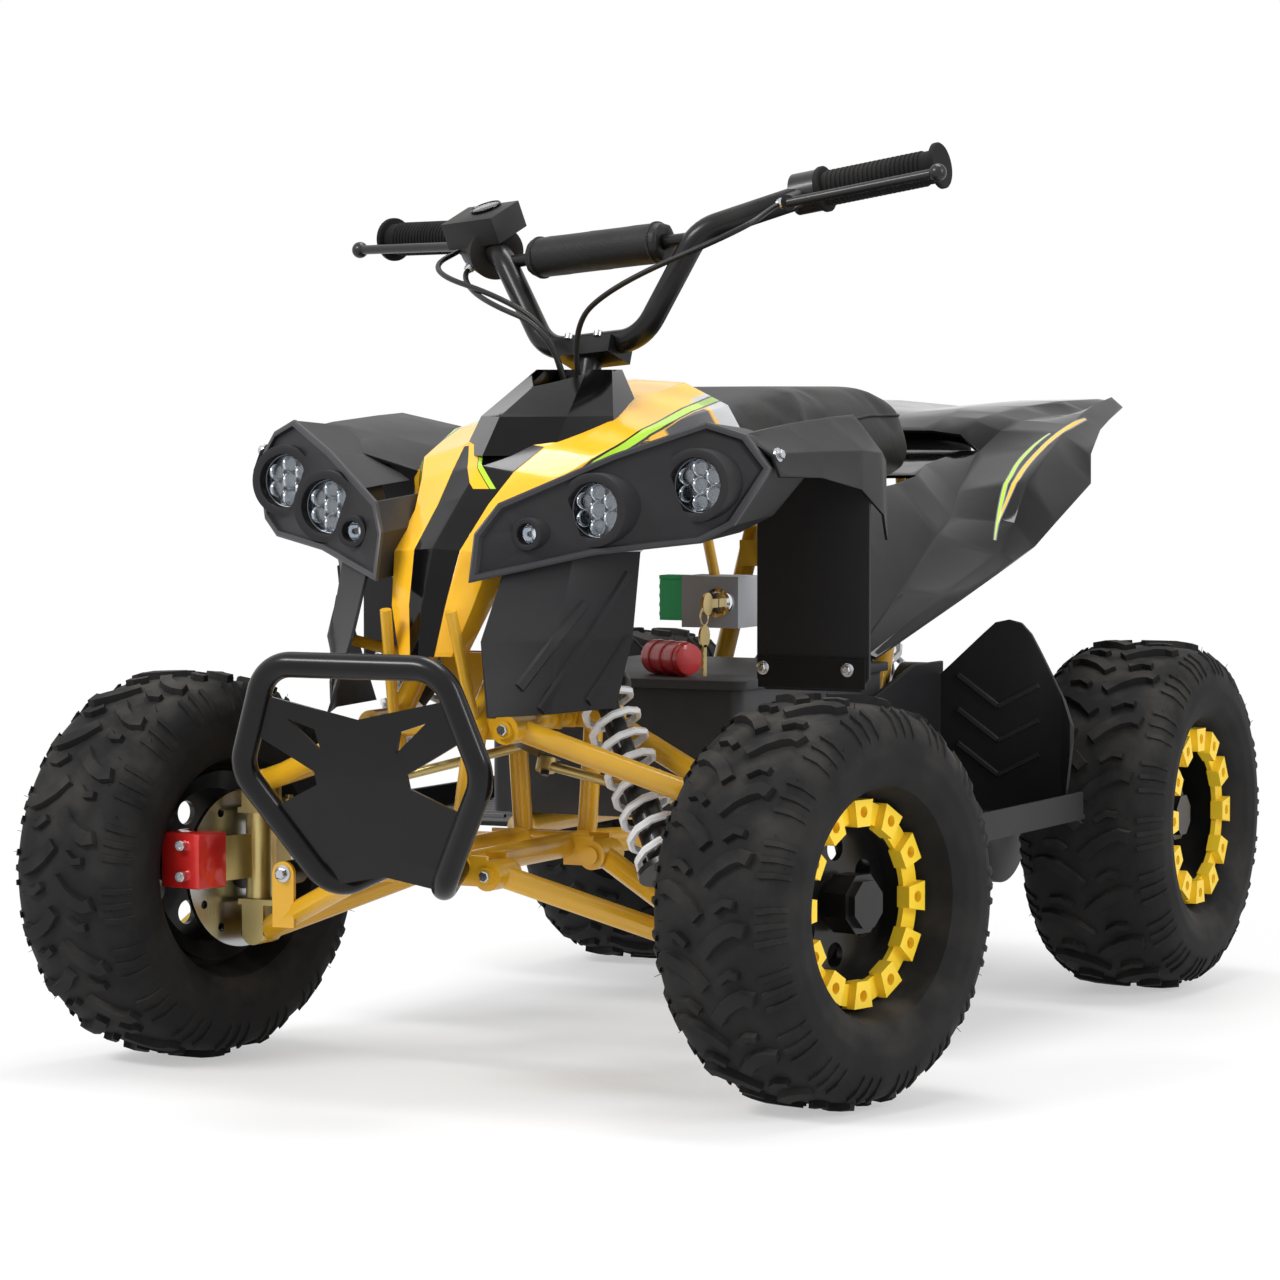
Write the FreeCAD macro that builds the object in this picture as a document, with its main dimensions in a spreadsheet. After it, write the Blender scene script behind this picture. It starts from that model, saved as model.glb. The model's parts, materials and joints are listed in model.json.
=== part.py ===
import FreeCAD, Part
import math
import os
import Sketcher
from FreeCAD import Placement, Rotation, Vector

# A child's electric quad bike with independent front arms, a live rear axle and moulded bodywork.
# Axes: X to the rider's left, Y to the rear, Z up. The origin is on the ground under the middle
# of the bike's length. All sizes are millimetres and degrees.

doc = FreeCAD.newDocument("quad_bike")
sheet = doc.addObject("Spreadsheet::Sheet", "Sizes")

SIZES = {
    "Stance": {
        "front_axle_back": -400, "wheelbase": 880, "axle_height": 178,
        "front_track": 663, "rear_track": 568, "steer_rest_angle": 12.9,
        "seat_gap": 0.3, "run_gap": 0.05, "joint_gap": 6, "cut_over": 2,
    },
    "Tyres": {
        "tyre_radius": 178, "tyre_bore_radius": 77, "tyre_core_radius": 74, "tyre_bead_radius": 92,
        "front_tyre_width": 145, "rear_tyre_width": 160,
        "front_bead_half_width": 27, "rear_bead_half_width": 51,
        "tyre_sectors": 40,
    },
    "Rims": {
        "rim_wall": 6, "rim_flange_wall": 5, "rim_flange_radius": 87, "rim_web_wall": 6,
        "rim_web_offset": 4, "hub_radius": 24, "hub_cap_radius": 27, "hub_cap_reach": 30,
        "hub_cap_sides": 8, "hub_cap_step_share": 0.8,
        "rim_window_radius": 11, "rim_window_ring": 46, "rim_windows": 6,
    },
    "Bead rings": {
        "ring_outer_radius": 88, "ring_inner_radius": 69, "ring_wall": 5,
        "ring_block_height": 8, "ring_block_width": 26, "ring_block_depth": 23,
        "ring_block_hole": 5, "ring_blocks": 12,
    },
    "Front hubs and brakes": {
        "kingpin_inset": 88, "spindle_radius": 8, "disc_offset": 21, "disc_radius": 72,
        "disc_wall": 4, "disc_hole_radius": 4, "disc_hole_ring": 60, "disc_holes": 12,
        "hub_sleeve_radius": 19,
        "caliper_ring": 74, "caliper_width": 36, "caliper_height": 50, "caliper_slot": 14,
        "caliper_inner_reach": 34, "caliper_outer_reach": 13, "caliper_rise": 14,
    },
    "Knuckles": {
        "knuckle_radius": 12, "knuckle_low": 152, "knuckle_high": 230, "kingpin_radius": 6,
        "steer_arm_length": 40, "steer_arm_wall": 7, "steer_arm_width": 16,
        "steer_stud_radius": 4, "steer_stud_height": 18,
        "carrier_wall": 5, "carrier_half_width": 13, "carrier_web_offset": 21,
        "lower_bush_height": 121, "upper_bush_height": 258, "bush_radius": 11,
        "bush_half_length": 12, "bush_inset": 3,
    },
    "Arms": {
        "arm_tube_radius": 10, "arm_bend_radius": 40, "arm_pivot_radius": 13,
        "arm_pivot_half_length": 16, "pivot_tab_wall": 4,
        "lower_pivot_front": -510, "lower_pivot_rear": -310, "lower_pivot_height": 197,
        "lower_pivot_out": 60,
        "upper_pivot_front": -488, "upper_pivot_rear": -318, "upper_pivot_height": 322,
        "upper_pivot_out": 66, "upper_bend_inset": 47.5, "upper_bend_back": -432,
        "upper_bend_height": 270,
    },
    "Front dampers": {
        "damper_top_out": 76, "damper_top_back": -356, "damper_top_height": 368,
        "damper_foot_inset": 51.5, "damper_foot_back": -430, "damper_foot_height": 180,
        "damper_rod_radius": 5, "damper_body_radius": 14, "damper_eye_radius": 11,
        "damper_eye_half_length": 11, "spring_radius": 23, "spring_wire_radius": 3.6,
        "spring_turns": 8, "spring_turn_steps": 10, "spring_wire_sides": 6, "spring_cup_wall": 5, "damper_end_length": 26,
    },
    "Rear dampers": {
        "rear_damper_out": 46, "rear_damper_top_back": 305, "rear_damper_top_height": 440,
        "rear_damper_foot_back": 395, "rear_damper_foot_height": 246,
    },
    "Steering": {
        "column_radius": 11, "column_low": 300, "saddle_drop": 15, "column_tilt": 22.4,
        "clamp_back": -205, "clamp_height": 655, "pitman_wall": 7, "pitman_half_width": 5, "pitman_boss_height": 5, "pitman_boss_wall": 0.8,
        "tie_rod_radius": 4.5, "tie_rod_eye_radius": 9,
        "tie_rod_eye_wall": 12, "tie_rod_eye_bore": 4.6, "bearing_radius": 19,
        "bearing_length": 24, "clamp_length": 66, "clamp_depth": 34, "clamp_wall": 17,
        "steer_range": 25,
    },
    "Handlebar": {
        "bar_radius": 11, "bar_bend_radius": 42, "bar_flat_out": 56,
        "bar_knee_out": 116, "bar_knee_back": -186, "bar_knee_height": 748,
        "grip_start_out": 208, "grip_start_back": -118, "grip_start_height": 777,
        "grip_end_out": 322, "grip_end_back": -98, "grip_end_height": 786,
        "grip_radius": 15, "grip_flange_radius": 21, "grip_flange_wall": 5,
        "cross_bar_radius": 6, "cross_bar_height": 742, "pad_radius": 20, "pad_half_length": 80,
    },
    "Controls": {
        "lever_clamp_length": 26, "lever_clamp_wall": 8, "lever_length": 150,
        "lever_width": 15, "lever_wall": 7, "lever_drop": 34, "lever_slope_share": 0.3, "lever_ball_radius": 8,
        "throttle_share": 0.36, "throttle_radius": 26, "throttle_length": 40, "display_width": 62,
        "display_depth": 46, "display_height": 26,
        "cable_radius": 2.6, "cable_bend_radius": 30, "cable_lead": 6, "cable_slope_share": 0.8,
        "cable_side_out": 190, "cable_side_back": -215, "cable_side_height": 742, "cable_neck_share": 0.9, "cable_forward": -252,
        "cable_high": 704, "cable_low": 668, "cable_gather": 9, "cable_end_height": 612,
        "cable_column_gap": 17,
    },
    "Frame": {
        "rail_radius": 11, "rail_bend_radius": 45, "rail_height": 205, "rail_front_back": -530,
        "upper_rail_front_back": -512,
        "rail_front_out": 32, "rail_neck_back": -284, "rail_mid_out": 94, "rail_mid_back": -176,
        "rail_rear_back": 200, "upper_rail_out": 40, "stay_radius": 5, "stay_rise": 40,
        "bearing_rise": 44, "weld_share": 1.06,
        "strut_radius": 10, "strut_top_back": 330, "strut_top_height": 478,
        "strut_top_out": 82, "upright_top_back": -300, "upright_top_height": 545,
        "upright_top_out": 34, "top_rail_height": 520, "top_rail_back": -60,
        "cross_radius": 9, "switch_stay_back": -98,
    },
    "Bumper": {
        "bumper_radius": 11, "bumper_bend_radius": 34,
        "bumper_foot_out": 52, "bumper_foot_back": -600, "bumper_foot_height": 187,
        "bumper_waist_out": 117, "bumper_waist_back": -643, "bumper_waist_height": 292,
        "bumper_shoulder_out": 84, "bumper_shoulder_back": -656, "bumper_shoulder_height": 383,
        "bumper_plate_wall": 4, "bumper_lip_drop": 21, "bumper_lip_back": 12, "bumper_lip_taper_share": 0.25,
    },
    "Nose and hood": {
        "panel_wall": 3,
        "nose_front": -542, "nose_back": -374, "nose_low": 385, "nose_high": 572,
        "nose_half_width": 54, "nose_depth": 26,
        "hood_half_width": 118, "hood_back": -120, "hood_high": 628,
        "hood_depth_full": 96,
    },
    "Steering shroud": {
        "shroud_front": -424, "shroud_back": -190, "shroud_half_width": 72,
        "shroud_low": 556, "shroud_drop": 23, "shroud_hole_radius": 24,
    },
    "Lamp masks": {
        "mask_inner": 46, "mask_outer": 257, "mask_front": -515, "mask_back": -380,
        "mask_low": 450, "mask_high": 586, "mask_depth": 96, "mask_lean": 34, "mask_taper": 6,
        "bezel_radius": 32, "bezel_reach": 10, "small_bezel_radius": 14,
        "lamp_radius": 24, "small_lamp_radius": 9, "lamp_depth": 34, "lamp_dome": 4,
    },
    "Front fenders": {
        "fender_inner": 84, "fender_outer": 262, "fender_front": -372, "fender_back": -120,
        "fender_high": 588, "fender_low": 548, "mud_inner": 150, "mud_outer": 262,
        "mud_back": -172, "mud_low": 340, "mud_wall": 5,
    },
    "Side shrouds": {
        "side_front": -561, "side_back": -400, "side_low": 336, "side_high": 474,
        "side_inner": 62, "side_outer": 150, "side_fold": 16,
    },
    "Seat": {
        "seat_front": -112, "seat_back": 306, "seat_low": 500, "seat_high": 613, "seat_half_width": 106,
    },
    "Rear body": {
        "tail_front": 20, "tail_back": 678, "tail_half_width": 236, "tail_low": 356,
        "tail_high": 602, "tail_slot_depth": 24,
        "tail_lamp_width": 90, "tail_lamp_height": 22, "tail_lamp_depth": 16,
    },
    "Footrests": {
        "footrest_inner": 150, "footrest_outer": 306, "footrest_front": -60,
        "footrest_axle_gap": 218, "footrest_height": 196, "footrest_top": 386,
        "footrest_wall": 5, "footrest_lip": 22, "footrest_stay_radius": 9,
    },
    "Battery box": {
        "battery_half_width": 130, "battery_front": -165, "battery_back": 170,
        "battery_low": 217, "battery_high": 346, "battery_lid_wall": 8,
        "battery_lid_lip": 6, "battery_corner_radius": 12,
    },
    "Electrics": {
        "switch_out": 78, "switch_back": -120, "switch_width": 58, "switch_depth": 44,
        "switch_low": 392, "switch_height": 48, "key_radius": 11, "key_reach": 12,
        "bundle_out": 34, "bundle_back": -110, "bundle_height": 372, "bundle_radius": 16,
        "bundle_length": 62,
    },
    "Drive": {
        "swing_pivot_back": 212, "swing_pivot_height": 205, "swing_pivot_out": 60,
        "swing_sleeve_half_length": 76, "swing_sleeve_radius": 15, "swing_tube_radius": 13, "carrier_radius": 34, "carrier_half_length": 76,
        "axle_radius": 12.5, "axle_flange_radius": 30, "axle_flange_wall": 8,
        "motor_radius": 50, "motor_length": 90, "motor_back": 275, "motor_height": 300,
        "case_out": 107, "case_width": 25, "case_rear_radius": 78, "case_front_radius": 40,
        "rear_disc_out": -104, "rear_disc_radius": 70, "rear_disc_wall": 4,
    },
}

row = 1
for heading, values in SIZES.items():
    sheet.set(f"A{row}", heading)
    row += 1
    for alias, value in values.items():
        sheet.set(f"A{row}", alias)
        sheet.set(f"B{row}", str(value))
        sheet.setAlias(f"B{row}", alias)
        row += 1
doc.recompute()


class NamedSizes:
    """Gives any cell of the sheet by its alias."""

    def __getattr__(self, alias):
        return float(sheet.get(alias))


size = NamedSizes()
SIDES = {"left": 1, "right": -1}
X_AXIS = Vector(1, 0, 0)
Y_AXIS = Vector(0, 1, 0)
Z_AXIS = Vector(0, 0, 1)
subparts = []


# Places worked out from the named sizes
front_axle = size.front_axle_back
rear_axle = size.front_axle_back + size.wheelbase
kingpin_out = size.front_track / 2 - size.kingpin_inset
column_axis = Vector(0, math.sin(math.radians(size.column_tilt)), math.cos(math.radians(size.column_tilt)))
clamp_point = Vector(0, size.clamp_back, size.clamp_height)
steer_turn = -size.steer_rest_angle
column_high = size.clamp_height - size.saddle_drop
shroud_high = size.clamp_height - size.shroud_drop
footrest_back = rear_axle - size.footrest_axle_gap
eye_drop = size.pitman_wall / 2 + size.seat_gap + size.tie_rod_eye_wall / 2
damper_foot = Vector(kingpin_out - size.damper_foot_inset, size.damper_foot_back, size.damper_foot_height)


def on_column(height):
    """The point of the steering axis at a height."""
    return clamp_point + column_axis * ((height - size.clamp_height) / column_axis.z)


def turned_bar(shape):
    """Turns a piece of the steering by the angle at which the bike stands."""
    shape.rotate(clamp_point, column_axis, steer_turn)
    return shape


def wheel_place(side, front):
    """Where a wheel's own frame stands: its Z axis points outboard along the axle."""
    outboard = Rotation(Z_AXIS, X_AXIS * side)
    if not front:
        return Placement(Vector(side * size.rear_track / 2, rear_axle, size.axle_height), outboard)
    hub = Placement(Vector(side * size.kingpin_inset, 0, size.axle_height), outboard)
    return knuckle_place(side).multiply(hub)


def knuckle_place(side):
    """Where a knuckle's own frame stands: on the ground under the kingpin, turned as parked."""
    foot = Vector(side * kingpin_out, front_axle, 0)
    return Placement(foot, Rotation(Z_AXIS, steer_turn))


# Shapes that several pieces share


def keep(label, thing):
    """Lists a finished sub-part under its own name."""
    thing.Label = label
    subparts.append(thing)
    return thing


def piece(label, shape, place=None):
    """A sub-part whose shape is made here from the named sizes."""
    feature = doc.addObject("Part::Feature", label)
    feature.Shape = shape
    if place is not None:
        feature.Placement = place
    return keep(label, feature)


def mirrored(shape):
    """The same shape on the rider's right."""
    return shape.mirror(Vector(0, 0, 0), X_AXIS)


def both_sides(shape):
    """Two like solids, one on each side, in one node."""
    return Part.makeCompound([shape, mirrored(shape)])


def rod(start, end, radius):
    """A round bar between two points."""
    along = end - start
    return Part.makeCylinder(radius, along.Length, start, along)


def rod_about(centre, axis, half_length, radius):
    """A round bar centred on a point."""
    reach = Vector(axis).normalize() * half_length
    return rod(centre - reach, centre + reach, radius)


def block(low, high):
    """A box between two corners."""
    extent = high - low
    return Part.makeBox(extent.x, extent.y, extent.z, low)


def bent_path(points, bend):
    """Straight runs joined by tangent arcs of one bend radius."""
    edges = []
    start = points[0]
    for before, corner, after in zip(points, points[1:], points[2:]):
        back = (before - corner).normalize()
        ahead = (after - corner).normalize()
        half = (math.pi - back.getAngle(ahead)) / 2
        reach = min(bend * math.tan(half), (before - corner).Length / 2, (after - corner).Length / 2)
        radius = reach / math.tan(half)
        enter = corner + back * reach
        leave = corner + ahead * reach
        middle_way = (back + ahead).normalize()
        middle = corner + middle_way * (radius / math.cos(half) - radius)
        if (enter - start).Length > size.seat_gap:
            edges.append(Part.LineSegment(start, enter).toShape())
        edges.append(Part.Arc(enter, middle, leave).toShape())
        start = leave
    if (points[-1] - start).Length > size.seat_gap:
        edges.append(Part.LineSegment(start, points[-1]).toShape())
    return Part.Wire(edges)


def bent_tube(points, radius, bend):
    """A round bar along straight runs and bends, whose faces are cylinders and parts of rings."""
    section = Part.makeCircle(radius, points[0], points[1] - points[0])
    faces = [Part.Face(Part.Wire([section]))]
    for edge in bent_path(points, bend).Edges:
        curve = edge.Curve
        following = section.copy()
        if isinstance(curve, Part.Circle):
            turn = math.degrees(edge.LastParameter - edge.FirstParameter)
            faces.append(section.revolve(curve.Center, curve.Axis, turn))
            following.rotate(curve.Center, curve.Axis, turn)
        else:
            run = edge.valueAt(edge.LastParameter) - edge.valueAt(edge.FirstParameter)
            faces.append(section.extrude(run))
            following.translate(run)
        section = following
    faces.append(Part.Face(Part.Wire([section])))
    shell = Part.makeCompound(faces)
    shell.sewShape()
    return Part.makeSolid(shell)


def fused(shapes):
    """One solid from pieces that are welded or moulded together."""
    whole = shapes[0].multiFuse(shapes[1:])
    return whole.removeSplitter()


def weld(spot, radius):
    """The bead of weld where tubes meet, a little prouder than the tubes."""
    return Part.makeSphere(radius * size.weld_share, spot)


def largest(shape):
    """The main solid that is left after a cut."""
    return max(shape.Solids, key=lambda solid: solid.Volume)


def trimmed(shape, neighbours):
    """A piece cut back to the faces of the pieces that it meets."""
    return largest(shape.cut(neighbours))


def polygon(points):
    """A closed outline through points."""
    return Part.makePolygon(points + [points[0]])


def loft(outlines, ruled=True):
    """A solid through outlines of as many corners each."""
    return Part.makeLoft([polygon(points) for points in outlines], True, ruled)


def inset_line(points, wall, facing):
    """The inner line of a wall: the outer line moved in its own plane, away from facing."""
    inner = []
    for index, point in enumerate(points):
        before = points[max(index - 1, 0)]
        after = points[min(index + 1, len(points) - 1)]
        sides = []
        for start, end in ((before, point), (point, after)):
            if (end - start).Length > 0:
                sides.append((end - start).normalize().cross(facing))
        way = sides[0] + sides[-1]
        way.normalize()
        inner.append(point + way * (wall / way.dot(sides[0])))
    return inner


def skin(stations, wall, facing, smooth=False):
    """A moulded panel of one wall thickness through open lines, each in its own plane."""
    wires = []
    for points in stations:
        inner = inset_line(points, wall, facing)
        if smooth:
            outer_edge = spline(points)
            inner_edge = spline(inner)
            first = Part.LineSegment(points[0], inner[0]).toShape()
            last = Part.LineSegment(points[-1], inner[-1]).toShape()
            wires.append(Part.Wire([outer_edge, last, inner_edge, first]))
        else:
            wires.append(polygon(points + inner[::-1]))
    return Part.makeLoft(wires, True, not smooth)


def spline(points):
    """A smooth line through points."""
    curve = Part.BSplineCurve()
    curve.interpolate(points)
    return curve.toShape()


def in_box(corners, shares):
    """The point at given shares of a box, from its low corner to its high corner."""
    low, high = corners
    extent = high - low
    return low + Vector(extent.x * shares[0], extent.y * shares[1], extent.z * shares[2])


# Drawing bound to the sheet


def new_body(label):
    """An empty body with its own name."""
    return doc.addObject("PartDesign::Body", label)


def origin_plane(body, role):
    """One of a body's own origin planes."""
    for feature in body.Origin.OriginFeatures:
        if feature.Role == role:
            return feature
    raise ValueError(role)


def new_sketch(body, role, name):
    """A sketch on one of the body's origin planes."""
    sketch = body.newObject("Sketcher::SketchObject", name)
    sketch.AttachmentSupport = (origin_plane(body, role), [""])
    sketch.MapMode = "FlatFace"
    return sketch


def bind(sketch, kind, first, first_end, expression):
    """Holds a point of a sketch at a named distance from the origin."""
    value = float(sketch.evalExpression(expression))
    index = sketch.addConstraint(Sketcher.Constraint(kind, -1, 1, first, first_end, value))
    sketch.setExpression(f"Constraints[{index}]", expression)


def outline(body, role, name, corners):
    """A closed outline whose corners are expressions of the named sizes."""
    sketch = new_sketch(body, role, name)
    places = []
    for across, up in corners:
        places.append(Vector(sketch.evalExpression(across), sketch.evalExpression(up), 0))
    count = len(places)
    for index in range(count):
        line = Part.LineSegment(places[index], places[(index + 1) % count])
        sketch.addGeometry(line)
    for index in range(count):
        following = (index + 1) % count
        sketch.addConstraint(Sketcher.Constraint("Coincident", index, 2, following, 1))
    for index, (across, up) in enumerate(corners):
        bind(sketch, "DistanceX", index, 1, across)
        bind(sketch, "DistanceY", index, 1, up)
    return sketch


def circle(body, role, name, across, up, radius):
    """A circle whose centre and radius are expressions of the named sizes."""
    sketch = new_sketch(body, role, name)
    centre = Vector(sketch.evalExpression(across), sketch.evalExpression(up), 0)
    reach = float(sketch.evalExpression(radius))
    sketch.addGeometry(Part.Circle(centre, Z_AXIS, reach))
    bind(sketch, "DistanceX", 0, 3, across)
    bind(sketch, "DistanceY", 0, 3, up)
    index = sketch.addConstraint(Sketcher.Constraint("Radius", 0, reach))
    sketch.setExpression(f"Constraints[{index}]", radius)
    return sketch


def revolution(body, sketch, name):
    """Turns an outline about the sketch's upright axis."""
    turn = body.newObject("PartDesign::Revolution", name)
    turn.Profile = sketch
    turn.ReferenceAxis = (sketch, ["V_Axis"])
    turn.Angle = 360
    sketch.Visibility = False
    return turn


def pad(body, sketch, name, length, start="0"):
    """Raises an outline from a start height by a length."""
    raised = body.newObject("PartDesign::Pad", name)
    raised.Profile = sketch
    raised.setExpression("Length", length)
    sketch.setExpression("AttachmentOffset.Base.z", start)
    sketch.Visibility = False
    return raised


def pocket(body, sketch, name, start, length):
    """Cuts an outline down from a start height."""
    cut = body.newObject("PartDesign::Pocket", name)
    cut.Profile = sketch
    cut.setExpression("Length", length)
    sketch.setExpression("AttachmentOffset.Base.z", start)
    sketch.Visibility = False
    return cut


def around(body, feature, name, count):
    """Repeats a feature about the body's Z axis."""
    pattern = body.newObject("PartDesign::PolarPattern", name)
    pattern.Originals = [feature]
    axis = [item for item in body.Origin.OriginFeatures if item.Role == "Z_Axis"][0]
    pattern.Axis = (axis, [""])
    pattern.Angle = 360
    pattern.setExpression("Occurrences", count)
    body.Tip = pattern
    return pattern


# Wheels


# Out from the bead as a share of the tyre's height, then out as a share of its half width
TYRE_LINE_SHARES = [(1.00, 0.00), (0.975, 0.38), (0.90, 0.64), (0.72, 0.88), (0.46, 1.00), (0.18, 0.92)]
TYRE_LUG_SHARES = [(0.90, 0.64), (0.98, 0.67), (0.80, 0.95), (0.72, 0.88)]


def tyre_point(shares, half, side=1):
    """A point of the tyre's section: its radius, then its place along the axle."""
    up, out = shares
    return (size.tyre_bead_radius + (size.tyre_radius - size.tyre_bead_radius) * up, side * half * out)


def around_axle(section, share):
    """A section's points on the plane at a share of a full turn."""
    turn = 2 * math.pi * share
    return [Vector(radius * math.cos(turn), radius * math.sin(turn), along) for radius, along in section]


def tyre_shape(width, bead):
    """A low-pressure knobby tyre in flat facets about its axle, with staggered shoulder lugs."""
    half = width / 2
    count = int(size.tyre_sectors)
    lug_low, lug_high = TYRE_LUG_SHARES[0], TYRE_LUG_SHARES[-1]
    faces = []
    for index in range(count):
        edges = (index / count, (index + 1) / count)
        for side, lugged in ((1, index % 2 == 0), (-1, index % 2 == 1)):
            shares = list(TYRE_LINE_SHARES)
            if lugged:
                place = shares.index(lug_low)
                shares[place:place + 2] = TYRE_LUG_SHARES
            line = [tyre_point(share, half, side) for share in shares]
            line += [(size.tyre_bead_radius, side * bead), (size.tyre_core_radius, side * bead)]
            first, second = [around_axle(line, edge) for edge in edges]
            for here in range(len(line) - 1):
                faces.append(Part.Face(polygon([first[here], first[here + 1], second[here + 1], second[here]])))
            if lugged:
                lug = [tyre_point(share, half, side) for share in TYRE_LUG_SHARES]
                faces += [Part.Face(polygon(around_axle(lug, edge))) for edge in edges]
        core = [(size.tyre_core_radius, bead), (size.tyre_core_radius, -bead)]
        first, second = [around_axle(core, edge) for edge in edges]
        faces.append(Part.Face(polygon(first + second[::-1])))
    shell = Part.makeCompound(faces)
    shell.sewShape()
    return Part.makeSolid(shell).cut(rod_about(Vector(0, 0, 0), Z_AXIS, width, size.tyre_bore_radius))


def eight_sides(radius):
    """The corners of the hub cap as expressions."""
    corners = []
    for index in range(int(size.hub_cap_sides)):
        turn = f"360 * ({index} + 0.5) / Sizes.hub_cap_sides"
        corners.append((f"{radius} * cos({turn})", f"{radius} * sin({turn})"))
    return corners


def rim_body(label, place, bead, hub_low):
    """A spun steel rim with a windowed web, a hub and the eight-sided cap over its nut."""
    body = new_body(label)
    barrel = "Sizes.tyre_bore_radius - Sizes.seat_gap"
    inner = f"{barrel} - Sizes.rim_wall"
    web_low = "Sizes.rim_web_offset"
    web_high = "Sizes.rim_web_offset + Sizes.rim_web_wall"
    flange = f"{bead} + Sizes.seat_gap"
    corners = [
        ("Sizes.spindle_radius + Sizes.run_gap", hub_low),
        ("Sizes.hub_sleeve_radius", hub_low),
        ("Sizes.hub_sleeve_radius", web_low),
        (inner, web_low),
        (inner, f"-({flange})"),
        ("Sizes.rim_flange_radius", f"-({flange}) - Sizes.rim_flange_wall - Sizes.rim_wall"),
        ("Sizes.rim_flange_radius", f"-({flange}) - Sizes.rim_wall"),
        (barrel, f"-({flange})"),
        (barrel, flange),
        (inner, flange),
        (inner, web_high),
        ("Sizes.hub_radius", web_high),
        ("Sizes.hub_radius", f"{web_high} + Sizes.rim_wall"),
        ("Sizes.spindle_radius + Sizes.run_gap", f"{web_high} + Sizes.rim_wall"),
    ]
    sketch = outline(body, "XZ_Plane", "rim_outline", corners)
    revolution(body, sketch, "rim_turned")
    cap_low = f"{web_high} + Sizes.rim_wall"
    cap = outline(body, "XY_Plane", "cap_outline", eight_sides("Sizes.hub_cap_radius"))
    pad(body, cap, "cap", "Sizes.hub_cap_reach * Sizes.hub_cap_step_share", cap_low)
    doc.recompute()
    top = outline(body, "XY_Plane", "cap_top_outline", eight_sides("Sizes.hub_cap_radius * Sizes.hub_cap_step_share"))
    pad(body, top, "cap_top", "Sizes.hub_cap_reach", cap_low)
    window = circle(body, "XY_Plane", "window", "Sizes.rim_window_ring", "0", "Sizes.rim_window_radius")
    doc.recompute()
    cut = pocket(body, window, "window_cut", f"{web_high} + Sizes.cut_over",
                 "Sizes.rim_web_wall + 2 * Sizes.cut_over")
    around(body, cut, "windows", "Sizes.rim_windows")
    body.Placement = place
    return body


def bead_ring_body(label, place, bead):
    """A clamping ring with drilled blocks round its face."""
    body = new_body(label)
    base = f"{bead} + 2 * Sizes.seat_gap"
    corners = [
        ("Sizes.ring_inner_radius", base),
        ("Sizes.ring_outer_radius", base),
        ("Sizes.ring_outer_radius", f"{base} + Sizes.ring_wall"),
        ("Sizes.ring_inner_radius", f"{base} + Sizes.ring_wall"),
    ]
    revolution(body, outline(body, "XZ_Plane", "ring_outline", corners), "ring_turned")
    outer = "Sizes.ring_outer_radius + Sizes.cut_over / 2"
    deep = f"{outer} - Sizes.ring_block_depth"
    half = "Sizes.ring_block_width / 2"
    block_corners = [
        (deep, f"-({half}) * 0.7"), (outer, f"-({half})"),
        (outer, half), (deep, f"({half}) * 0.7"),
    ]
    sketch = outline(body, "XY_Plane", "block_outline", block_corners)
    doc.recompute()
    height = "Sizes.ring_wall + Sizes.ring_block_height"
    raised = pad(body, sketch, "block_raised", height, base)
    hole = circle(body, "XY_Plane", "block_hole", f"{outer} - Sizes.ring_block_depth * 0.45", "0",
                  "Sizes.ring_block_hole")
    doc.recompute()
    drilled = pocket(body, hole, "block_drilled", f"{base} + {height} + Sizes.cut_over",
                     "Sizes.ring_block_height + Sizes.cut_over")
    pattern = around(body, raised, "blocks", "Sizes.ring_blocks")
    pattern.Originals = [raised, drilled]
    body.Placement = place
    return body


def disc_body(label, place):
    """A drilled brake disc on the hub."""
    body = new_body(label)
    middle = "Sizes.disc_offset - Sizes.kingpin_inset"
    corners = [
        ("Sizes.hub_sleeve_radius + Sizes.seat_gap", f"{middle} - Sizes.disc_wall / 2"),
        ("Sizes.disc_radius", f"{middle} - Sizes.disc_wall / 2"),
        ("Sizes.disc_radius", f"{middle} + Sizes.disc_wall / 2"),
        ("Sizes.hub_sleeve_radius + Sizes.seat_gap", f"{middle} + Sizes.disc_wall / 2"),
    ]
    revolution(body, outline(body, "XZ_Plane", "disc_outline", corners), "disc_turned")
    hole = circle(body, "XY_Plane", "disc_hole", "Sizes.disc_hole_ring", "0", "Sizes.disc_hole_radius")
    doc.recompute()
    cut = pocket(body, hole, "disc_drilled", f"{middle} + Sizes.disc_wall / 2 + Sizes.cut_over",
                 "Sizes.disc_wall + 2 * Sizes.cut_over")
    around(body, cut, "disc_holes_round", "Sizes.disc_holes")
    body.Placement = place
    return keep(label, body)


def paired(label, source):
    """One node of a body and its mirror image on the rider's right."""
    twin = doc.addObject("Part::Mirroring", f"{label}_right")
    twin.Source = source
    twin.Normal = X_AXIS
    both = doc.addObject("Part::Compound", label)
    both.Links = [source, twin]
    return keep(label, both)


def front_wheels():
    """The two steered wheels, each with its tyre, rim, ring and disc."""
    bead = "Sizes.front_bead_half_width"
    hub_low = "Sizes.disc_offset - Sizes.kingpin_inset - Sizes.disc_wall / 2"
    for name, side in SIDES.items():
        place = wheel_place(side, True)
        piece(f"front_tyre_{name}", tyre_shape(size.front_tyre_width, size.front_bead_half_width), place)
        keep(f"front_rim_{name}", rim_body(f"front_rim_{name}", place, bead, hub_low))
        keep(f"front_ring_{name}", bead_ring_body(f"front_ring_{name}", place, bead))
        disc_body(f"front_disc_{name}", place)


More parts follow.
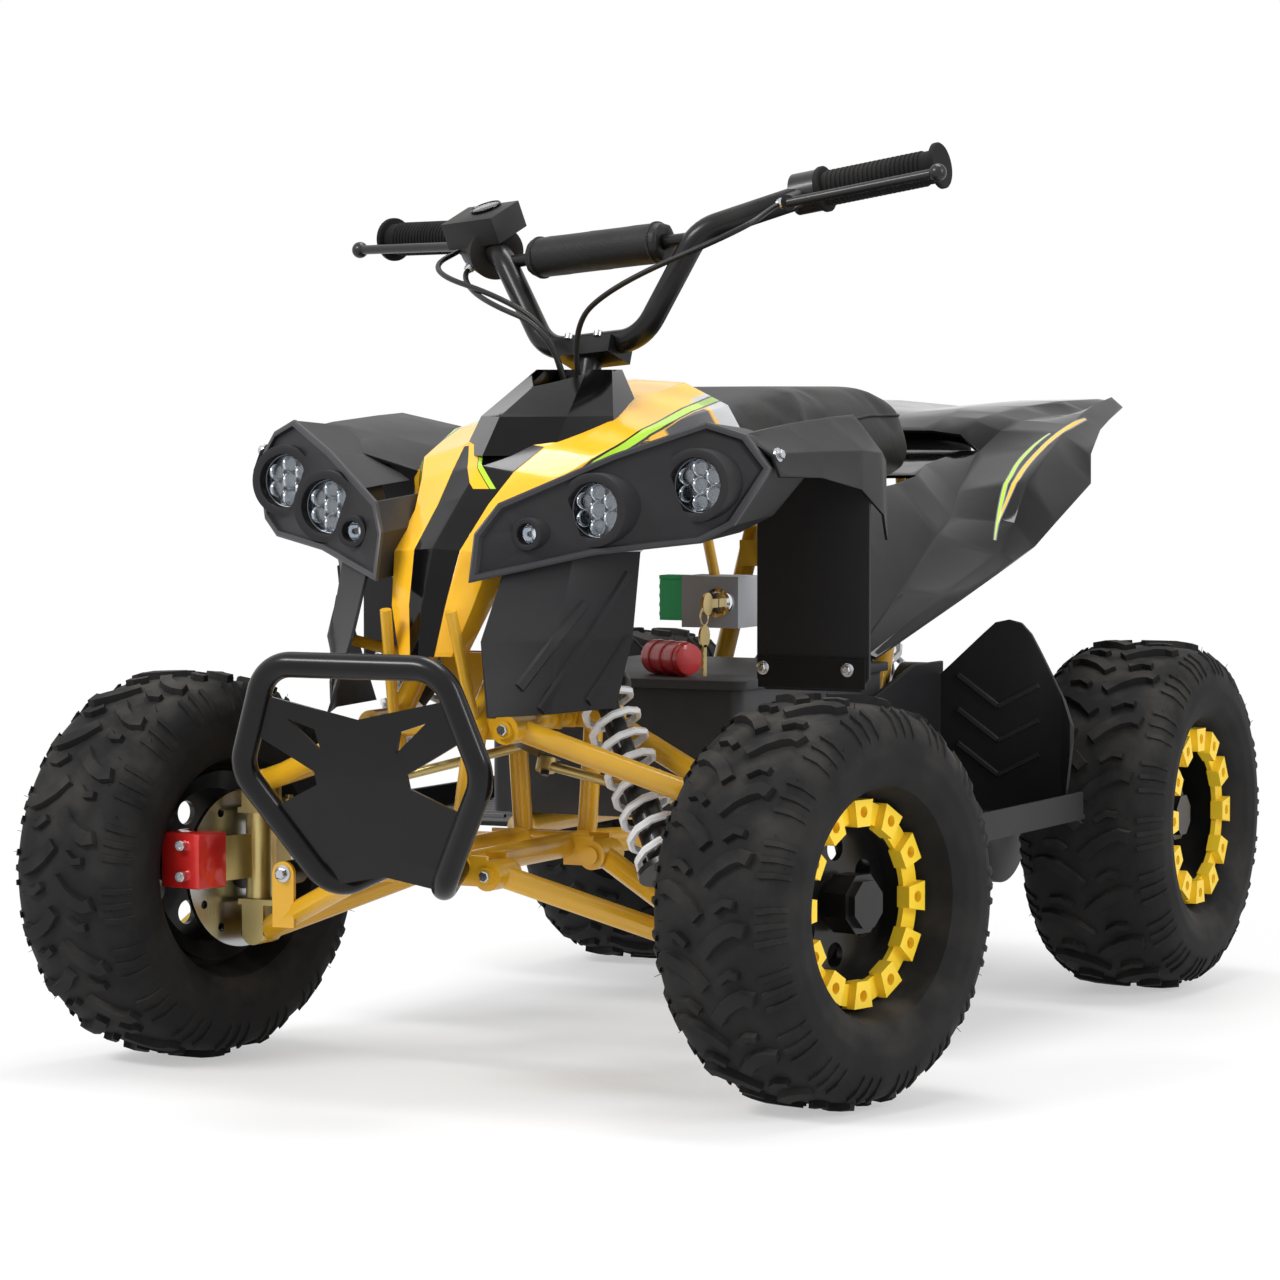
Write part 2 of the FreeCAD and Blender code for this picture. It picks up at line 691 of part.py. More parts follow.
def rear_wheels():
    """The two driven wheels, which turn with the axle."""
    place = wheel_place(SIDES["left"], False)
    bead = "Sizes.rear_bead_half_width"
    tyre = tyre_shape(size.rear_tyre_width, size.rear_bead_half_width)
    tyre.Placement = place
    piece("rear_tyres", both_sides(tyre))
    paired("rear_rims", rim_body("rear_rim", place, bead, "-Sizes.rim_web_offset"))
    paired("rear_rings", bead_ring_body("rear_ring", place, bead))


# Front end


def knuckles():
    """The steered knuckles: a tube on the kingpin, the spindle, the brake plate and the arm."""
    for name, side in SIDES.items():
        low = size.knuckle_low
        high = size.knuckle_high
        tube = Part.makeCylinder(size.knuckle_radius, high - low, Vector(0, 0, low))
        axle = Vector(0, 0, size.axle_height)
        tip = Vector(side * (size.kingpin_inset + size.rim_web_offset + size.rim_web_wall), 0, size.axle_height)
        spindle = rod(axle, tip, size.spindle_radius)
        arm_low = high - size.steer_arm_wall - size.carrier_wall
        eye = Vector(0, size.steer_arm_length, arm_low)
        half = size.steer_arm_width / 2
        arm = block(Vector(-half, 0, arm_low), Vector(half, size.steer_arm_length, arm_low + size.steer_arm_wall))
        arm_end = Part.makeCylinder(half, size.steer_arm_wall, eye)
        stud = Part.makeCylinder(size.steer_stud_radius, size.steer_stud_height + size.steer_arm_wall, eye)
        plate_low = size.axle_height - size.caliper_rise / 2
        reach = size.caliper_ring - size.caliper_width / 2
        plate = block(
            Vector(-size.carrier_wall / 2, -reach, plate_low),
            Vector(size.carrier_wall / 2, 0, plate_low + size.caliper_height * 0.8),
        )
        body = fused([tube, spindle, arm, arm_end, stud, plate])
        bore = Part.makeCylinder(
            size.kingpin_radius + size.run_gap, high - low + 2 * size.cut_over,
            Vector(0, 0, low - size.cut_over),
        )
        piece(f"knuckle_{name}", body.cut(bore), knuckle_place(side))


def calipers():
    """The front brake calipers, which straddle the discs ahead of the axle."""
    for name, side in SIDES.items():
        middle_height = size.axle_height + size.caliper_rise
        front = -size.caliper_ring - size.caliper_width / 2
        back = -size.caliper_ring + size.caliper_width / 2
        low = middle_height - size.caliper_height / 2
        inner = size.disc_offset - size.caliper_inner_reach
        outer = size.disc_offset + size.caliper_outer_reach
        body = block(Vector(inner, front, low), Vector(outer, back, low + size.caliper_height))
        slot = Part.makeCylinder(
            size.disc_radius + size.caliper_slot / 2, size.caliper_slot,
            Vector(size.disc_offset - size.caliper_slot / 2, 0, size.axle_height), X_AXIS,
        )
        shape = body.cut(slot)
        if side < 0:
            shape = mirrored(shape)
        piece(f"caliper_{name}", largest(shape), knuckle_place(side))


def carrier_shape():
    """A folded bracket that holds the kingpin between the outer bushes of the two arms."""
    wall = size.carrier_wall
    half = size.carrier_half_width
    inner = -size.carrier_web_offset - wall
    gap = size.seat_gap
    low = size.knuckle_low - gap
    high = size.knuckle_high + gap
    outer = size.knuckle_radius
    web = block(Vector(inner, -half, low - wall), Vector(inner + wall, half, high + wall))
    low_jaw = block(Vector(inner, -half, low - wall), Vector(outer, half, low))
    high_jaw = block(Vector(inner, -half, high), Vector(outer, half, high + wall))
    pin = Part.makeCylinder(size.kingpin_radius, high - low, Vector(0, 0, low))
    parts = [web, low_jaw, high_jaw, pin]
    tab_start = size.bush_half_length + gap
    for centre, edge in ((size.lower_bush_height, low - wall), (size.upper_bush_height, high + wall)):
        middle = Vector(-size.bush_inset, 0, centre)
        for way in (1, -1):
            low_y, high_y = sorted((way * tab_start, way * (tab_start + wall)))
            bottom, top = sorted((centre, edge))
            parts.append(block(Vector(middle.x - size.bush_radius, low_y, bottom),
                               Vector(middle.x + size.bush_radius, high_y, top)))
            parts.append(rod(Vector(middle.x, low_y, centre), Vector(middle.x, high_y, centre),
                             size.bush_radius))
    bridge = (high + wall, high + 2 * wall)
    parts.append(block(Vector(inner, -tab_start - wall, bridge[0] - wall),
                       Vector(outer, tab_start + wall, bridge[0])))
    parts.append(block(Vector(inner, -tab_start - wall, low - wall),
                       Vector(outer, tab_start + wall, low)))
    return fused(parts)


def carriers():
    """The kingpin carriers of both sides."""
    shape = carrier_shape()
    shape.translate(Vector(kingpin_out, front_axle, 0))
    piece("kingpin_carriers", both_sides(shape))


def end_rooms(spot, half_length, inner, outer):
    """The room beside a sleeve's two ends, where the plates that hold it stand."""
    rooms = []
    reach = 2 * half_length
    for way in (1, -1):
        low_y, high_y = sorted((spot.y + way * half_length, spot.y + way * (half_length + reach)))
        rooms.append(block(Vector(inner, low_y, spot.z - reach), Vector(outer, high_y, spot.z + reach)))
    return rooms


def arm_shape(pivots, bush, front_parts):
    """An A-arm of the left side: its pivot sleeves, its outer sleeve and the tubes between them."""
    parts = front_parts + [rod(pivots[-1], bush, size.arm_tube_radius)]
    parts.append(rod_about(bush, Y_AXIS, size.bush_half_length, size.bush_radius))
    inner = bush.x - size.bush_radius - size.seat_gap
    rooms = end_rooms(bush, size.bush_half_length, inner, bush.x + 2 * size.bush_radius)
    for spot in pivots:
        parts.append(rod_about(spot, Y_AXIS, size.arm_pivot_half_length, size.arm_pivot_radius))
        outer = spot.x + size.arm_pivot_radius + size.seat_gap
        rooms += end_rooms(spot, size.arm_pivot_half_length, 0, outer)
    return largest(fused(parts).cut(rooms))


def arms():
    """Upper and lower A-arms, each of two tubes between the frame and the kingpin carrier."""
    bush_out = kingpin_out - size.bush_inset
    lower = [Vector(size.lower_pivot_out, back, size.lower_pivot_height)
             for back in (size.lower_pivot_front, size.lower_pivot_rear)]
    bush = Vector(bush_out, front_axle, size.lower_bush_height)
    tube = rod(lower[0], bush, size.arm_tube_radius)
    piece("lower_arms", both_sides(arm_shape(lower, bush, [tube, damper_tab()])))
    upper = [Vector(size.upper_pivot_out, back, size.upper_pivot_height)
             for back in (size.upper_pivot_front, size.upper_pivot_rear)]
    bend = Vector(kingpin_out - size.upper_bend_inset, size.upper_bend_back, size.upper_bend_height)
    bush = Vector(bush_out, front_axle, size.upper_bush_height)
    tube = bent_tube([upper[0], bend, bush], size.arm_tube_radius, size.arm_bend_radius)
    piece("upper_arms", both_sides(arm_shape(upper, bush, [tube])))


def damper_tab():
    """The bracket on the lower arm that the damper's foot is bolted to."""
    foot = damper_foot
    front = foot.y - size.damper_eye_half_length - size.seat_gap - size.pivot_tab_wall
    share = (foot.x - size.lower_pivot_out) / (kingpin_out - size.lower_pivot_out)
    arm_height = size.lower_pivot_height + share * (size.lower_bush_height - size.lower_pivot_height)
    half = size.damper_eye_radius
    plate = block(Vector(foot.x - half, front, arm_height - half),
                  Vector(foot.x + half, front + size.pivot_tab_wall, foot.z))
    top = Part.makeCylinder(half, size.pivot_tab_wall, Vector(foot.x, front, foot.z), Y_AXIS)
    return fused([plate, top])


def damper_parts(top, foot):
    """A damper and its coil spring between two eyes whose axes run along the bike."""
    axis = (foot - top).normalize()
    end = size.damper_end_length
    spring_top = top + axis * end
    spring_foot = foot - axis * end
    eyes = [rod_about(spot, Y_AXIS, size.damper_eye_half_length, size.damper_eye_radius) for spot in (top, foot)]
    stem = rod(top, foot, size.damper_rod_radius)
    middle = spring_top + (spring_foot - spring_top) * 0.55
    canister = rod(middle, spring_foot, size.damper_body_radius)
    sleeve = rod(spring_top, middle, size.damper_body_radius * 0.7)
    cup = size.spring_cup_wall
    reach = size.spring_radius + size.spring_wire_radius
    cups = [rod(spring_top - axis * cup, spring_top, reach), rod(spring_foot, spring_foot + axis * cup, reach)]
    damper = fused(eyes + [stem, canister, sleeve] + cups)
    coil = coil_shape((spring_foot - spring_top).Length)
    coil.Placement = Placement(spring_top, Rotation(Z_AXIS, axis))
    return damper, coil


def coil_shape(length):
    """A coil spring between two seats, through sections that each lie in a plane with its axis."""
    steps = int(size.spring_turn_steps)
    sides = int(size.spring_wire_sides)
    count = int(size.spring_turns * steps)
    low = size.spring_wire_radius + size.seat_gap
    rise = (length - 2 * low) / count
    sections = []
    for index in range(count + 1):
        around_axis = Rotation(Z_AXIS, 360 * index / steps)
        points = []
        for side in range(sides):
            angle = 2 * math.pi * side / sides
            out = size.spring_radius + size.spring_wire_radius * math.cos(angle)
            up = low + rise * index + size.spring_wire_radius * math.sin(angle)
            points.append(around_axis.multVec(Vector(out, 0, up)))
        sections.append(points)
    return loft(sections)


def dampers():
    """Coil-over dampers at the front and the rear."""
    top = Vector(size.damper_top_out, size.damper_top_back, size.damper_top_height)
    damper, coil = damper_parts(top, damper_foot)
    piece("front_dampers", both_sides(damper))
    piece("front_springs", both_sides(coil))
    top = Vector(size.rear_damper_out, size.rear_damper_top_back, size.rear_damper_top_height)
    foot = Vector(size.rear_damper_out, size.rear_damper_foot_back, size.rear_damper_foot_height)
    damper, coil = damper_parts(top, foot)
    piece("rear_dampers", both_sides(damper))
    piece("rear_springs", both_sides(coil))


# Steering


def pitman_eye(side, turn=0.0):
    """The middle of a tie rod's inner eye: the left rod's lies under the pitman arm, the right one's on a boss."""
    back = X_AXIS.cross(column_axis) * -1
    rise = -eye_drop if side > 0 else eye_drop + size.pitman_boss_height
    straight = on_column(size.column_low) + back * size.steer_arm_length + column_axis * rise
    rotation = Rotation(column_axis, turn)
    return clamp_point + rotation.multVec(straight - clamp_point)


def steering_column():
    """The column with the bar clamp on top and the pitman arm at its foot."""
    foot = on_column(size.column_low)
    column = rod(foot, on_column(column_high), size.column_radius)
    wall = size.pitman_wall
    half = size.pitman_half_width + size.steer_stud_radius
    arm = Part.makeBox(2 * half, size.steer_arm_length + 2 * half, wall, Vector(-half, -half, -wall / 2))
    tilt = Rotation(X_AXIS, -size.column_tilt)
    arm.Placement = Placement(foot, tilt)
    parts = [column, arm]
    for side in SIDES.values():
        eye = pitman_eye(side)
        parts.append(rod_about(eye, column_axis, eye_drop, size.steer_stud_radius))
    arm_end = pitman_eye(1) + column_axis * eye_drop
    boss_top = arm_end + column_axis * (wall / 2 + size.pitman_boss_height)
    parts.append(rod(arm_end, boss_top, size.steer_stud_radius + size.pitman_boss_wall))
    top = on_column(column_high)
    saddle = Part.makeBox(size.clamp_length, size.clamp_depth, size.clamp_wall,
                          Vector(-size.clamp_length / 2, -size.clamp_depth / 2, 0))
    saddle.Placement = Placement(top, tilt)
    parts.append(saddle)
    column_shape = fused(parts)
    bar_room = rod_about(clamp_point, X_AXIS, size.clamp_length, size.bar_radius + size.seat_gap)
    piece("steering_column", largest(turned_bar(column_shape.cut(bar_room))))


def bar_points(side):
    """The route of one half of the handlebar from its middle."""
    return [
        Vector(0, size.clamp_back, size.clamp_height),
        Vector(side * size.bar_flat_out, size.clamp_back, size.clamp_height),
        Vector(side * size.bar_knee_out, size.bar_knee_back, size.bar_knee_height),
        Vector(side * size.grip_start_out, size.grip_start_back, size.grip_start_height),
        Vector(side * size.grip_end_out, size.grip_end_back, size.grip_end_height),
    ]


def handlebar():
    """A braced handlebar."""
    halves = []
    for side in SIDES.values():
        points = bar_points(side)
        halves.append(bent_tube(points, size.bar_radius, size.bar_bend_radius))
    knee = Vector(size.bar_knee_out, size.bar_knee_back, size.cross_bar_height)
    brace = rod(Vector(-knee.x, knee.y, knee.z), knee, size.cross_bar_radius)
    piece("handlebar", turned_bar(fused(halves + [brace])))
    pad_middle = Vector(0, knee.y, knee.z)
    cushion = rod_about(pad_middle, X_AXIS, size.pad_half_length, size.pad_radius)
    core = rod_about(pad_middle, X_AXIS, size.pad_half_length + size.cut_over,
                     size.cross_bar_radius + size.seat_gap)
    knees = [bent_tube(bar_points(side), size.bar_radius + size.joint_gap / 2, size.bar_bend_radius)
             for side in SIDES.values()]
    piece("handlebar_pad", turned_bar(largest(cushion.cut([core] + knees))))


def grips():
    """Rubber grips over the ends of the bar."""
    shapes = []
    for side in SIDES.values():
        points = bar_points(side)
        start = points[-2] + (points[-1] - points[-2]) * 0.12
        end = points[-1] + (points[-1] - points[-2]).normalize() * size.grip_flange_wall
        way = (end - start).normalize()
        sleeve = fused([
            rod(start, end, size.grip_radius),
            rod(start, start + way * size.grip_flange_wall, size.grip_flange_radius),
            rod(end - way * size.grip_flange_wall, end, size.grip_flange_radius),
        ])
        bore = rod(start - way * size.cut_over, points[-1] + way * size.seat_gap, size.bar_radius + size.seat_gap)
        shapes.append(sleeve.cut(bore))
    piece("grips", turned_bar(Part.makeCompound(shapes)))


lever_reach = Vector(0, -size.lever_drop, -size.lever_drop * size.lever_slope_share)


def brake_levers():
    """Clamps and levers ahead of the grips."""
    shapes = []
    for side in SIDES.values():
        points = bar_points(side)
        way = (points[-1] - points[-2]).normalize()
        seat = points[-2] - way * (size.lever_clamp_length / 2)
        clamp = rod_about(seat, way, size.lever_clamp_length / 2, size.bar_radius + size.lever_clamp_wall)
        root = seat + lever_reach
        neck = rod(seat, root, size.lever_width / 2)
        tip = root + way * size.lever_length
        blade = rod(root, tip, size.lever_wall / 2 + 1)
        ball = Part.makeSphere(size.lever_ball_radius, tip)
        shape = fused([clamp, neck, blade, ball])
        shapes.append(shape.cut(bent_tube(points, size.bar_radius + size.seat_gap, size.bar_bend_radius)))
    piece("brake_levers", turned_bar(Part.makeCompound([largest(shape) for shape in shapes])))


def throttle():
    """The throttle body and display on the right of the bar."""
    points = bar_points(SIDES["right"])
    way = (points[3] - points[2]).normalize()
    seat = points[2] + (points[3] - points[2]) * size.throttle_share
    drum = rod_about(seat, way, size.throttle_length / 2, size.throttle_radius)
    head = Part.makeBox(size.display_width, size.display_depth, size.display_height,
                        Vector(-size.display_width / 2, -size.display_depth / 2, size.bar_radius))
    head.Placement = Placement(seat, Rotation(X_AXIS, size.column_tilt))
    shape = fused([drum, head])
    bore = bent_tube(points, size.bar_radius + size.seat_gap, size.bar_bend_radius)
    piece("throttle_display", turned_bar(largest(shape.cut(bore))))


def control_cables():
    """The brake and throttle cables: from the bar they gather ahead of the column and go into the shroud."""
    routes = []
    mouth = on_column(size.cable_end_height) - Y_AXIS * size.cable_column_gap
    for side in SIDES.values():
        points = bar_points(side)
        way = (points[-1] - points[-2]).normalize()
        neck = points[-2] - way * (size.lever_clamp_length / 2) + lever_reach * size.cable_neck_share
        start = neck - way * (size.lever_width / 2 + size.seat_gap)
        routes.append((side, start, start - way * size.cable_lead))
    points = bar_points(SIDES["right"])
    seat = points[2] + (points[3] - points[2]) * size.throttle_share
    way = (points[3] - points[2]).normalize()
    ahead = Vector(0, -1, -size.cable_slope_share)
    ahead = (ahead - way * ahead.dot(way)).normalize()
    start = seat + ahead * (size.throttle_radius + size.seat_gap)
    routes.append((0, start, start + ahead * (2 * size.cable_lead)))
    cables = []
    for side, start, lead in routes:
        out = side * size.cable_gather
        front = mouth.y - size.cable_gather * (1 - abs(side))
        spread = lead.x / 2 if side == 0 else side * (size.bar_flat_out + size.cable_gather)
        elbow = [Vector(side * size.cable_side_out, size.cable_side_back, size.cable_side_height)] if side else []
        cables.append(bent_tube([start, lead] + elbow + [
            Vector(spread, size.cable_forward + size.cable_gather * (abs(side) - 1), size.cable_high),
            Vector(out, size.cable_forward + size.cable_gather * (abs(side) - 1), size.cable_low),
            Vector(out, front, size.cable_end_height),
        ], size.cable_radius, size.cable_bend_radius))
    piece("control_cables", turned_bar(Part.makeCompound(cables)))


def tie_rods():
    """Rods from the pitman arm to the knuckles' arms. The outer eye is wide, so it may wander."""
    for name, side in SIDES.items():
        inner = pitman_eye(side, steer_turn)
        arm_top = size.knuckle_high - size.carrier_wall
        stud = knuckle_place(side).multVec(Vector(0, size.steer_arm_length, arm_top + size.steer_stud_height / 2))
        way = (stud - inner).normalize()
        parts = [rod(inner, stud, size.tie_rod_radius)]
        parts.append(rod_about(inner, column_axis, size.tie_rod_eye_wall / 2, size.tie_rod_eye_radius))
        parts.append(rod_about(stud, Z_AXIS, size.tie_rod_eye_wall / 2, size.tie_rod_eye_radius + size.tie_rod_eye_bore / 2))
        shape = fused(parts)
        inner_bore = rod_about(inner, column_axis, size.tie_rod_eye_radius, size.steer_stud_radius + size.run_gap)
        outer_bore = rod_about(stud, Z_AXIS, size.tie_rod_eye_radius, size.tie_rod_eye_bore)
        piece(f"tie_rod_{name}", largest(shape.cut([inner_bore, outer_bore])))


# Drive


def rear_axle_parts():
    """The live axle with its hub flanges and brake disc."""
    reach = size.rear_track / 2 + size.rim_web_offset + size.rim_web_wall
    middle = Vector(0, rear_axle, size.axle_height)
    neck = size.rear_track / 2 - size.rim_web_offset - size.seat_gap
    parts = [rod_about(middle, X_AXIS, neck, size.axle_radius)]
    parts.append(rod_about(middle, X_AXIS, reach, size.spindle_radius))
    for side in SIDES.values():
        start = Vector(side * neck, rear_axle, size.axle_height)
        parts.append(rod(start, start - X_AXIS * (side * size.axle_flange_wall), size.axle_flange_radius))
    boss_start = Vector(size.rear_disc_out - size.axle_flange_wall, rear_axle, size.axle_height)
    parts.append(rod(boss_start, boss_start + X_AXIS * size.axle_flange_wall, size.axle_flange_radius))
    piece("rear_axle", fused(parts))
    disc = rod(Vector(size.rear_disc_out + size.seat_gap, rear_axle, size.axle_height),
               Vector(size.rear_disc_out + size.seat_gap + size.rear_disc_wall, rear_axle, size.axle_height),
               size.rear_disc_radius)
    bores = [rod_about(middle, X_AXIS, reach, size.axle_radius + size.seat_gap)]
    for index in range(int(size.disc_holes)):
        angle = 2 * math.pi * index / size.disc_holes
        spot = middle + Vector(0, math.cos(angle), math.sin(angle)) * (size.rear_disc_radius - 3 * size.disc_hole_radius)
        bores.append(rod_about(spot, X_AXIS, reach, size.disc_hole_radius))
    piece("rear_disc", disc.cut(bores))


def swingarm():
    """The rear fork with the tube that holds the axle bearings."""
    pivot_point = Vector(0, size.swing_pivot_back, size.swing_pivot_height)
    middle = Vector(0, rear_axle, size.axle_height)
    parts = [rod_about(pivot_point, X_AXIS, size.swing_sleeve_half_length, size.swing_sleeve_radius)]
    parts.append(rod_about(middle, X_AXIS, size.carrier_half_length, size.carrier_radius))
    foot_top = size.rear_damper_foot_height
    half = size.damper_eye_radius
    for side in SIDES.values():
        out = X_AXIS * (side * size.swing_pivot_out)
        parts.append(rod(pivot_point + out, middle + out, size.swing_tube_radius))
        tab_start = size.damper_eye_half_length + size.seat_gap
        share = (size.rear_damper_foot_back - size.swing_pivot_back) / (rear_axle - size.swing_pivot_back)
        tube_height = size.swing_pivot_height + share * (size.axle_height - size.swing_pivot_height)
        for way in (1, -1):
            ends = (size.rear_damper_foot_back + way * tab_start,
                    size.rear_damper_foot_back + way * (tab_start + size.pivot_tab_wall))
            low = Vector(side * size.rear_damper_out - half, min(ends), tube_height)
            high = Vector(side * size.rear_damper_out + half, max(ends), foot_top)
            parts.append(block(low, high))
            spot = Vector(side * size.rear_damper_out, min(ends), foot_top)
            parts.append(Part.makeCylinder(half, size.pivot_tab_wall, spot, Y_AXIS))
    shape = fused(parts)
    bore = rod_about(middle, X_AXIS, size.carrier_half_length + size.cut_over, size.axle_radius + size.run_gap)
    piece("swingarm", largest(shape.cut(bore)))


def motor_shape():
    """The traction motor, a drum across the frame, with its shaft housing."""
    middle = Vector(0, size.motor_back, size.motor_height)
    half = size.motor_length / 2
    parts = [rod_about(middle, X_AXIS, half, size.motor_radius)]
    case_inner = size.case_out - size.seat_gap
    parts.append(rod(middle, middle + X_AXIS * case_inner, size.motor_radius * 0.28))
    return fused(parts)


def drive_motor():
    """The traction motor."""
    piece("drive_motor", motor_shape())


def chain_case():
    """The closed case over the chain, from the motor to the axle."""
    front = Vector(size.case_out, size.motor_back, size.motor_height)
    rear = Vector(size.case_out, rear_axle, size.axle_height)
    wide = X_AXIS * size.case_width
    way = (rear - front).normalize()
    across = way.cross(X_AXIS).normalize()
    front_radius = size.case_front_radius
    rear_radius = size.case_rear_radius
    corners = [front + across * front_radius, rear + across * rear_radius,
               rear - across * rear_radius, front - across * front_radius]
    bridge = Part.Face(polygon(corners)).extrude(wide)
    parts = [bridge, rod(front, front + wide, front_radius), rod(rear, rear + wide, rear_radius)]
    bearing_end = Vector(size.carrier_half_length + size.seat_gap, rear_axle, size.axle_height)
    parts.append(rod(bearing_end, rear + wide / 2, size.carrier_radius * 0.8))
    bore = rod_about(rear, X_AXIS, size.case_out, size.axle_radius + size.joint_gap)
    piece("chain_case", largest(fused(parts).cut(bore)))


def rear_caliper():
    """The rear brake caliper on a bracket from the bearing tube."""
    out = size.rear_disc_out + size.seat_gap + size.rear_disc_wall / 2
    ring = size.rear_disc_radius
    half = size.caliper_height / 2
    spread = size.caliper_inner_reach / 2
    low = Vector(out - spread * 0.8, rear_axle - ring - size.caliper_width / 2, size.axle_height - half)
    high = Vector(out + spread, rear_axle - ring + size.caliper_width / 2, size.axle_height + half)
    body = block(low, high)
    slot = rod(Vector(out - size.caliper_slot / 2, rear_axle, size.axle_height),
               Vector(out + size.caliper_slot / 2, rear_axle, size.axle_height), ring + size.caliper_slot / 2)
    bracket_low = Vector(high.x, low.y, size.axle_height - half / 2)
    bracket_high = Vector(-size.carrier_half_length - size.seat_gap, rear_axle, size.axle_height + half / 2)
    bracket = block(Vector(bracket_high.x - size.carrier_wall, low.y, bracket_low.z), bracket_high)
    neck = block(Vector(high.x - size.seat_gap, low.y, bracket_low.z),
                 Vector(bracket_high.x, high.y, bracket_high.z))
    axle_room = rod_about(Vector(out, rear_axle, size.axle_height), X_AXIS, size.case_out,
                          size.axle_radius + size.joint_gap)
    shape = fused([body.cut(slot), bracket, neck]).cut(axle_room)
    piece("rear_caliper", largest(shape))


# Bodywork. Each panel is drawn on its left half in stations across the bike.


def spine_stations():
    """The crown line of nose and hood: its height, how far it leans, and the half widths there."""
    length = size.hood_back - size.nose_front
    rise = size.hood_high - size.nose_low
    # back, up, lean in quarter turns, then width and drop of stripe edge, panel edge and skirt
    shares = [
        (0.00, 0.00, 0.00, 0.10, 0.07, 0.22, 0.13, 0.25, 0.36),
        (0.015, 0.18, 0.00, 0.15, 0.10, 0.34, 0.20, 0.39, 0.46),
        (0.06, 0.38, 0.11, 0.19, 0.09, 0.41, 0.21, 0.47, 0.52),
        (0.18, 0.55, 0.33, 0.21, 0.08, 0.46, 0.21, 0.56, 0.52),
        (0.27, 0.67, 0.50, 0.26, 0.08, 0.56, 0.20, 0.71, 0.48),
        (0.37, 0.76, 0.67, 0.34, 0.07, 0.71, 0.19, 0.85, 0.42),
        (0.58, 0.85, 0.83, 0.39, 0.05, 0.83, 0.15, 0.97, 0.38),
        (0.82, 0.93, 1.00, 0.42, 0.03, 0.86, 0.20, 0.98, 0.46),
        (1.00, 0.98, 1.00, 0.44, 0.03, 0.82, 0.25, 0.93, 0.48),
    ]
    stations = []
    for back, up, lean, *edges in shares:
        crown = Vector(0, size.nose_front + back * length, size.nose_low + up * rise)
        angle = lean * math.pi / 2
        drop = Vector(0, math.cos(angle), -math.sin(angle))
        line = [crown]
        for width_share, drop_share in zip(edges[::2], edges[1::2]):
            line.append(crown + X_AXIS * (size.hood_half_width * width_share) + drop * (size.hood_depth_full * drop_share))
        stations.append((line, drop))
    return stations


def whole_line(line):
    """A station's line from the left skirt over the crown to the right skirt."""
    right = [Vector(-point.x, point.y, point.z) for point in line[1:]]
    return line[::-1] + right


def spine_panel(stations, first, last):
    """A panel between two edges of the stations."""
    wires = []
    for line, drop in stations:
        part = line[first:last]
        if first == 0:
            part = whole_line(part)
        inner = [point + drop * size.panel_wall + X_AXIS * shift for point, shift in zip(part, wall_shifts(part))]
        wires.append(polygon(part + inner[::-1]))
    return Part.makeLoft(wires, True, True)


def wall_shifts(line):
    """How far the inner face of a steep edge lies towards the middle of the bike."""
    shifts = []
    for point in line:
        outer = abs(point.x) >= max(abs(other.x) for other in line) - size.seat_gap
        shifts.append(-math.copysign(size.panel_wall, point.x) if outer and point.x else 0)
    return shifts


def hood_core(stations):
    """All that lies under the hood's outer face, for fitting what stands on it."""
    wires = []
    for line, drop in stations:
        part = whole_line(line)
        depth = drop * size.hood_depth_full * 2
        wires.append(polygon(part + [part[-1] + depth, part[0] + depth]))
    return Part.makeLoft(wires, True, True)


def column_room(radius):
    """The room of the steering column with its cables."""
    return rod(on_column(size.column_low), on_column(size.bar_knee_height), radius)


def mask_plane(out, height):
    """The sloping front face of a lamp mask: how far back it lies."""
    across = (out - size.mask_inner) / (size.mask_outer - size.mask_inner)
    up = (height - size.mask_low) / (size.mask_high - size.mask_low)
    return size.mask_front + across * (size.mask_back - size.mask_front) + up * size.mask_lean - size.mask_lean / 2


def mask_points(shares, shift, inset):
    """The mask's outline, drawn in from its edge and moved back."""
    width = size.mask_outer - size.mask_inner
    height = size.mask_high - size.mask_low
    middle_out = sum(share[0] for share in shares) / len(shares)
    middle_up = sum(share[1] for share in shares) / len(shares)
    points = []
    for across, up in shares:
        out = size.mask_inner + width * across
        high = size.mask_low + height * up
        out += inset * (1 if across < middle_out else -1)
        high += inset * (1 if up < middle_up else -1)
        points.append(Vector(out, mask_plane(out, high), high) + shift)
    return points


MASK_OUTLINE_SHARES = [
    (0.00, 0.00), (0.00, 0.30), (0.07, 0.49), (0.45, 0.80), (0.76, 1.00), (0.90, 0.92), (1.00, 0.71),
    (0.89, 0.35), (0.78, 0.24), (0.42, 0.17),
]


def lamp_places():
    """The middles of the two lamps and the small one in a mask, with their radii."""
    shares = ((0.754, 0.603), (0.408, 0.449), (0.19, 0.30))
    radii = ((size.lamp_radius, size.bezel_radius), (size.lamp_radius, size.bezel_radius),
             (size.small_lamp_radius, size.small_bezel_radius))
    places = []
    for (across, up), (lamp, bezel) in zip(shares, radii):
        out = size.mask_inner + (size.mask_outer - size.mask_inner) * across
        high = size.mask_low + (size.mask_high - size.mask_low) * up
        places.append((Vector(out, mask_plane(out, high), high), lamp, bezel))
    return places


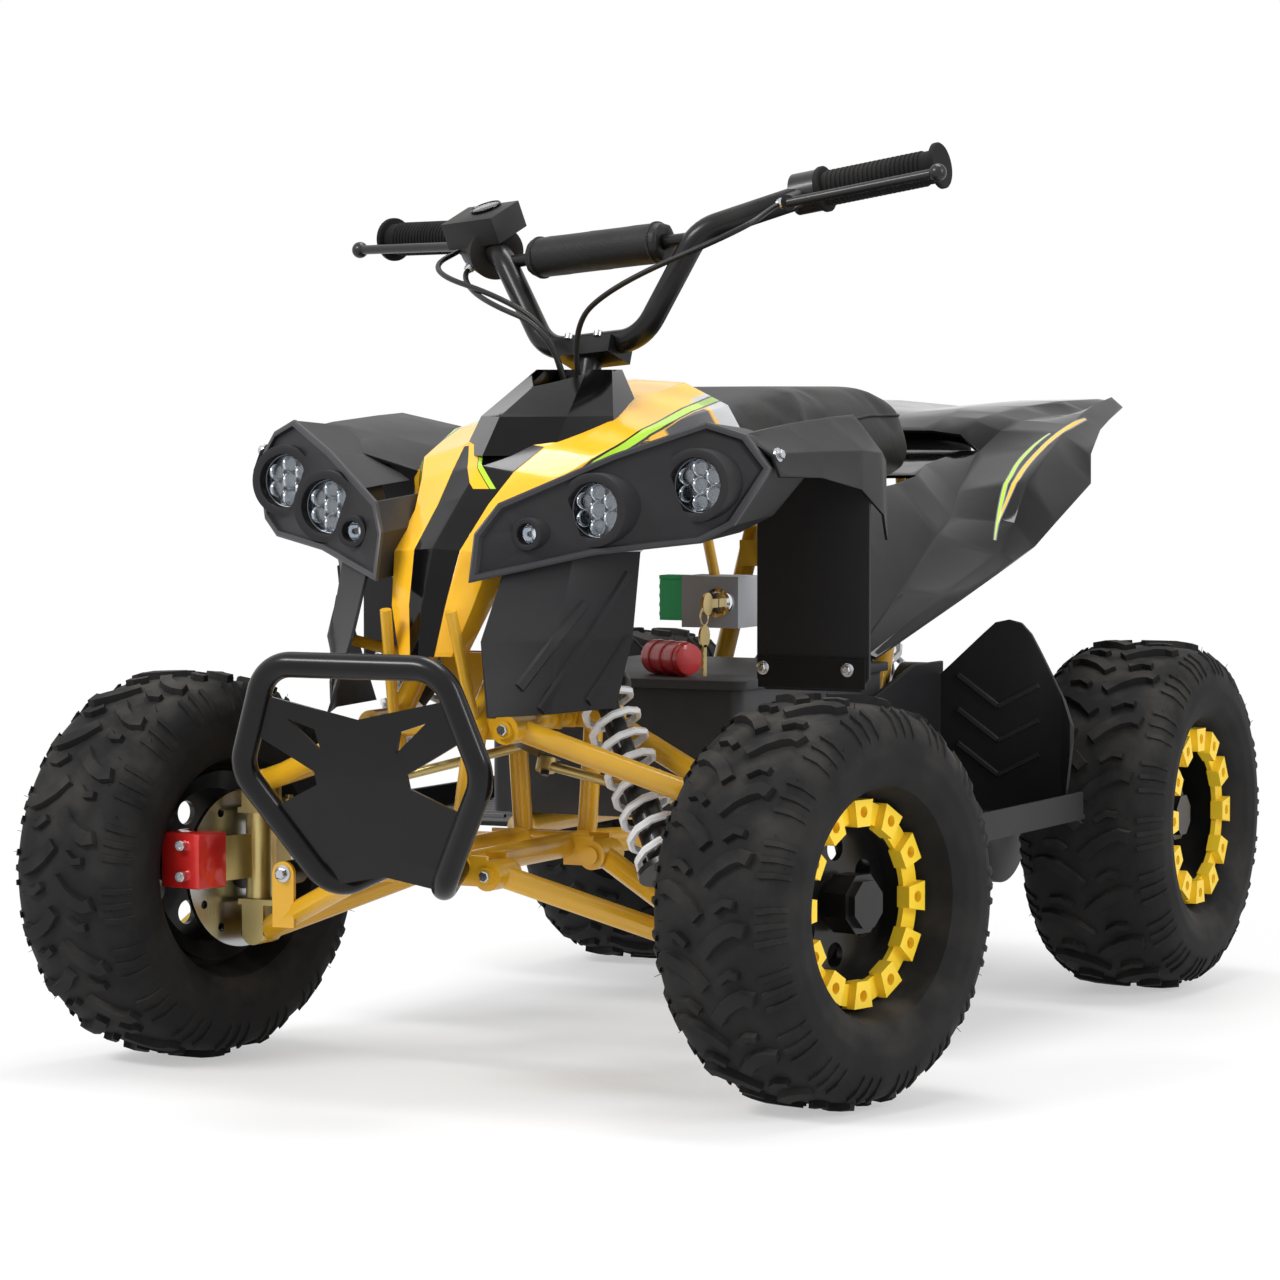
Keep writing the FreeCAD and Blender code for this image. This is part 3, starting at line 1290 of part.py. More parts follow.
def mask_shell():
    """The left lamp mask: a deep brow shell with a bezel round each lamp."""
    back = Y_AXIS * size.mask_depth
    front_line = mask_points(MASK_OUTLINE_SHARES, Vector(0, 0, 0), 0)
    back_line = mask_points(MASK_OUTLINE_SHARES, back, size.mask_taper)
    outer = loft([front_line, back_line])
    wall = size.panel_wall
    front_room = mask_points(MASK_OUTLINE_SHARES, Y_AXIS * wall, wall)
    back_room = mask_points(MASK_OUTLINE_SHARES, back + Y_AXIS * wall, size.mask_taper + wall)
    shell = outer.cut(loft([front_room, back_room]))
    tubes = []
    bores = []
    for spot, lamp, bezel in lamp_places():
        start = spot - Y_AXIS * size.bezel_reach
        end = spot + Y_AXIS * (size.bezel_reach + size.lamp_depth)
        tubes.append(rod(start, end, bezel))
        bores.append(rod(start - Y_AXIS * size.cut_over, end + Y_AXIS * size.cut_over, lamp + size.seat_gap))
    whole = shell.multiFuse([tube for tube in tubes])
    return largest(whole.cut(bores)), outer


def headlamps():
    """The lamps, each a domed lens on a short drum."""
    lamps = []
    for spot, lamp, bezel in lamp_places():
        drum = rod(spot, spot + Y_AXIS * size.lamp_depth, lamp)
        dome_radius = (lamp ** 2 + size.lamp_dome ** 2) / (2 * size.lamp_dome)
        centre = spot + Y_AXIS * (dome_radius - size.lamp_dome)
        dome = Part.makeSphere(dome_radius, centre).common(rod(spot - Y_AXIS * lamp, spot, lamp))
        lamps.append(drum.fuse(dome).removeSplitter())
    group = Part.makeCompound(lamps)
    piece("headlamps", Part.makeCompound([group, mirrored(group)]))


def fender_shell():
    """The left front fender, from the hood out over the wheel, with a turned-down lip."""
    width = size.fender_outer - size.fender_inner
    length = size.fender_back - size.fender_front
    height = size.fender_high - size.fender_low
    # back, then out and up of each corner from the hood to the lip
    shares = [
        (0.00, (0.00, -0.30), (0.50, 0.30), (0.80, 0.60), (0.96, 0.20), (1.00, -0.25)),
        (0.35, (0.00, 0.00), (0.50, 0.52), (0.82, 0.82), (0.98, 0.25), (1.00, -0.30)),
        (0.70, (0.05, 0.10), (0.50, 0.65), (0.83, 0.95), (1.00, 0.25), (1.00, -0.60)),
        (0.90, (0.10, 0.15), (0.50, 0.70), (0.84, 1.00), (0.99, 0.20), (1.00, -1.20)),
        (1.00, (0.12, 0.10), (0.50, 0.60), (0.80, 0.85), (0.95, 0.00), (0.96, -1.80)),
    ]
    stations = []
    for back, *corners in shares:
        y = size.fender_front + length * back
        stations.append([Vector(size.fender_inner + width * out, y, size.fender_low + height * up)
                         for out, up in corners])
    return skin(stations, size.panel_wall, Y_AXIS)


def mud_panel_shape():
    """The upright panel behind the left front wheel."""
    width = size.mud_outer - size.mud_inner
    height = size.fender_high - size.mud_low
    shares = [(0.00, 0.04), (0.08, 0.00), (0.93, 0.00), (1.00, 0.05), (1.00, 0.80), (0.70, 1.00), (0.00, 1.00)]
    points = [Vector(size.mud_inner + width * out, size.mud_back, size.mud_low + height * up) for out, up in shares]
    return Part.Face(polygon(points)).extrude(Y_AXIS * size.mud_wall)


def side_shroud_shape():
    """The folded panel beside the radiator opening, left."""
    width = size.side_outer - size.side_inner
    length = size.side_back - size.side_front
    height = size.side_high - size.side_low
    # up, then out and back of each corner
    shares = [
        (0.00, (0.16, 0.00), (0.48, 0.38), (0.64, 0.98)),
        (0.46, (0.00, 0.10), (0.54, 0.40), (0.86, 0.95)),
        (1.00, (0.05, 0.38), (0.56, 0.58), (1.00, 0.90)),
    ]
    stations = []
    for up, *corners in shares:
        z = size.side_low + height * up
        stations.append([Vector(size.side_inner + width * out, size.side_front + length * back, z)
                         for out, back in corners])
    return skin(stations, size.panel_wall, Z_AXIS)


def steering_shroud_shape():
    """The faceted cowl round the foot of the handlebar."""
    length = size.shroud_back - size.shroud_front
    half = size.shroud_half_width
    rise = shroud_high - size.shroud_low
    top = on_column(shroud_high)
    levels = (
        (0.00, ((0.00, 0.00), (0.62, 0.20), (1.00, 0.52), (0.86, 0.92), (0.00, 1.00))),
        (0.45, ((0.00, 0.14), (0.60, 0.34), (0.82, 0.60), (0.74, 0.90), (0.00, 0.98))),
        (1.00, ((0.00, 0.58), (0.36, 0.66), (0.48, 0.80), (0.40, 0.94), (0.00, 0.97))),
    )
    outlines = []
    rooms = []
    for up, corners in levels:
        z = size.shroud_low + rise * up
        left = [Vector(half * out, size.shroud_front + length * back, z) for out, back in corners]
        right = [Vector(-point.x, point.y, point.z) for point in left[-2:0:-1]]
        ring = left + right
        centre = Vector(0, top.y, z)
        outlines.append(ring)
        rooms.append([centre + (point - centre) * (1 - size.panel_wall / max((point - centre).Length, size.panel_wall * 2))
                      for point in ring])
    over = Z_AXIS * size.cut_over
    rooms[0] = [point - over for point in rooms[0]]
    rooms[-1] = [point + over for point in rooms[-1]]
    return loft(outlines).cut(loft(rooms))


# Back along the body, then out and up of its inner edge, the first crease, the ridge and the outer edge
TAIL_WING_SHARES = [
    (0.00, (0.424, 0.560), (0.712, 0.040), (0.754, 0.016), (0.784, 0.004)),
    (0.18, (0.424, 0.620), (0.678, 0.245), (0.869, 0.226), (0.941, 0.212)),
    (0.35, (0.436, 0.650), (0.640, 0.447), (0.915, 0.374), (0.983, 0.345)),
    (0.43, (0.445, 0.680), (0.612, 0.512), (0.898, 0.492), (0.992, 0.402)),
]
# The same behind the seat, with the middle first
TAIL_DECK_SHARES = [
    (0.43, (0.000, 0.670), (0.445, 0.680), (0.612, 0.512), (0.898, 0.492), (0.992, 0.402)),
    (0.51, (0.000, 0.720), (0.400, 0.720), (0.555, 0.610), (0.869, 0.654), (1.000, 0.496)),
    (0.664, (0.000, 0.770), (0.390, 0.770), (0.475, 0.768), (0.826, 0.797), (0.992, 0.642)),
]
# The pods over the slot: middle, top, ridge, side, outer ridge and outer edge
TAIL_POD_SHARES = [
    (0.664, (0.000, 0.856), (0.254, 0.856), (0.386, 0.840), (0.475, 0.768), (0.826, 0.797), (0.992, 0.642)),
    (0.722, (0.000, 0.900), (0.254, 0.912), (0.390, 0.900), (0.513, 0.854), (0.801, 0.841), (0.932, 0.760)),
    (0.776, (0.000, 0.926), (0.254, 0.943), (0.432, 0.924), (0.551, 0.894), (0.784, 0.878), (0.894, 0.805)),
    (0.842, (0.000, 0.936), (0.263, 0.956), (0.483, 0.952), (0.627, 0.912), (0.763, 0.923), (0.847, 0.858)),
    (0.912, (0.000, 0.944), (0.280, 0.968), (0.593, 0.976), (0.708, 0.930), (0.750, 0.959), (0.818, 0.902)),
    (1.000, (0.000, 0.952), (0.297, 0.976), (0.678, 0.984), (0.729, 0.976), (0.742, 0.988), (0.788, 0.951)),
]
TAIL_SLOT_SHARES = [(0.000, 0.760), (0.400, 0.760), (0.400, 0.855), (0.254, 0.885), (0.000, 0.878)]


def tail_line(back, corners):
    """A line across the left half of the rear body."""
    length = size.tail_back - size.tail_front
    height = size.tail_high - size.tail_low
    return [Vector(size.tail_half_width * out, size.tail_front + length * back, size.tail_low + height * up)
            for out, up in corners]


def rear_body_shape():
    """The rear fenders and the tail with its two slotted pods, moulded in one."""
    wall = size.panel_wall
    wing = skin([tail_line(back, corners) for back, *corners in TAIL_WING_SHARES], wall, Y_AXIS)
    deck = skin([whole_line(tail_line(back, corners)) for back, *corners in TAIL_DECK_SHARES], wall, -Y_AXIS)
    pods = skin([whole_line(tail_line(back, corners)) for back, *corners in TAIL_POD_SHARES], wall, -Y_AXIS)
    slot_back = TAIL_DECK_SHARES[-1][0]
    shelf_line = tail_line(slot_back, TAIL_DECK_SHARES[-1][1:4])
    depth = Y_AXIS * size.tail_slot_depth
    shelf = skin([whole_line(shelf_line), whole_line([point + depth for point in shelf_line])], wall, -Y_AXIS)
    slot_line = [point + depth for point in tail_line(slot_back, TAIL_SLOT_SHARES)]
    right = [Vector(-point.x, point.y, point.z) for point in slot_line[::-1] if point.x > 0]
    slot_wall = Part.Face(polygon(slot_line + right)).extrude(-Y_AXIS * wall)
    return fused([wing, mirrored(wing), deck, pods, shelf, slot_wall])


# Back along the seat, then its width, its underside and its top
SEAT_SHARES = [
    (0.00, 0.42, 0.42, 0.66), (0.12, 0.62, 0.30, 0.76), (0.27, 0.78, 0.18, 0.87), (0.44, 0.90, 0.08, 0.98),
    (0.88, 0.98, 0.10, 0.98), (0.95, 1.00, 0.12, 0.92), (1.00, 0.97, 0.24, 0.56),
]
SEAT_CORNER_SHARES = [(0.62, 0.00), (0.97, 0.20), (1.00, 0.52), (0.94, 0.86), (0.80, 0.97), (0.50, 1.00)]


def tail_lamp_shape():
    """The lamp under the end of the tail, up to the deck."""
    half = size.tail_lamp_width / 2
    back = size.tail_back - size.seat_gap
    return block(Vector(-half, back - size.tail_lamp_depth, size.tail_high - size.tail_lamp_height - half / 2),
                 Vector(half, back, size.tail_high))


def seat_shape():
    """The saddle: narrow under the hood, broad and flat behind, its rear end rolled down."""
    length = size.seat_back - size.seat_front
    height = size.seat_high - size.seat_low
    outlines = []
    for back, wide, low, high in SEAT_SHARES:
        y = size.seat_front + length * back
        bottom = size.seat_low + height * low
        top = size.seat_low + height * high
        left = [Vector(size.seat_half_width * wide * out, y, bottom + (top - bottom) * up)
                for out, up in SEAT_CORNER_SHARES]
        right = [Vector(-point.x, point.y, point.z) for point in left[::-1]]
        outlines.append(left + right)
    return loft(outlines)


# The heel guard seen from above and from the front
FOOTREST_PLAN_SHARES = [(0.00, 0.00), (0.45, 0.00), (0.72, 0.01), (0.90, 0.03), (1.00, 0.08)]
FOOTREST_HEEL_SHARES = [
    (0.00, 0.00), (0.90, 0.00), (1.01, 0.46), (0.66, 0.93), (0.59, 0.985), (0.50, 1.00), (0.41, 0.985), (0.33, 0.93),
    (0.00, 0.69),
]


def footrest_shape():
    """The left footwell: a floor with a lip, an inner wall and a heel guard."""
    wall = size.footrest_wall
    inner = size.footrest_inner
    outer = size.footrest_outer
    floor = size.footrest_height
    rise = size.footrest_top - floor
    width = outer - inner
    length = footrest_back - size.footrest_front
    base = block(Vector(inner, size.footrest_front, floor - wall), Vector(outer, footrest_back, floor))
    heel_line = [Vector(inner + width * out, footrest_back - wall - length * forward, floor - wall)
                 for out, forward in FOOTREST_PLAN_SHARES]
    heel_inner = inset_line(heel_line, wall, Z_AXIS)
    heel = Part.Face(polygon(heel_line + heel_inner[::-1])).extrude(Z_AXIS * (2 * rise))
    heel_outline = [Vector(inner + width * out, size.footrest_front, floor - wall + (rise + wall) * up)
                    for out, up in FOOTREST_HEEL_SHARES]
    heel = heel.common(Part.Face(polygon(heel_outline)).extrude(Y_AXIS * (2 * length)))
    wall_shares = [(0.00, 0.00), (1.00, 0.00), (1.00, 0.80), (0.78, 0.80), (0.36, 0.62), (0.00, 0.20)]
    side_wall = Part.Face(polygon([Vector(inner, size.footrest_front + length * back, floor - wall + rise * up)
                                   for back, up in wall_shares])).extrude(X_AXIS * wall)
    lip = block(Vector(outer - wall, size.footrest_front, floor - wall),
                Vector(outer, footrest_back - wall, floor + size.footrest_lip))
    return fused([base, heel, side_wall, lip])


def box_body(label, left, right, front, back, low, high, corner):
    """A moulded box with rounded upright edges."""
    body = new_body(label)
    sketch = outline(body, "XY_Plane", "plan", [(right, front), (left, front), (left, back), (right, back)])
    raised = pad(body, sketch, "walls", f"({high}) - ({low})", low)
    doc.recompute()
    rounds = body.newObject("PartDesign::Fillet", "rounds")
    upright = []
    for index, edge in enumerate(raised.Shape.Edges, start=1):
        if abs(edge.tangentAt(edge.FirstParameter).z) > 0.9:
            upright.append(f"Edge{index}")
    rounds.Base = (raised, upright)
    rounds.setExpression("Radius", corner)
    return body


def battery_box():
    """The battery box on the lower rails, with its lid."""
    half = "Sizes.battery_half_width"
    low = "Sizes.rail_height + Sizes.rail_radius + Sizes.seat_gap"
    tub = box_body("battery_box", half, f"-{half}", "Sizes.battery_front", "Sizes.battery_back", low,
                   "Sizes.battery_high - Sizes.battery_lid_wall", "Sizes.battery_corner_radius")
    keep("battery_box", tub)
    lip = "Sizes.battery_lid_lip"
    lid = box_body("battery_lid", f"{half} + {lip}", f"-{half} - {lip}", f"Sizes.battery_front - {lip}",
                   f"Sizes.battery_back + {lip}", "Sizes.battery_high - Sizes.battery_lid_wall",
                   "Sizes.battery_high", "Sizes.battery_corner_radius")
    keep("battery_lid", lid)


def switch_box_shape():
    """The key switch housing under the hood."""
    half = size.switch_width / 2
    body = block(Vector(size.switch_out - half, size.switch_back, size.switch_low),
                 Vector(size.switch_out + half, size.switch_back + size.switch_depth, size.switch_low + size.switch_height))
    lock = Vector(size.switch_out + half / 2, size.switch_back, size.switch_low + size.switch_height / 2)
    barrel = rod(lock - Y_AXIS * size.key_reach, lock, size.key_radius)
    return fused([body, barrel])


def wire_bundle():
    """The taped plug bundle that lies on the battery lid."""
    height = size.battery_high + size.bundle_radius + size.seat_gap
    middle = Vector(size.bundle_out, size.bundle_back, height)
    piece("wire_bundle", rod_about(middle, Vector(1, -0.6, 0), size.bundle_length / 2, size.bundle_radius))


def bumper_shape():
    """The front hoop with its stays and the cross-shaped skid plate."""
    foot = Vector(size.bumper_foot_out, size.bumper_foot_back, size.bumper_foot_height)
    waist = Vector(size.bumper_waist_out, size.bumper_waist_back, size.bumper_waist_height)
    shoulder = Vector(size.bumper_shoulder_out, size.bumper_shoulder_back, size.bumper_shoulder_height)

    def other(point):
        return Vector(-point.x, point.y, point.z)

    rail_front = Vector(size.rail_front_out, size.rail_front_back, size.rail_height)
    left = [rail_front, foot, waist, shoulder]
    route = left + [other(point) for point in left[::-1]]
    hoop = bent_tube(route, size.bumper_radius, size.bumper_bend_radius)
    plates = [bumper_panel(foot, waist, BUMPER_LOW_SHARES), bumper_panel(waist, shoulder, BUMPER_HIGH_SHARES)]
    lip_end = foot + Vector(0, size.bumper_lip_back, -size.bumper_lip_drop)
    plates[0] = plates[0].fuse(bumper_lip(foot, waist, lip_end - foot))
    hole = bumper_panel(waist, shoulder, BUMPER_HOLE_SHARES, True)
    plates[1] = plates[1].cut([hole, mirrored(hole)])
    return fused([hoop] + plates)


# Out as a share of the hoop's half width at the waist, then up between the two bends
BUMPER_LOW_SHARES = [(0.00, 1.00), (0.38, 1.00), (0.38, 0.89), (0.83, 0.66), (0.565, 0.21), (0.00, 0.33)]
BUMPER_HIGH_SHARES = [(0.00, 0.00), (0.38, 0.00), (0.89, 0.36), (0.80, 0.72), (0.00, 0.50)]
BUMPER_HOLE_SHARES = [(0.57, 0.49), (0.35, 0.40), (0.31, 0.20)]
BUMPER_LIP_SHARES = [(0.565, 0.21), (0.00, 0.33)]


def bumper_spot(start, end, shares, side=1):
    """A point of the skid plate between two bends of the hoop."""
    out, up = shares
    return Vector(side * size.bumper_waist_out * out, start.y + (end.y - start.y) * up, start.z + (end.z - start.z) * up)


def bumper_panel(start, end, shares, one_side=False):
    """A flat part of the skid plate, or a hole in its left half."""
    left = [bumper_spot(start, end, share) for share in shares]
    right = [bumper_spot(start, end, share, -1) for share in shares[::-1] if share[0] > 0]
    wall = size.bumper_plate_wall
    if one_side:
        face = Part.Face(polygon(left))
        face.translate(-Y_AXIS * wall)
        return face.extrude(Y_AXIS * (2 * wall))
    face = Part.Face(polygon(left + right))
    face.translate(-Y_AXIS * (wall / 2))
    return face.extrude(Y_AXIS * wall)


def bumper_lip(start, end, way):
    """The folded lower edge of the skid plate, with an arch in its middle."""
    corner, middle = [bumper_spot(start, end, share) for share in BUMPER_LIP_SHARES]
    tip = corner + (middle - corner) * size.bumper_lip_taper_share + way
    line = [corner, middle, middle + way, tip]
    faces = []
    for points in (line, [Vector(-point.x, point.y, point.z) for point in line]):
        face = Part.Face(polygon(points))
        face.translate(-Y_AXIS * (size.bumper_plate_wall / 2))
        faces.append(face.extrude(Y_AXIS * size.bumper_plate_wall))
    return faces[0].fuse(faces[1])


def tab_pair(centre, half_length, radius, anchor):
    """Two plates either side of a pivot sleeve, reaching in to the frame, with bolt ends."""
    parts = []
    start = half_length + size.seat_gap
    wall = size.pivot_tab_wall
    for way in (1, -1):
        near = centre.y + way * start
        far = near + way * wall
        low_y, high_y = sorted((near, far))
        parts.append(Part.makeCylinder(radius, wall, Vector(centre.x, low_y, centre.z), Y_AXIS))
        low_x, high_x = sorted((anchor.x, centre.x))
        low_z = min(anchor.z, centre.z) - radius * 0.7
        high_z = max(anchor.z, centre.z) + radius * 0.7
        parts.append(block(Vector(low_x, low_y, low_z), Vector(high_x, high_y, high_z)))
        parts.append(rod(Vector(centre.x, far, centre.z), Vector(centre.x, far + way * wall, centre.z), radius * 0.6))
    return parts


def bracket_top(eye):
    """The bridge that joins the two plates over a damper's eye."""
    half = size.damper_eye_radius
    reach = size.damper_eye_half_length + size.seat_gap + size.pivot_tab_wall
    base = eye.z + size.damper_eye_radius + size.seat_gap
    return block(Vector(eye.x - half, eye.y - reach, base), Vector(eye.x + half, eye.y + reach, base + size.pivot_tab_wall))


def frame_shape(panels):
    """The welded tube frame, with the stays that end on the panels' inner faces."""
    height = size.rail_height
    radius = size.rail_radius
    cross = size.cross_radius
    parts = []
    front = Vector(size.rail_front_out, size.rail_front_back, height)
    neck = Vector(size.rail_front_out, size.rail_neck_back, height)
    shoulder = Vector(size.rail_mid_out, size.rail_mid_back, height)
    rear = Vector(size.rail_mid_out, size.rail_rear_back, height)
    strut_top = Vector(size.strut_top_out, size.strut_top_back, size.strut_top_height)
    upright_top = Vector(size.upright_top_out, size.upright_top_back, size.upright_top_height)
    upper_front = Vector(size.upper_rail_out, size.upper_rail_front_back, size.upper_pivot_height)
    upper_rear = Vector(size.upper_rail_out, size.rail_neck_back, size.upper_pivot_height)
    middle_top = Vector((upright_top.x + strut_top.x) / 2, size.top_rail_back, size.top_rail_height)
    tower = Vector(size.damper_top_out, size.damper_top_back, size.damper_top_height)
    damper_rear = Vector(size.rear_damper_out, size.rear_damper_top_back, size.rear_damper_top_height)
    for side in SIDES.values():
        def at(point):
            return Vector(point.x * side, point.y, point.z)
        parts.append(bent_tube([at(front), at(neck), at(shoulder), at(rear)], radius, size.rail_bend_radius))
        parts.append(rod(at(rear), at(strut_top), size.strut_radius))
        parts.append(rod(at(front), at(upper_front), size.strut_radius))
        parts.append(rod(at(upper_front), at(upright_top), size.strut_radius))
        parts.append(bent_tube([at(upright_top), at(middle_top), at(strut_top)], size.strut_radius,
                               size.rail_bend_radius))
        parts.append(rod(at(upper_front), at(upper_rear), cross))
        parts.append(rod(at(neck), at(upper_rear), cross))
        for spot, spot_radius in ((at(front), radius), (at(rear), radius), (at(strut_top), size.strut_radius),
                                  (at(upright_top), size.strut_radius), (at(upper_front), size.strut_radius),
                                  (at(upper_rear), cross)):
            parts.append(weld(spot, spot_radius))
        for pivot_y in (size.lower_pivot_front, size.lower_pivot_rear):
            centre = Vector(side * size.lower_pivot_out, pivot_y, size.lower_pivot_height)
            parts += tab_pair(centre, size.arm_pivot_half_length, size.arm_pivot_radius,
                              Vector(side * size.rail_front_out, pivot_y, height))
        for pivot_y in (size.upper_pivot_front, size.upper_pivot_rear):
            centre = Vector(side * size.upper_pivot_out, pivot_y, size.upper_pivot_height)
            parts += tab_pair(centre, size.arm_pivot_half_length, size.arm_pivot_radius,
                              Vector(side * size.upper_rail_out, pivot_y, size.upper_pivot_height))
        parts += tab_pair(at(damper_rear), size.damper_eye_half_length, size.damper_eye_radius,
                          Vector(side * strut_top.x, damper_rear.y, damper_rear.z + size.damper_eye_radius))
        parts.append(bracket_top(at(damper_rear)))
        mount = Vector(side * (size.motor_length / 2 - size.cut_over), size.motor_back - size.motor_radius / 2,
                       size.motor_height - size.motor_radius / 2)
        share = (mount.z - rear.z) / (strut_top.z - rear.z)
        on_strut = rear + (strut_top - rear) * share
        parts.append(rod(mount, at(on_strut), cross))
        stay = size.stay_radius
        parts.append(rod(at(upright_top), at(upright_top) + Z_AXIS * (size.hood_high - upright_top.z), stay))
        parts.append(rod(at(upper_front), Vector(side * front.x, size.nose_front, size.nose_low + size.stay_rise), stay))
        mask_spot = Vector(side * (size.mask_inner + size.mask_outer) / 2, size.mask_front, size.mask_low + size.stay_rise)
        parts.append(rod(at(upper_front) + (at(upright_top) - at(upper_front)) * 0.5, mask_spot, stay))
        side_spot = Vector(side * size.side_outer, (size.side_front + size.side_back) / 2,
                           (size.side_low + size.side_high) / 2)
        parts.append(rod(at(upper_front) + (at(upright_top) - at(upper_front)) * 0.25, side_spot, stay))
        mud_spot = Vector(side * (size.mud_inner + size.mud_outer) / 2, size.mud_back, size.fender_low - size.stay_rise / 2)
        parts.append(rod(at(middle_top), mud_spot, stay))
        parts.append(rod(at(strut_top), at(strut_top) + Vector(0, size.stay_rise, size.tail_high - strut_top.z), stay))
        parts.append(rod(at(strut_top), at(strut_top) + Z_AXIS * (size.seat_high - strut_top.z - size.stay_rise / 2) - Y_AXIS * size.stay_rise / 2, stay))
        for share in (0.30, 0.74):
            y = size.footrest_front + (footrest_back - size.footrest_front) * share
            parts.append(rod(Vector(side * shoulder.x, y, height), Vector(side * (size.footrest_inner + size.footrest_wall * 2), y, height),
                             size.footrest_stay_radius))
    right_rear = Vector(-rear.x, rear.y, rear.z)
    for start in (front, neck, upper_front, upright_top, rear, strut_top,
                  Vector(shoulder.x, (shoulder.y + rear.y) / 2, height)):
        parts.append(rod(start, Vector(-start.x, start.y, start.z), cross))
    half = tower.x + size.damper_eye_radius
    parts += tower_plates(tower, half)
    share = (size.switch_stay_back - upright_top.y) / (middle_top.y - upright_top.y)
    stay_top = upright_top + (middle_top - upright_top) * share
    stay_foot = Vector(size.switch_out, stay_top.y, size.switch_low + size.switch_height / 2)
    parts.append(rod(stay_top, stay_foot, size.stay_radius))
    for level in (size.column_low + size.bearing_rise, size.upright_top_height - size.bearing_length / 2):
        middle = on_column(level)
        parts.append(rod_about(middle, column_axis, size.bearing_length / 2, size.bearing_radius))
    low_bearing = on_column(size.column_low + size.bearing_rise)
    high_bearing = on_column(size.upright_top_height - size.bearing_length / 2)
    parts.append(rod(high_bearing, Vector(0, upright_top.y, upright_top.z), cross))
    for side in SIDES.values():
        parts.append(rod(low_bearing, Vector(side * size.upper_rail_out, low_bearing.y, size.upper_pivot_height), cross))
    whole = parts[0].multiFuse(parts[1:])
    room = rod(on_column(size.column_low) - column_axis * size.cut_over, on_column(size.bar_knee_height),
               size.column_radius + size.run_gap)
    swing = rod_about(Vector(0, size.swing_pivot_back, size.swing_pivot_height), X_AXIS,
                      size.swing_sleeve_half_length + size.seat_gap, size.swing_sleeve_radius + size.seat_gap)
    return largest(whole.cut([room, swing] + panels))


TOWER_PLATE_SHARES = [(0.57, 0.00), (0.64, 0.38), (0.99, 0.74), (1.00, 1.00)]


def tower_plates(tower, half):
    """The two plates that hold the tops of the front dampers."""
    parts = []
    start = size.damper_eye_half_length + size.seat_gap
    wall = size.pivot_tab_wall
    for way in (1, -1):
        low_y, high_y = sorted((tower.y + way * start, tower.y + way * (start + wall)))
        low = size.upper_pivot_height - size.cross_radius
        rise = tower.z + size.damper_eye_radius - low
        left = [Vector(half * out, low_y, low + rise * up) for out, up in TOWER_PLATE_SHARES]
        right = [Vector(-point.x, point.y, point.z) for point in left[::-1]]
        parts.append(Part.Face(polygon(left + right)).extrude(Vector(0, high_y - low_y, 0)))
    return parts


def bodywork():
    """Panels first, then what they stand on, each trimmed to its neighbours."""
    stations = spine_stations()
    nose_end = 6
    stripe = spine_panel(stations[:nose_end], 1, 4)
    hood = spine_panel(stations[nose_end - 1:], 0, 4)
    hood = fused([stripe, mirrored(stripe), hood])
    beak = spine_panel(stations[:nose_end], 0, 2)
    core = hood_core(stations)
    room = column_room(size.shroud_hole_radius)
    mask, mask_block = mask_shell()
    masks = both_sides(trimmed(mask, [core]))
    hood = largest(hood.cut(room))
    beak = trimmed(beak, [hood, room])
    shroud = trimmed(steering_shroud_shape(), [core])
    fender = trimmed(fender_shell(), [core, mask_block])
    mud = trimmed(mud_panel_shape(), [fender, under_fender_room()])
    side_shroud = trimmed(side_shroud_shape(), [core, mask_block])
    seat = seat_shape()
    rear_body = largest(rear_body_shape().cut([seat]))
    tail_lamp = trimmed(tail_lamp_shape(), [rear_body])
    footrest = footrest_shape()
    switch = switch_box_shape()
    fenders = both_sides(fender)
    muds = both_sides(mud)
    side_shrouds = both_sides(side_shroud)
    footrests = both_sides(footrest)
    piece("hood", hood)
    piece("nose_beak", beak)
    piece("steering_shroud", shroud)
    piece("headlamp_masks", masks)
    headlamps()
    piece("front_fenders", fenders)
    piece("mud_panels", muds)
    piece("side_shrouds", side_shrouds)
    piece("seat", seat)
    piece("rear_body", rear_body)
    piece("tail_lamp", tail_lamp)
    piece("footrests", footrests)
    piece("switch_box", switch)
    panels = [hood, beak, masks, fenders, muds, side_shrouds, seat, rear_body, footrests, switch, motor_shape()]
    frame = frame_shape(panels)
    piece("frame", frame)
    piece("front_bumper", trimmed(bumper_shape(), [frame]))


def under_fender_room():
    """What lies above the fender, which the mud panel is cut off at."""
    width = size.fender_outer - size.fender_inner
    low = Vector(size.fender_inner - width, size.fender_front, size.fender_high - size.panel_wall)
    high = Vector(size.fender_outer + width, size.fender_back + width, size.fender_high + width)
    return block(low, high)


for build in (front_wheels, rear_wheels, knuckles, calipers, carriers, arms, dampers,
              steering_column, handlebar, grips, brake_levers, throttle, control_cables, tie_rods,
              rear_axle_parts, swingarm, drive_motor, chain_case, rear_caliper, battery_box, wire_bundle,
              bodywork):
    build()

doc.recompute()
os.makedirs("parts", exist_ok=True)
for subpart in subparts:
    for item in [subpart] + list(getattr(subpart, "Group", [])):
        if "Invalid" in item.State or "Error" in item.State:
            raise RuntimeError(f"{subpart.Label}: {item.Label} failed")
    shape = subpart.Shape
    if shape.isNull() or not shape.isValid():
        raise RuntimeError(f"{subpart.Label}: its shape is not valid")
    shape.exportStep(os.path.join("parts", subpart.Label + ".step"))
print(len(subparts), "sub-parts written")
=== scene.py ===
"""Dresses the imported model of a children's electric quad bike in Blender."""
import json
import math
import random
import bmesh
import bpy
from mathutils import Matrix, Vector
from mathutils.bvhtree import BVHTree


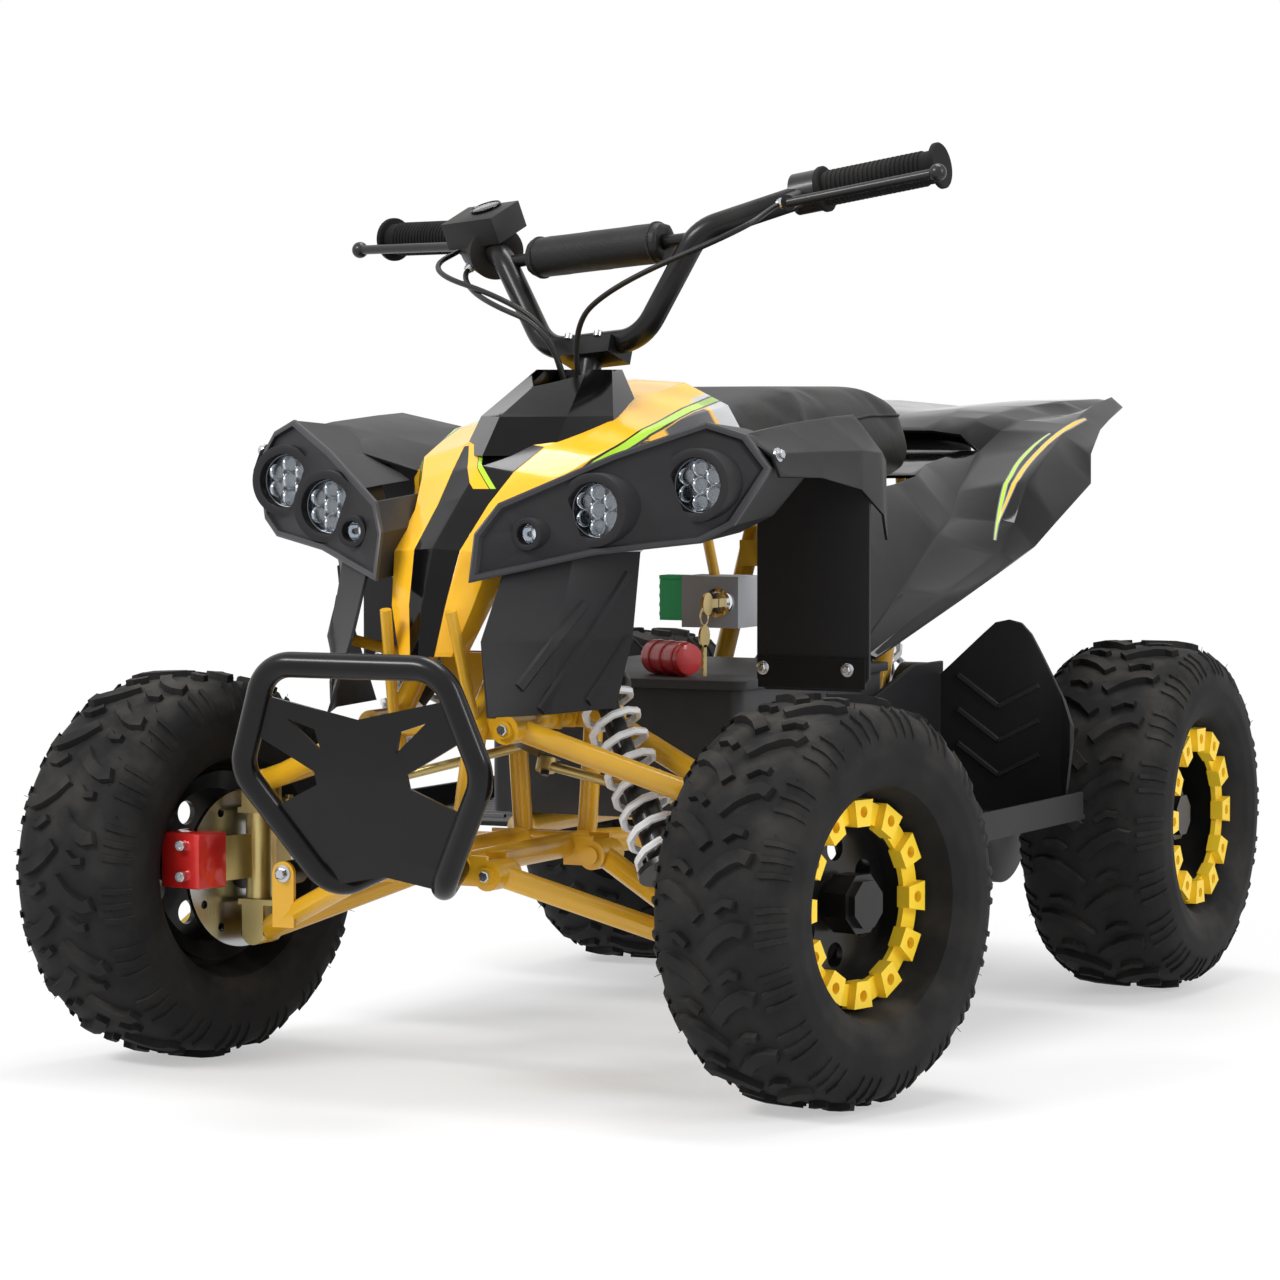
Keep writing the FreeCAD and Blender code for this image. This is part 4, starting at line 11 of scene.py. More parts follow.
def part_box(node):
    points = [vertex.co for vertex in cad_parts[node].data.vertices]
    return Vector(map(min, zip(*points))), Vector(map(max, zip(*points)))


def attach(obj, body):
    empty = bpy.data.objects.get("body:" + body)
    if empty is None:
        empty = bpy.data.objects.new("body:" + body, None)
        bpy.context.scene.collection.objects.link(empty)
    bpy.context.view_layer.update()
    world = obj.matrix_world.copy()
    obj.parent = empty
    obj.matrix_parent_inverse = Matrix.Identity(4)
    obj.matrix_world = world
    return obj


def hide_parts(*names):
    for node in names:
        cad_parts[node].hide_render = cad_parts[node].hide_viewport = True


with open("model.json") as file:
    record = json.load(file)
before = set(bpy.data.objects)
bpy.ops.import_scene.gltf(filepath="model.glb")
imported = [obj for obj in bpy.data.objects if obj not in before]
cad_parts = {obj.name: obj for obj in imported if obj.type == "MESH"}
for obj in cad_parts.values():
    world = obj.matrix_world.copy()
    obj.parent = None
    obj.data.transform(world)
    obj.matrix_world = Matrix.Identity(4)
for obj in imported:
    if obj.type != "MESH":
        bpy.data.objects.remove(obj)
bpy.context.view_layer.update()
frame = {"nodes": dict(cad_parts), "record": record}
nodes = frame["nodes"]
chance = random.Random(7)

MM = 0.001
FULL_TURN = 2 * math.pi
# The rider's left and right
SIDES = (1, -1)
X_AXIS, Y_AXIS, Z_AXIS = Vector((1, 0, 0)), Vector((0, 1, 0)), Vector((0, 0, 1))
WHITE = (1.0, 1.0, 1.0, 1.0)


def tone(red, green, blue):
    """A colour as it shows on a screen, 0 to 255, turned into the light values that shaders take."""
    light = []
    for value in (red, green, blue):
        share = value / 255
        light.append(share / 12.92 if share < 0.04 else ((share + 0.055) / 1.055) ** 2.4)
    return (*light, 1.0)


def in_scene(name, data):
    """A new object of the scene that holds the data."""
    made = bpy.data.objects.new(name, data)
    bpy.context.scene.collection.objects.link(made)
    return made


def look_along(thing, way):
    """Turns a camera or a lamp so that it looks along a direction."""
    thing.rotation_mode = "QUATERNION"
    thing.rotation_quaternion = Vector(way).to_track_quat("-Z", "Y")


def mirrored(spot, side):
    """A spot or direction of the rider's left, kept there by side 1 and mirrored to the right by -1."""
    return Vector((spot[0] * side, spot[1], spot[2]))


# Camera and lamps

VIEW_POINT = Vector((2.0090, -4.2082, 0.6300))
VIEW_TURN, VIEW_DIP = math.radians(26.106), math.radians(3.158)
VIEW_LENS, SENSOR_WIDTH, NEAREST_SEEN = 136.75, 36.0, 0.1
LAMP_AIM = Vector((0, 0, 0.4))


def set_camera():
    """The camera at the photograph's place, with its lens."""
    lens = bpy.data.cameras.new("photo_view")
    lens.lens, lens.sensor_width, lens.clip_start = VIEW_LENS, SENSOR_WIDTH, NEAREST_SEEN
    camera = in_scene("photo_view", lens)
    camera.location = VIEW_POINT
    level = math.cos(VIEW_DIP)
    look_along(camera, (-math.sin(VIEW_TURN) * level, math.cos(VIEW_TURN) * level, -math.sin(VIEW_DIP)))
    bpy.context.scene.camera = camera


def soft_lamp(name, place, size, power):
    """A softbox that looks from its place at the middle of the bike."""
    light = bpy.data.lights.new(name, "AREA")
    light.shape, light.energy = "RECTANGLE", power
    light.size, light.size_y = size
    lamp = in_scene(name, light)
    lamp.location = place
    look_along(lamp, LAMP_AIM - Vector(place))


# Node trees

class Board:
    """Places and joins the nodes of one shader or geometry tree."""

    def __init__(self, tree):
        self.tree = tree

    def feed(self, value, socket):
        """Links an output to a socket, or sets the socket to a plain value."""
        if isinstance(value, bpy.types.NodeSocket):
            self.tree.links.new(value, socket)
        else:
            socket.default_value = value

    def add(self, kind, values=None, **settings):
        """A node with its settings, its input sockets fed by name or number."""
        node = self.tree.nodes.new(kind)
        for key, value in settings.items():
            setattr(node, key, value)
        for key, value in (values or {}).items():
            self.feed(value, node.inputs[key])
        return node

    def sum(self, operation, first, second=0.0, third=None, clamp=False):
        """One step of arithmetic."""
        values = {0: first, 1: second}
        if third is not None:
            values[2] = third
        return self.add("ShaderNodeMath", values, operation=operation, use_clamp=clamp).outputs[0]

    def blend(self, share, first, second):
        """A colour that goes from the first to the second with the share."""
        node = self.add("ShaderNodeMix", {0: share}, data_type="RGBA")
        for key, value in (("A", first), ("B", second)):
            self.feed(value, next(s for s in node.inputs if s.name == key and s.type == "RGBA"))
        return next(s for s in node.outputs if s.type == "RGBA")

    def place(self):
        """Where a point lies on the bike."""
        return self.add("ShaderNodeTexCoord").outputs["Object"]

    def axes(self, vector):
        """The X, Y and Z parts of a vector."""
        return self.add("ShaderNodeSeparateXYZ", {0: vector}).outputs

    def noise(self, place, size, detail=2.0):
        """A cloudy pattern, from 0 to 1."""
        return self.add("ShaderNodeTexNoise", {"Vector": place, "Scale": size, "Detail": detail}).outputs["Fac"]

    def stretched(self, scale, turn=(0.0, 0.0, 0.0)):
        """Places on the bike, turned and then stretched by a scale for each axis."""
        values = {"Vector": self.place(), "Rotation": turn, "Scale": scale}
        return self.add("ShaderNodeMapping", values).outputs[0]

    def ramp(self, value, low, high, to_low=0.0, to_high=1.0):
        """The value's place between low and high, laid between two other ends."""
        return self.add("ShaderNodeMapRange", {"Value": value, "From Min": low, "From Max": high,
                                               "To Min": to_low, "To Max": to_high}).outputs[0]

    def curve(self, value, points):
        """A smooth line through the points, looked up by value; both run between their own ends."""
        lows = [min(p[k] for p in points) for k in (0, 1)]
        highs = [max(p[k] for p in points) for k in (0, 1)]
        node = self.add("ShaderNodeFloatCurve", {"Value": self.ramp(value, lows[0], highs[0])})
        line = node.mapping.curves[0]
        shares = [[(p[k] - lows[k]) / (highs[k] - lows[k]) for k in (0, 1)] for p in points]
        while len(line.points) < len(shares):
            line.points.new(0.5, 0.5)
        for point, share in zip(line.points, sorted(shares)):
            point.location = share
        node.mapping.update()
        return self.ramp(node.outputs[0], 0.0, 1.0, lows[1], highs[1])


NUMBER, COLOUR, SHAPE = "NodeSocketFloat", "NodeSocketColor", "NodeSocketGeometry"


def node_group(name, tree_kind, inputs, outputs):
    """An empty node group with its board, and what it is given and puts out; an input may have a value."""
    tree = bpy.data.node_groups.new(name, tree_kind)
    for socket, kind, *value in inputs:
        made = tree.interface.new_socket(socket, in_out="INPUT", socket_type=kind)
        if value:
            made.default_value = value[0]
    for socket, kind in outputs:
        tree.interface.new_socket(socket, in_out="OUTPUT", socket_type=kind)
    board = Board(tree)
    return tree, board, board.add("NodeGroupInput").outputs, board.add("NodeGroupOutput").inputs


# Shader groups and finishes

DUST_TONE, LENS_TONE, FLOOR_TONE = tone(150, 143, 130), tone(244, 248, 250), tone(244, 244, 245)
CLOUD_DETAIL, GRAIN_DETAIL = 4.0, 3.0
DUST_PATCH_SIZE, DUST_PATCH_DETAIL, DUST_PATCH_CUT, DUST_DULLS = 22.0, 5.0, (0.42, 0.72), 0.3
FACING_UP, LEAST_SETTLED = (-0.1, 1.0), 0.15
SCRATCH_TURN, SCRATCH_STRETCH, HAIR_CUT = (0.3, 0.5, 0.9), (26.0, 420.0, 26.0), (0.70, 0.74)
SCRATCH_PATCH_SIZE, SCRATCH_PATCH_CUT, SCRATCH_DULLS = 13.0, (0.48, 0.62), 0.25
EDGE_SOFT = 0.0004


def make_surface_group():
    """Uneven shade, fine grain, settled dust and hair scratches for any hard or rubber surface."""
    tree, board, given, out = node_group(
        "surface_detail", "ShaderNodeTree",
        [("Colour", COLOUR, WHITE), ("Shade Spread", NUMBER, 0.1), ("Shade Size", NUMBER, 9.0),
         ("Roughness", NUMBER, 0.5), ("Roughness Spread", NUMBER, 0.1), ("Grain Size", NUMBER, 500.0),
         ("Dust", NUMBER, 0.1), ("Dust Colour", COLOUR, DUST_TONE), ("Scratches", NUMBER, 0.0)],
        [("Colour", COLOUR), ("Roughness", NUMBER), ("Height", NUMBER)])
    place = board.place()
    uneven = board.sum("SUBTRACT", board.noise(place, given["Shade Size"], CLOUD_DETAIL), 0.5)
    lift = board.sum("MULTIPLY_ADD", uneven, board.sum("MULTIPLY", given["Shade Spread"], 2.0), 1.0)
    values = {0: given["Colour"], "Scale": lift}
    shaded = board.add("ShaderNodeVectorMath", values, operation="SCALE").outputs[0]
    upward = board.axes(board.add("ShaderNodeNewGeometry").outputs["Normal"])["Z"]
    patches = board.ramp(board.noise(place, DUST_PATCH_SIZE, DUST_PATCH_DETAIL), *DUST_PATCH_CUT)
    settled = board.sum("MULTIPLY", board.ramp(upward, *FACING_UP, LEAST_SETTLED, 1.0), patches)
    dust = board.sum("MULTIPLY", settled, given["Dust"], clamp=True)
    hair = board.ramp(board.noise(board.stretched(SCRATCH_STRETCH, SCRATCH_TURN), 1.0, 1.0), *HAIR_CUT)
    scratched = board.ramp(board.noise(place, SCRATCH_PATCH_SIZE), *SCRATCH_PATCH_CUT)
    scratch = board.sum("MULTIPLY", board.sum("MULTIPLY", hair, scratched), given["Scratches"])
    rough = board.sum("MULTIPLY_ADD", uneven, given["Roughness Spread"], given["Roughness"])
    rough = board.sum("MULTIPLY_ADD", dust, DUST_DULLS, rough)
    grain = board.noise(place, given["Grain Size"], GRAIN_DETAIL)
    board.feed(board.blend(dust, shaded, given["Dust Colour"]), out["Colour"])
    board.feed(board.sum("MULTIPLY_ADD", scratch, SCRATCH_DULLS, rough, clamp=True), out["Roughness"])
    board.feed(board.sum("SUBTRACT", grain, scratch), out["Height"])
    return tree


def make_band_group():
    """1 where a value lies between two edges, with a soft step at each."""
    tree, board, given, out = node_group(
        "painted_band", "ShaderNodeTree",
        [("Value", NUMBER, 0.0), ("Low", NUMBER, 0.0), ("High", NUMBER, 1.0), ("Soft", NUMBER, EDGE_SOFT)],
        [("Mask", NUMBER)])
    above = board.ramp(given["Value"], board.sum("SUBTRACT", given["Low"], given["Soft"]), given["Low"])
    below = board.ramp(given["Value"], given["High"], board.sum("ADD", given["High"], given["Soft"]), 1.0, 0.0)
    board.feed(board.sum("MULTIPLY", above, below), out["Mask"])
    return tree


FOLD_SIZE, FOLD_DEPTH, FOLD_CUT, PEBBLE_PAINTED_SHADE_CUT = 60.0, 0.6, (0.45, 0.55), (0.2, 0.7)


def make_vinyl_group():
    """The pebbled grain of seat vinyl, with its fine creases, and a mask of the hollows between the pebbles for
    painted shade.
    """
    tree, board, given, out = node_group(
        "vinyl_grain", "ShaderNodeTree", [("Pebble Size", NUMBER, 420.0), ("Crease", NUMBER, 0.5)],
        [("Height", NUMBER), ("Mask", NUMBER)])
    place = board.place()
    cells = board.add("ShaderNodeTexVoronoi", {"Vector": place, "Scale": given["Pebble Size"]},
                      feature="SMOOTH_F1").outputs["Distance"]
    fold = board.ramp(board.noise(place, FOLD_SIZE, CLOUD_DETAIL), *FOLD_CUT)
    pebbles = board.sum("SUBTRACT", 1.0, cells)
    folded = board.sum("MULTIPLY_ADD", board.sum("MULTIPLY", fold, given["Crease"]), FOLD_DEPTH, pebbles)
    board.feed(folded, out["Height"])
    # Mask: where painted shade darkens the hollows between the pebbles
    board.feed(board.ramp(cells, *PEBBLE_PAINTED_SHADE_CUT), out["Mask"])
    return tree


SURFACE, BAND, VINYL = make_surface_group(), make_band_group(), make_vinyl_group()


def new_finish(name):
    """A material with only its shader, and the board to build it on."""
    material = bpy.data.materials.new(name)
    material.use_nodes = True
    return material, Board(material.node_tree), material.node_tree.nodes["Principled BSDF"]


def surface(board, colour, rough, spread, blotch, rough_spread, grain, dust, scratch):
    """What the surface_detail group puts out for a finish's values."""
    values = {"Colour": colour, "Shade Spread": spread, "Shade Size": blotch, "Roughness": rough,
              "Roughness Spread": rough_spread, "Grain Size": grain, "Dust": dust, "Scratches": scratch}
    return board.add("ShaderNodeGroup", values, node_tree=SURFACE).outputs


def band(board, value, edges, soft=EDGE_SOFT):
    """1 where the value lies between two edges."""
    return board.add("ShaderNodeGroup", {"Value": value, "Low": edges[0], "High": edges[1], "Soft": soft},
                     node_tree=BAND).outputs["Mask"]


def cover_shader(board, shader, colour, rough, height, rise):
    """Feeds a shader its colour, its roughness and a bump whose full height is rise, in millimetres."""
    board.feed(colour, shader.inputs["Base Color"])
    board.feed(rough, shader.inputs["Roughness"])
    bump = board.add("ShaderNodeBump", {"Height": height, "Distance": rise * MM, "Strength": 1.0})
    board.feed(bump.outputs[0], shader.inputs["Normal"])


COAT_ROUGHNESS = 0.06


def finish(name, colour, rough, metal=0.0, coat=0.0, spread=0.10, blotch=9.0, rough_spread=0.10, grain=500.0,
           rise=0.05, dust=0.08, scratch=0.25, gloss=0.5, colour_of=None, height_of=None):
    """A hard finish: its colour and gloss vary over the piece; rise is its grain's height in millimetres."""
    material, board, shader = new_finish(name)
    base = colour_of(board, colour) if colour_of else colour
    out = surface(board, base, rough, spread, blotch, rough_spread, grain, dust, scratch)
    height = height_of(board, out["Height"]) if height_of else out["Height"]
    cover_shader(board, shader, out["Colour"], out["Roughness"], height, rise)
    for socket, value in (("Metallic", metal), ("Coat Weight", coat), ("Coat Roughness", COAT_ROUGHNESS),
                          ("Specular IOR Level", gloss)):
        shader.inputs[socket].default_value = value
    return material


# Painted graphics

YELLOW, LIME, INK, FADE = tone(244, 184, 40), tone(176, 224, 54), tone(26, 26, 28), tone(186, 188, 190)
SMOKE = tone(58, 58, 62)
# The middle of the hood's lime stripe, each point (back, up, out)
HOOD_LINE = ((-0.411, 0.5330, 0.0705), (-0.353, 0.5567, 0.0900), (-0.300, 0.5735, 0.0963),
             (-0.200, 0.5935, 0.0905), (-0.125, 0.6035, 0.0835))
LINE_START_SOFT, STRIPE_TIP_HALF, STRIPE_HALF, STRIPE_FULL_AT = 0.0015, 0.0004, 0.0036, -0.30
UPWARD_PART, INWARD_PART = 0.55, 0.83
OUTLINE_REACH, FLANK_EDGES = 0.0021, (0.060, 0.064)
TAILS_ACROSS, TAILS_ALONG, TAILS_SOFT = (-0.0100, -0.0058), (-0.375, -0.300), 0.004
BRUSH_STRETCH, BRUSH_CUT = (60.0, 9.0, 330.0), (0.44, 0.50)
PATCH_ACROSS, PATCH_ALONG, PATCH_SOFT = (-0.0260, -0.0070), (-0.262, -0.172), 0.006
TEAR_SIZE, TEAR_DEPTH, PALE_EDGES, PALE_TOP = 60.0, 0.03, (-0.150, -0.142), (0.010, 0.013)
LIME_ON_PALE = 0.6


def side_and_back(board):
    """How far a point is from the bike's middle plane, back along it, and up."""
    parts = board.axes(board.place())
    return board.sum("ABSOLUTE", parts["X"]), parts["Y"], parts["Z"]


def hood_graphics(board, colour):
    """Each flank's lime stripe, its outlines, the dark tails and patch under it, and the pale rear end."""
    out, back, up = side_and_back(board)
    line_start = HOOD_LINE[0][0]
    rise_over = board.sum("SUBTRACT", up, board.curve(back, [(y, z) for y, z, _ in HOOD_LINE]))
    step_in = board.sum("SUBTRACT", board.curve(back, [(y, x) for y, _, x in HOOD_LINE]), out)
    # Across the stripe, up the flank: + above its middle, - below it
    above = board.sum("MULTIPLY_ADD", rise_over, UPWARD_PART, board.sum("MULTIPLY", step_in, INWARD_PART))
    half = board.ramp(back, line_start, STRIPE_FULL_AT, STRIPE_TIP_HALF, STRIPE_HALF)
    past = board.sum("SUBTRACT", board.sum("ABSOLUTE", above), half)
    on_flank = board.ramp(out, *FLANK_EDGES)
    started = board.sum("MULTIPLY", on_flank, board.ramp(back, line_start - LINE_START_SOFT, line_start))
    lime = board.sum("MULTIPLY", started, board.ramp(past, 0.0, EDGE_SOFT, 1.0, 0.0))
    line = board.sum("MULTIPLY", started, board.ramp(past, OUTLINE_REACH, OUTLINE_REACH + EDGE_SOFT, 1.0, 0.0))
    brush = board.ramp(board.noise(board.stretched(BRUSH_STRETCH), 1.0), *BRUSH_CUT)
    tails = board.sum("MULTIPLY", band(board, above, TAILS_ACROSS), band(board, back, TAILS_ALONG, TAILS_SOFT))
    tails = board.sum("MULTIPLY", board.sum("MULTIPLY", tails, brush), on_flank)
    patch = board.sum("MULTIPLY", band(board, above, PATCH_ACROSS), band(board, back, PATCH_ALONG, PATCH_SOFT))
    patch = board.sum("MULTIPLY", patch, on_flank)
    torn = board.sum("MULTIPLY_ADD", board.noise(board.place(), TEAR_SIZE, GRAIN_DETAIL), TEAR_DEPTH, back)
    pale = board.sum("MULTIPLY", board.ramp(torn, *PALE_EDGES), board.ramp(above, *PALE_TOP, 1.0, 0.0))
    painted = colour
    for mask, paint in ((pale, FADE), (patch, SMOKE), (tails, INK), (line, INK),
                        (board.sum("MULTIPLY", lime, board.ramp(pale, 0.0, 1.0, 1.0, LIME_ON_PALE)), LIME)):
        painted = board.blend(mask, painted, paint)
    return painted


# Each stripe of the tail: its paint, half its width and the points (back, out) of its middle
TAIL_STRIPES = (
    (YELLOW, 0.0022, ((0.300, 0.1965), (0.358, 0.1920), (0.432, 0.1850), (0.498, 0.1855), (0.570, 0.1870))),
    (LIME, 0.0015, ((0.270, 0.2060), (0.333, 0.1880), (0.375, 0.1797), (0.436, 0.1720), (0.495, 0.1760))),
)
# How far, and how strongly, white is painted beside each tail stripe's edge as a painted highlight
TAPER_START, TAPER_END, STRIPE_EDGE, PAINTED_HIGHLIGHT_REACH, PAINTED_HIGHLIGHT = 0.07, 0.05, 0.0006, 0.0022, 0.35
TOPSIDE_TILT = (0.2, 0.4)


def tail_graphics(board, colour):
    """Two curved stripes, yellow and lime, beside each outer ridge of the rear body, each edged on upward faces
    with a painted white highlight.
    """
    out, back, _ = side_and_back(board)
    topside = board.ramp(board.axes(board.add("ShaderNodeNewGeometry").outputs["Normal"])["Z"], *TOPSIDE_TILT)
    painted = colour
    for paint, half, points in TAIL_STRIPES:
        first, last = points[0][0], points[-1][0]
        off = board.sum("ABSOLUTE", board.sum("SUBTRACT", out, board.curve(back, points)))
        taper = board.sum("MULTIPLY", board.ramp(back, first, first + TAPER_START),
                          board.ramp(back, last - TAPER_END, last, 1.0, 0.0))
        edge = board.sum("SUBTRACT", off, board.sum("MULTIPLY", taper, half))
        inside = board.sum("MULTIPLY", band(board, back, (first, last)), topside)
        # Painted highlight: white laid beside the stripe's edge on upward faces
        painted_highlight = board.sum("MULTIPLY", board.ramp(edge, EDGE_SOFT, PAINTED_HIGHLIGHT_REACH, PAINTED_HIGHLIGHT, 0.0), inside)
        stripe = board.sum("MULTIPLY", board.ramp(edge, 0.0, STRIPE_EDGE, 1.0, 0.0), inside)
        painted = board.blend(stripe, board.blend(painted_highlight, painted, WHITE), paint)
    return painted


BEAK_TOP, BEAK_SLANT = (0.5275, 0.5280), 0.9
BEAK_STRIPES = ((YELLOW, (0.5330, 0.5440)), (LIME, (0.5452, 0.5490)))


def beak_graphics(board, colour):
    """A small yellow and lime patch where the beak meets the steering shroud."""
    parts = board.axes(board.place())
    high = board.ramp(parts["Z"], *BEAK_TOP)
    slant = board.sum("MULTIPLY_ADD", parts["X"], BEAK_SLANT, parts["Z"])
    painted = colour
    for paint, edges in BEAK_STRIPES:
        painted = board.blend(board.sum("MULTIPLY", high, band(board, slant, edges)), painted, paint)
    return painted


TURNING_STRETCH = (900.0, 60.0, 60.0)
WALL_LINE_SIZE, WALL_LINE_WAVER, WALL_LINE_HEIGHT = 60.0, 3.0, 0.15


def brushed(board, height):
    """Fine turning marks across the wheel's axle."""
    return board.sum("ADD", height, board.noise(board.stretched(TURNING_STRETCH), 1.0, 1.0))


def ribbed_rubber(board, height):
    """Faint wavering moulded lines on a tyre's wall."""
    waves = board.add("ShaderNodeTexWave", {"Vector": board.place(), "Scale": WALL_LINE_SIZE,
                                            "Distortion": WALL_LINE_WAVER}).outputs["Fac"]
    return board.sum("MULTIPLY_ADD", waves, WALL_LINE_HEIGHT, height)


FINISHES = {
    "tyre_rubber": dict(colour=tone(27, 27, 28), rough=0.72, dust=0.16, grain=700.0, rise=0.12, spread=0.16,
                        height_of=ribbed_rubber, gloss=0.15),
    "rim_black": dict(colour=tone(14, 14, 15), rough=0.34, coat=0.1, dust=0.12, grain=260.0, rise=0.03,
                      gloss=0.35),
    "ring_yellow": dict(colour=tone(245, 206, 44), rough=0.42, grain=380.0, rise=0.05, scratch=0.5,
                        spread=0.07),
    "frame_yellow": dict(colour=tone(214, 162, 28), rough=0.30, coat=0.25, grain=140.0, rise=0.04, scratch=0.6),
    "zinc_gold": dict(colour=tone(196, 178, 120), rough=0.34, metal=0.9, spread=0.22, blotch=28.0, grain=420.0),
    "disc_steel": dict(colour=tone(176, 178, 180), rough=0.26, metal=1.0, height_of=brushed, rise=0.04),
    "caliper_red": dict(colour=tone(196, 34, 30), rough=0.30, metal=0.35, coat=0.5, grain=320.0),
    "damper_black": dict(colour=tone(18, 18, 19), rough=0.32, coat=0.1, grain=260.0, gloss=0.35),
    "spring_grey": dict(colour=tone(232, 234, 236), rough=0.34, coat=0.35, scratch=0.5, dust=0.05),
    "bar_black": dict(colour=tone(16, 16, 17), rough=0.30, coat=0.05, grain=220.0, scratch=0.5, gloss=0.25),
    "grip_rubber": dict(colour=tone(17, 17, 18), rough=0.78, grain=900.0, rise=0.10, dust=0.06, gloss=0.2),
    "lever_black": dict(colour=tone(22, 22, 23), rough=0.36, metal=0.3, coat=0.1, grain=300.0, scratch=0.5),
    "control_plastic": dict(colour=tone(19, 19, 20), rough=0.52, grain=900.0, rise=0.08, gloss=0.3),
    "hood_yellow": dict(colour=YELLOW, rough=0.16, coat=0.15, grain=90.0, rise=0.03, spread=0.03, dust=0.02,
                        scratch=0.2, rough_spread=0.05, colour_of=hood_graphics, gloss=0.3),
    "gloss_black": dict(colour=tone(8, 8, 9), rough=0.10, coat=0.06, grain=80.0, rise=0.03, dust=0.01,
                        scratch=0.35, rough_spread=0.06, gloss=0.16),
    "fender_black": dict(colour=tone(20, 20, 21), rough=0.40, grain=620.0, rise=0.07, dust=0.03, gloss=0.16),
    "charcoal": dict(colour=tone(36, 36, 38), rough=0.50, grain=800.0, rise=0.10, dust=0.03, spread=0.06,
                     gloss=0.18),
    "motor_alloy": dict(colour=tone(140, 142, 146), rough=0.42, metal=0.8, grain=300.0, rise=0.10, dust=0.25),
    "axle_steel": dict(colour=tone(158, 160, 162), rough=0.30, metal=1.0, grain=300.0),
    "swing_black": dict(colour=tone(18, 18, 19), rough=0.36, coat=0.1, grain=200.0, dust=0.1, gloss=0.3),
    "case_black": dict(colour=tone(22, 22, 23), rough=0.48, grain=500.0, dust=0.12, gloss=0.3),
    "battery_plastic": dict(colour=tone(52, 53, 56), rough=0.52, grain=500.0, dust=0.1, gloss=0.3),
    "switch_grey": dict(colour=tone(150, 152, 156), rough=0.46, grain=600.0, dust=0.1),
    "tape_red": dict(colour=tone(206, 40, 42), rough=0.40, coat=0.3, grain=120.0, rise=0.30, spread=0.12),
    "bumper_black": dict(colour=tone(11, 11, 12), rough=0.26, coat=0.10, grain=160.0, scratch=0.6, dust=0.02,
                         gloss=0.2),
    "cable_black": dict(colour=tone(12, 12, 13), rough=0.42, grain=900.0, rise=0.04, dust=0.05, gloss=0.3),
    "tail_red": dict(colour=tone(150, 20, 22), rough=0.14, coat=0.8, grain=60.0, dust=0.02),
}
paints = {name: finish(name, **values) for name, values in FINISHES.items()}
rear_gloss = finish("rear_body_black", **{**FINISHES["gloss_black"], "colour_of": tail_graphics})
beak_gloss = finish("beak_black", **{**FINISHES["gloss_black"], "colour_of": beak_graphics})
bolt_zinc = finish("bolt_zinc", tone(190, 192, 196), 0.26, metal=1.0, grain=260.0, spread=0.14)
brow_charcoal = finish("brow_charcoal", tone(46, 46, 49), 0.42, gloss=0.35, grain=700.0, rise=0.08, spread=0.06,
                       dust=0.03)
bowl_grey = finish("lamp_inner_grey", tone(122, 125, 130), 0.20, metal=0.8, grain=90.0, rise=0.02, dust=0.0)
chrome = finish("lamp_chrome", tone(226, 228, 232), 0.08, metal=1.0, grain=60.0, rise=0.01, dust=0.0,
                scratch=0.0)
connector_green = finish("connector_green", tone(58, 190, 122), 0.42, grain=500.0)
brass = finish("key_brass", tone(198, 176, 120), 0.30, metal=1.0, grain=300.0, scratch=0.6)
# Painted shade in the hollows between the pebbles: how strongly, and towards which near-black colour
PEBBLE_PAINTED_SHADE, PEBBLE_PAINTED_SHADE_TONE, PEBBLE_RISE, FINE_GRAIN_PART, VINYL_GLOSS = 0.30, tone(10, 10, 11), 0.18, 0.3, 0.3
LENS_RISE, LENS_BENDING = 0.02, 1.45


def vinyl_finish(name, colour, pebble):
    """Seat vinyl: pebbled, a little sheen, with painted shade darkening the hollows between its pebbles."""
    material, board, shader = new_finish(name)
    out = surface(board, colour, rough=0.50, spread=0.08, blotch=11.0, rough_spread=0.10, grain=700.0,
                  dust=0.05, scratch=0.1)
    grain = board.add("ShaderNodeGroup", {"Pebble Size": pebble}, node_tree=VINYL).outputs
    # Painted shade: the colour darkened towards near black in the hollows between the pebbles
    shade = board.blend(board.sum("MULTIPLY", grain["Mask"], PEBBLE_PAINTED_SHADE), out["Colour"], PEBBLE_PAINTED_SHADE_TONE)
    height = board.sum("MULTIPLY_ADD", out["Height"], FINE_GRAIN_PART, grain["Height"])
    cover_shader(board, shader, shade, out["Roughness"], height, PEBBLE_RISE)
    shader.inputs["Specular IOR Level"].default_value = VINYL_GLOSS
    return material


seat_vinyl = vinyl_finish("seat_vinyl", tone(26, 26, 27), 420.0)
pad_vinyl = vinyl_finish("pad_vinyl", tone(18, 18, 19), 620.0)


def lens_finish():
    """Clear moulded lamp lenses."""
    material, board, shader = new_finish("lens_clear")
    out = surface(board, LENS_TONE, rough=0.03, spread=0.01, blotch=9.0, rough_spread=0.02, grain=40.0,
                  dust=0.0, scratch=0.05)
    cover_shader(board, shader, out["Colour"], out["Roughness"], out["Height"], LENS_RISE)
    shader.inputs["Transmission Weight"].default_value = 1.0
    shader.inputs["IOR"].default_value = LENS_BENDING
    return material


lens_clear = lens_finish()


# The CAD nodes

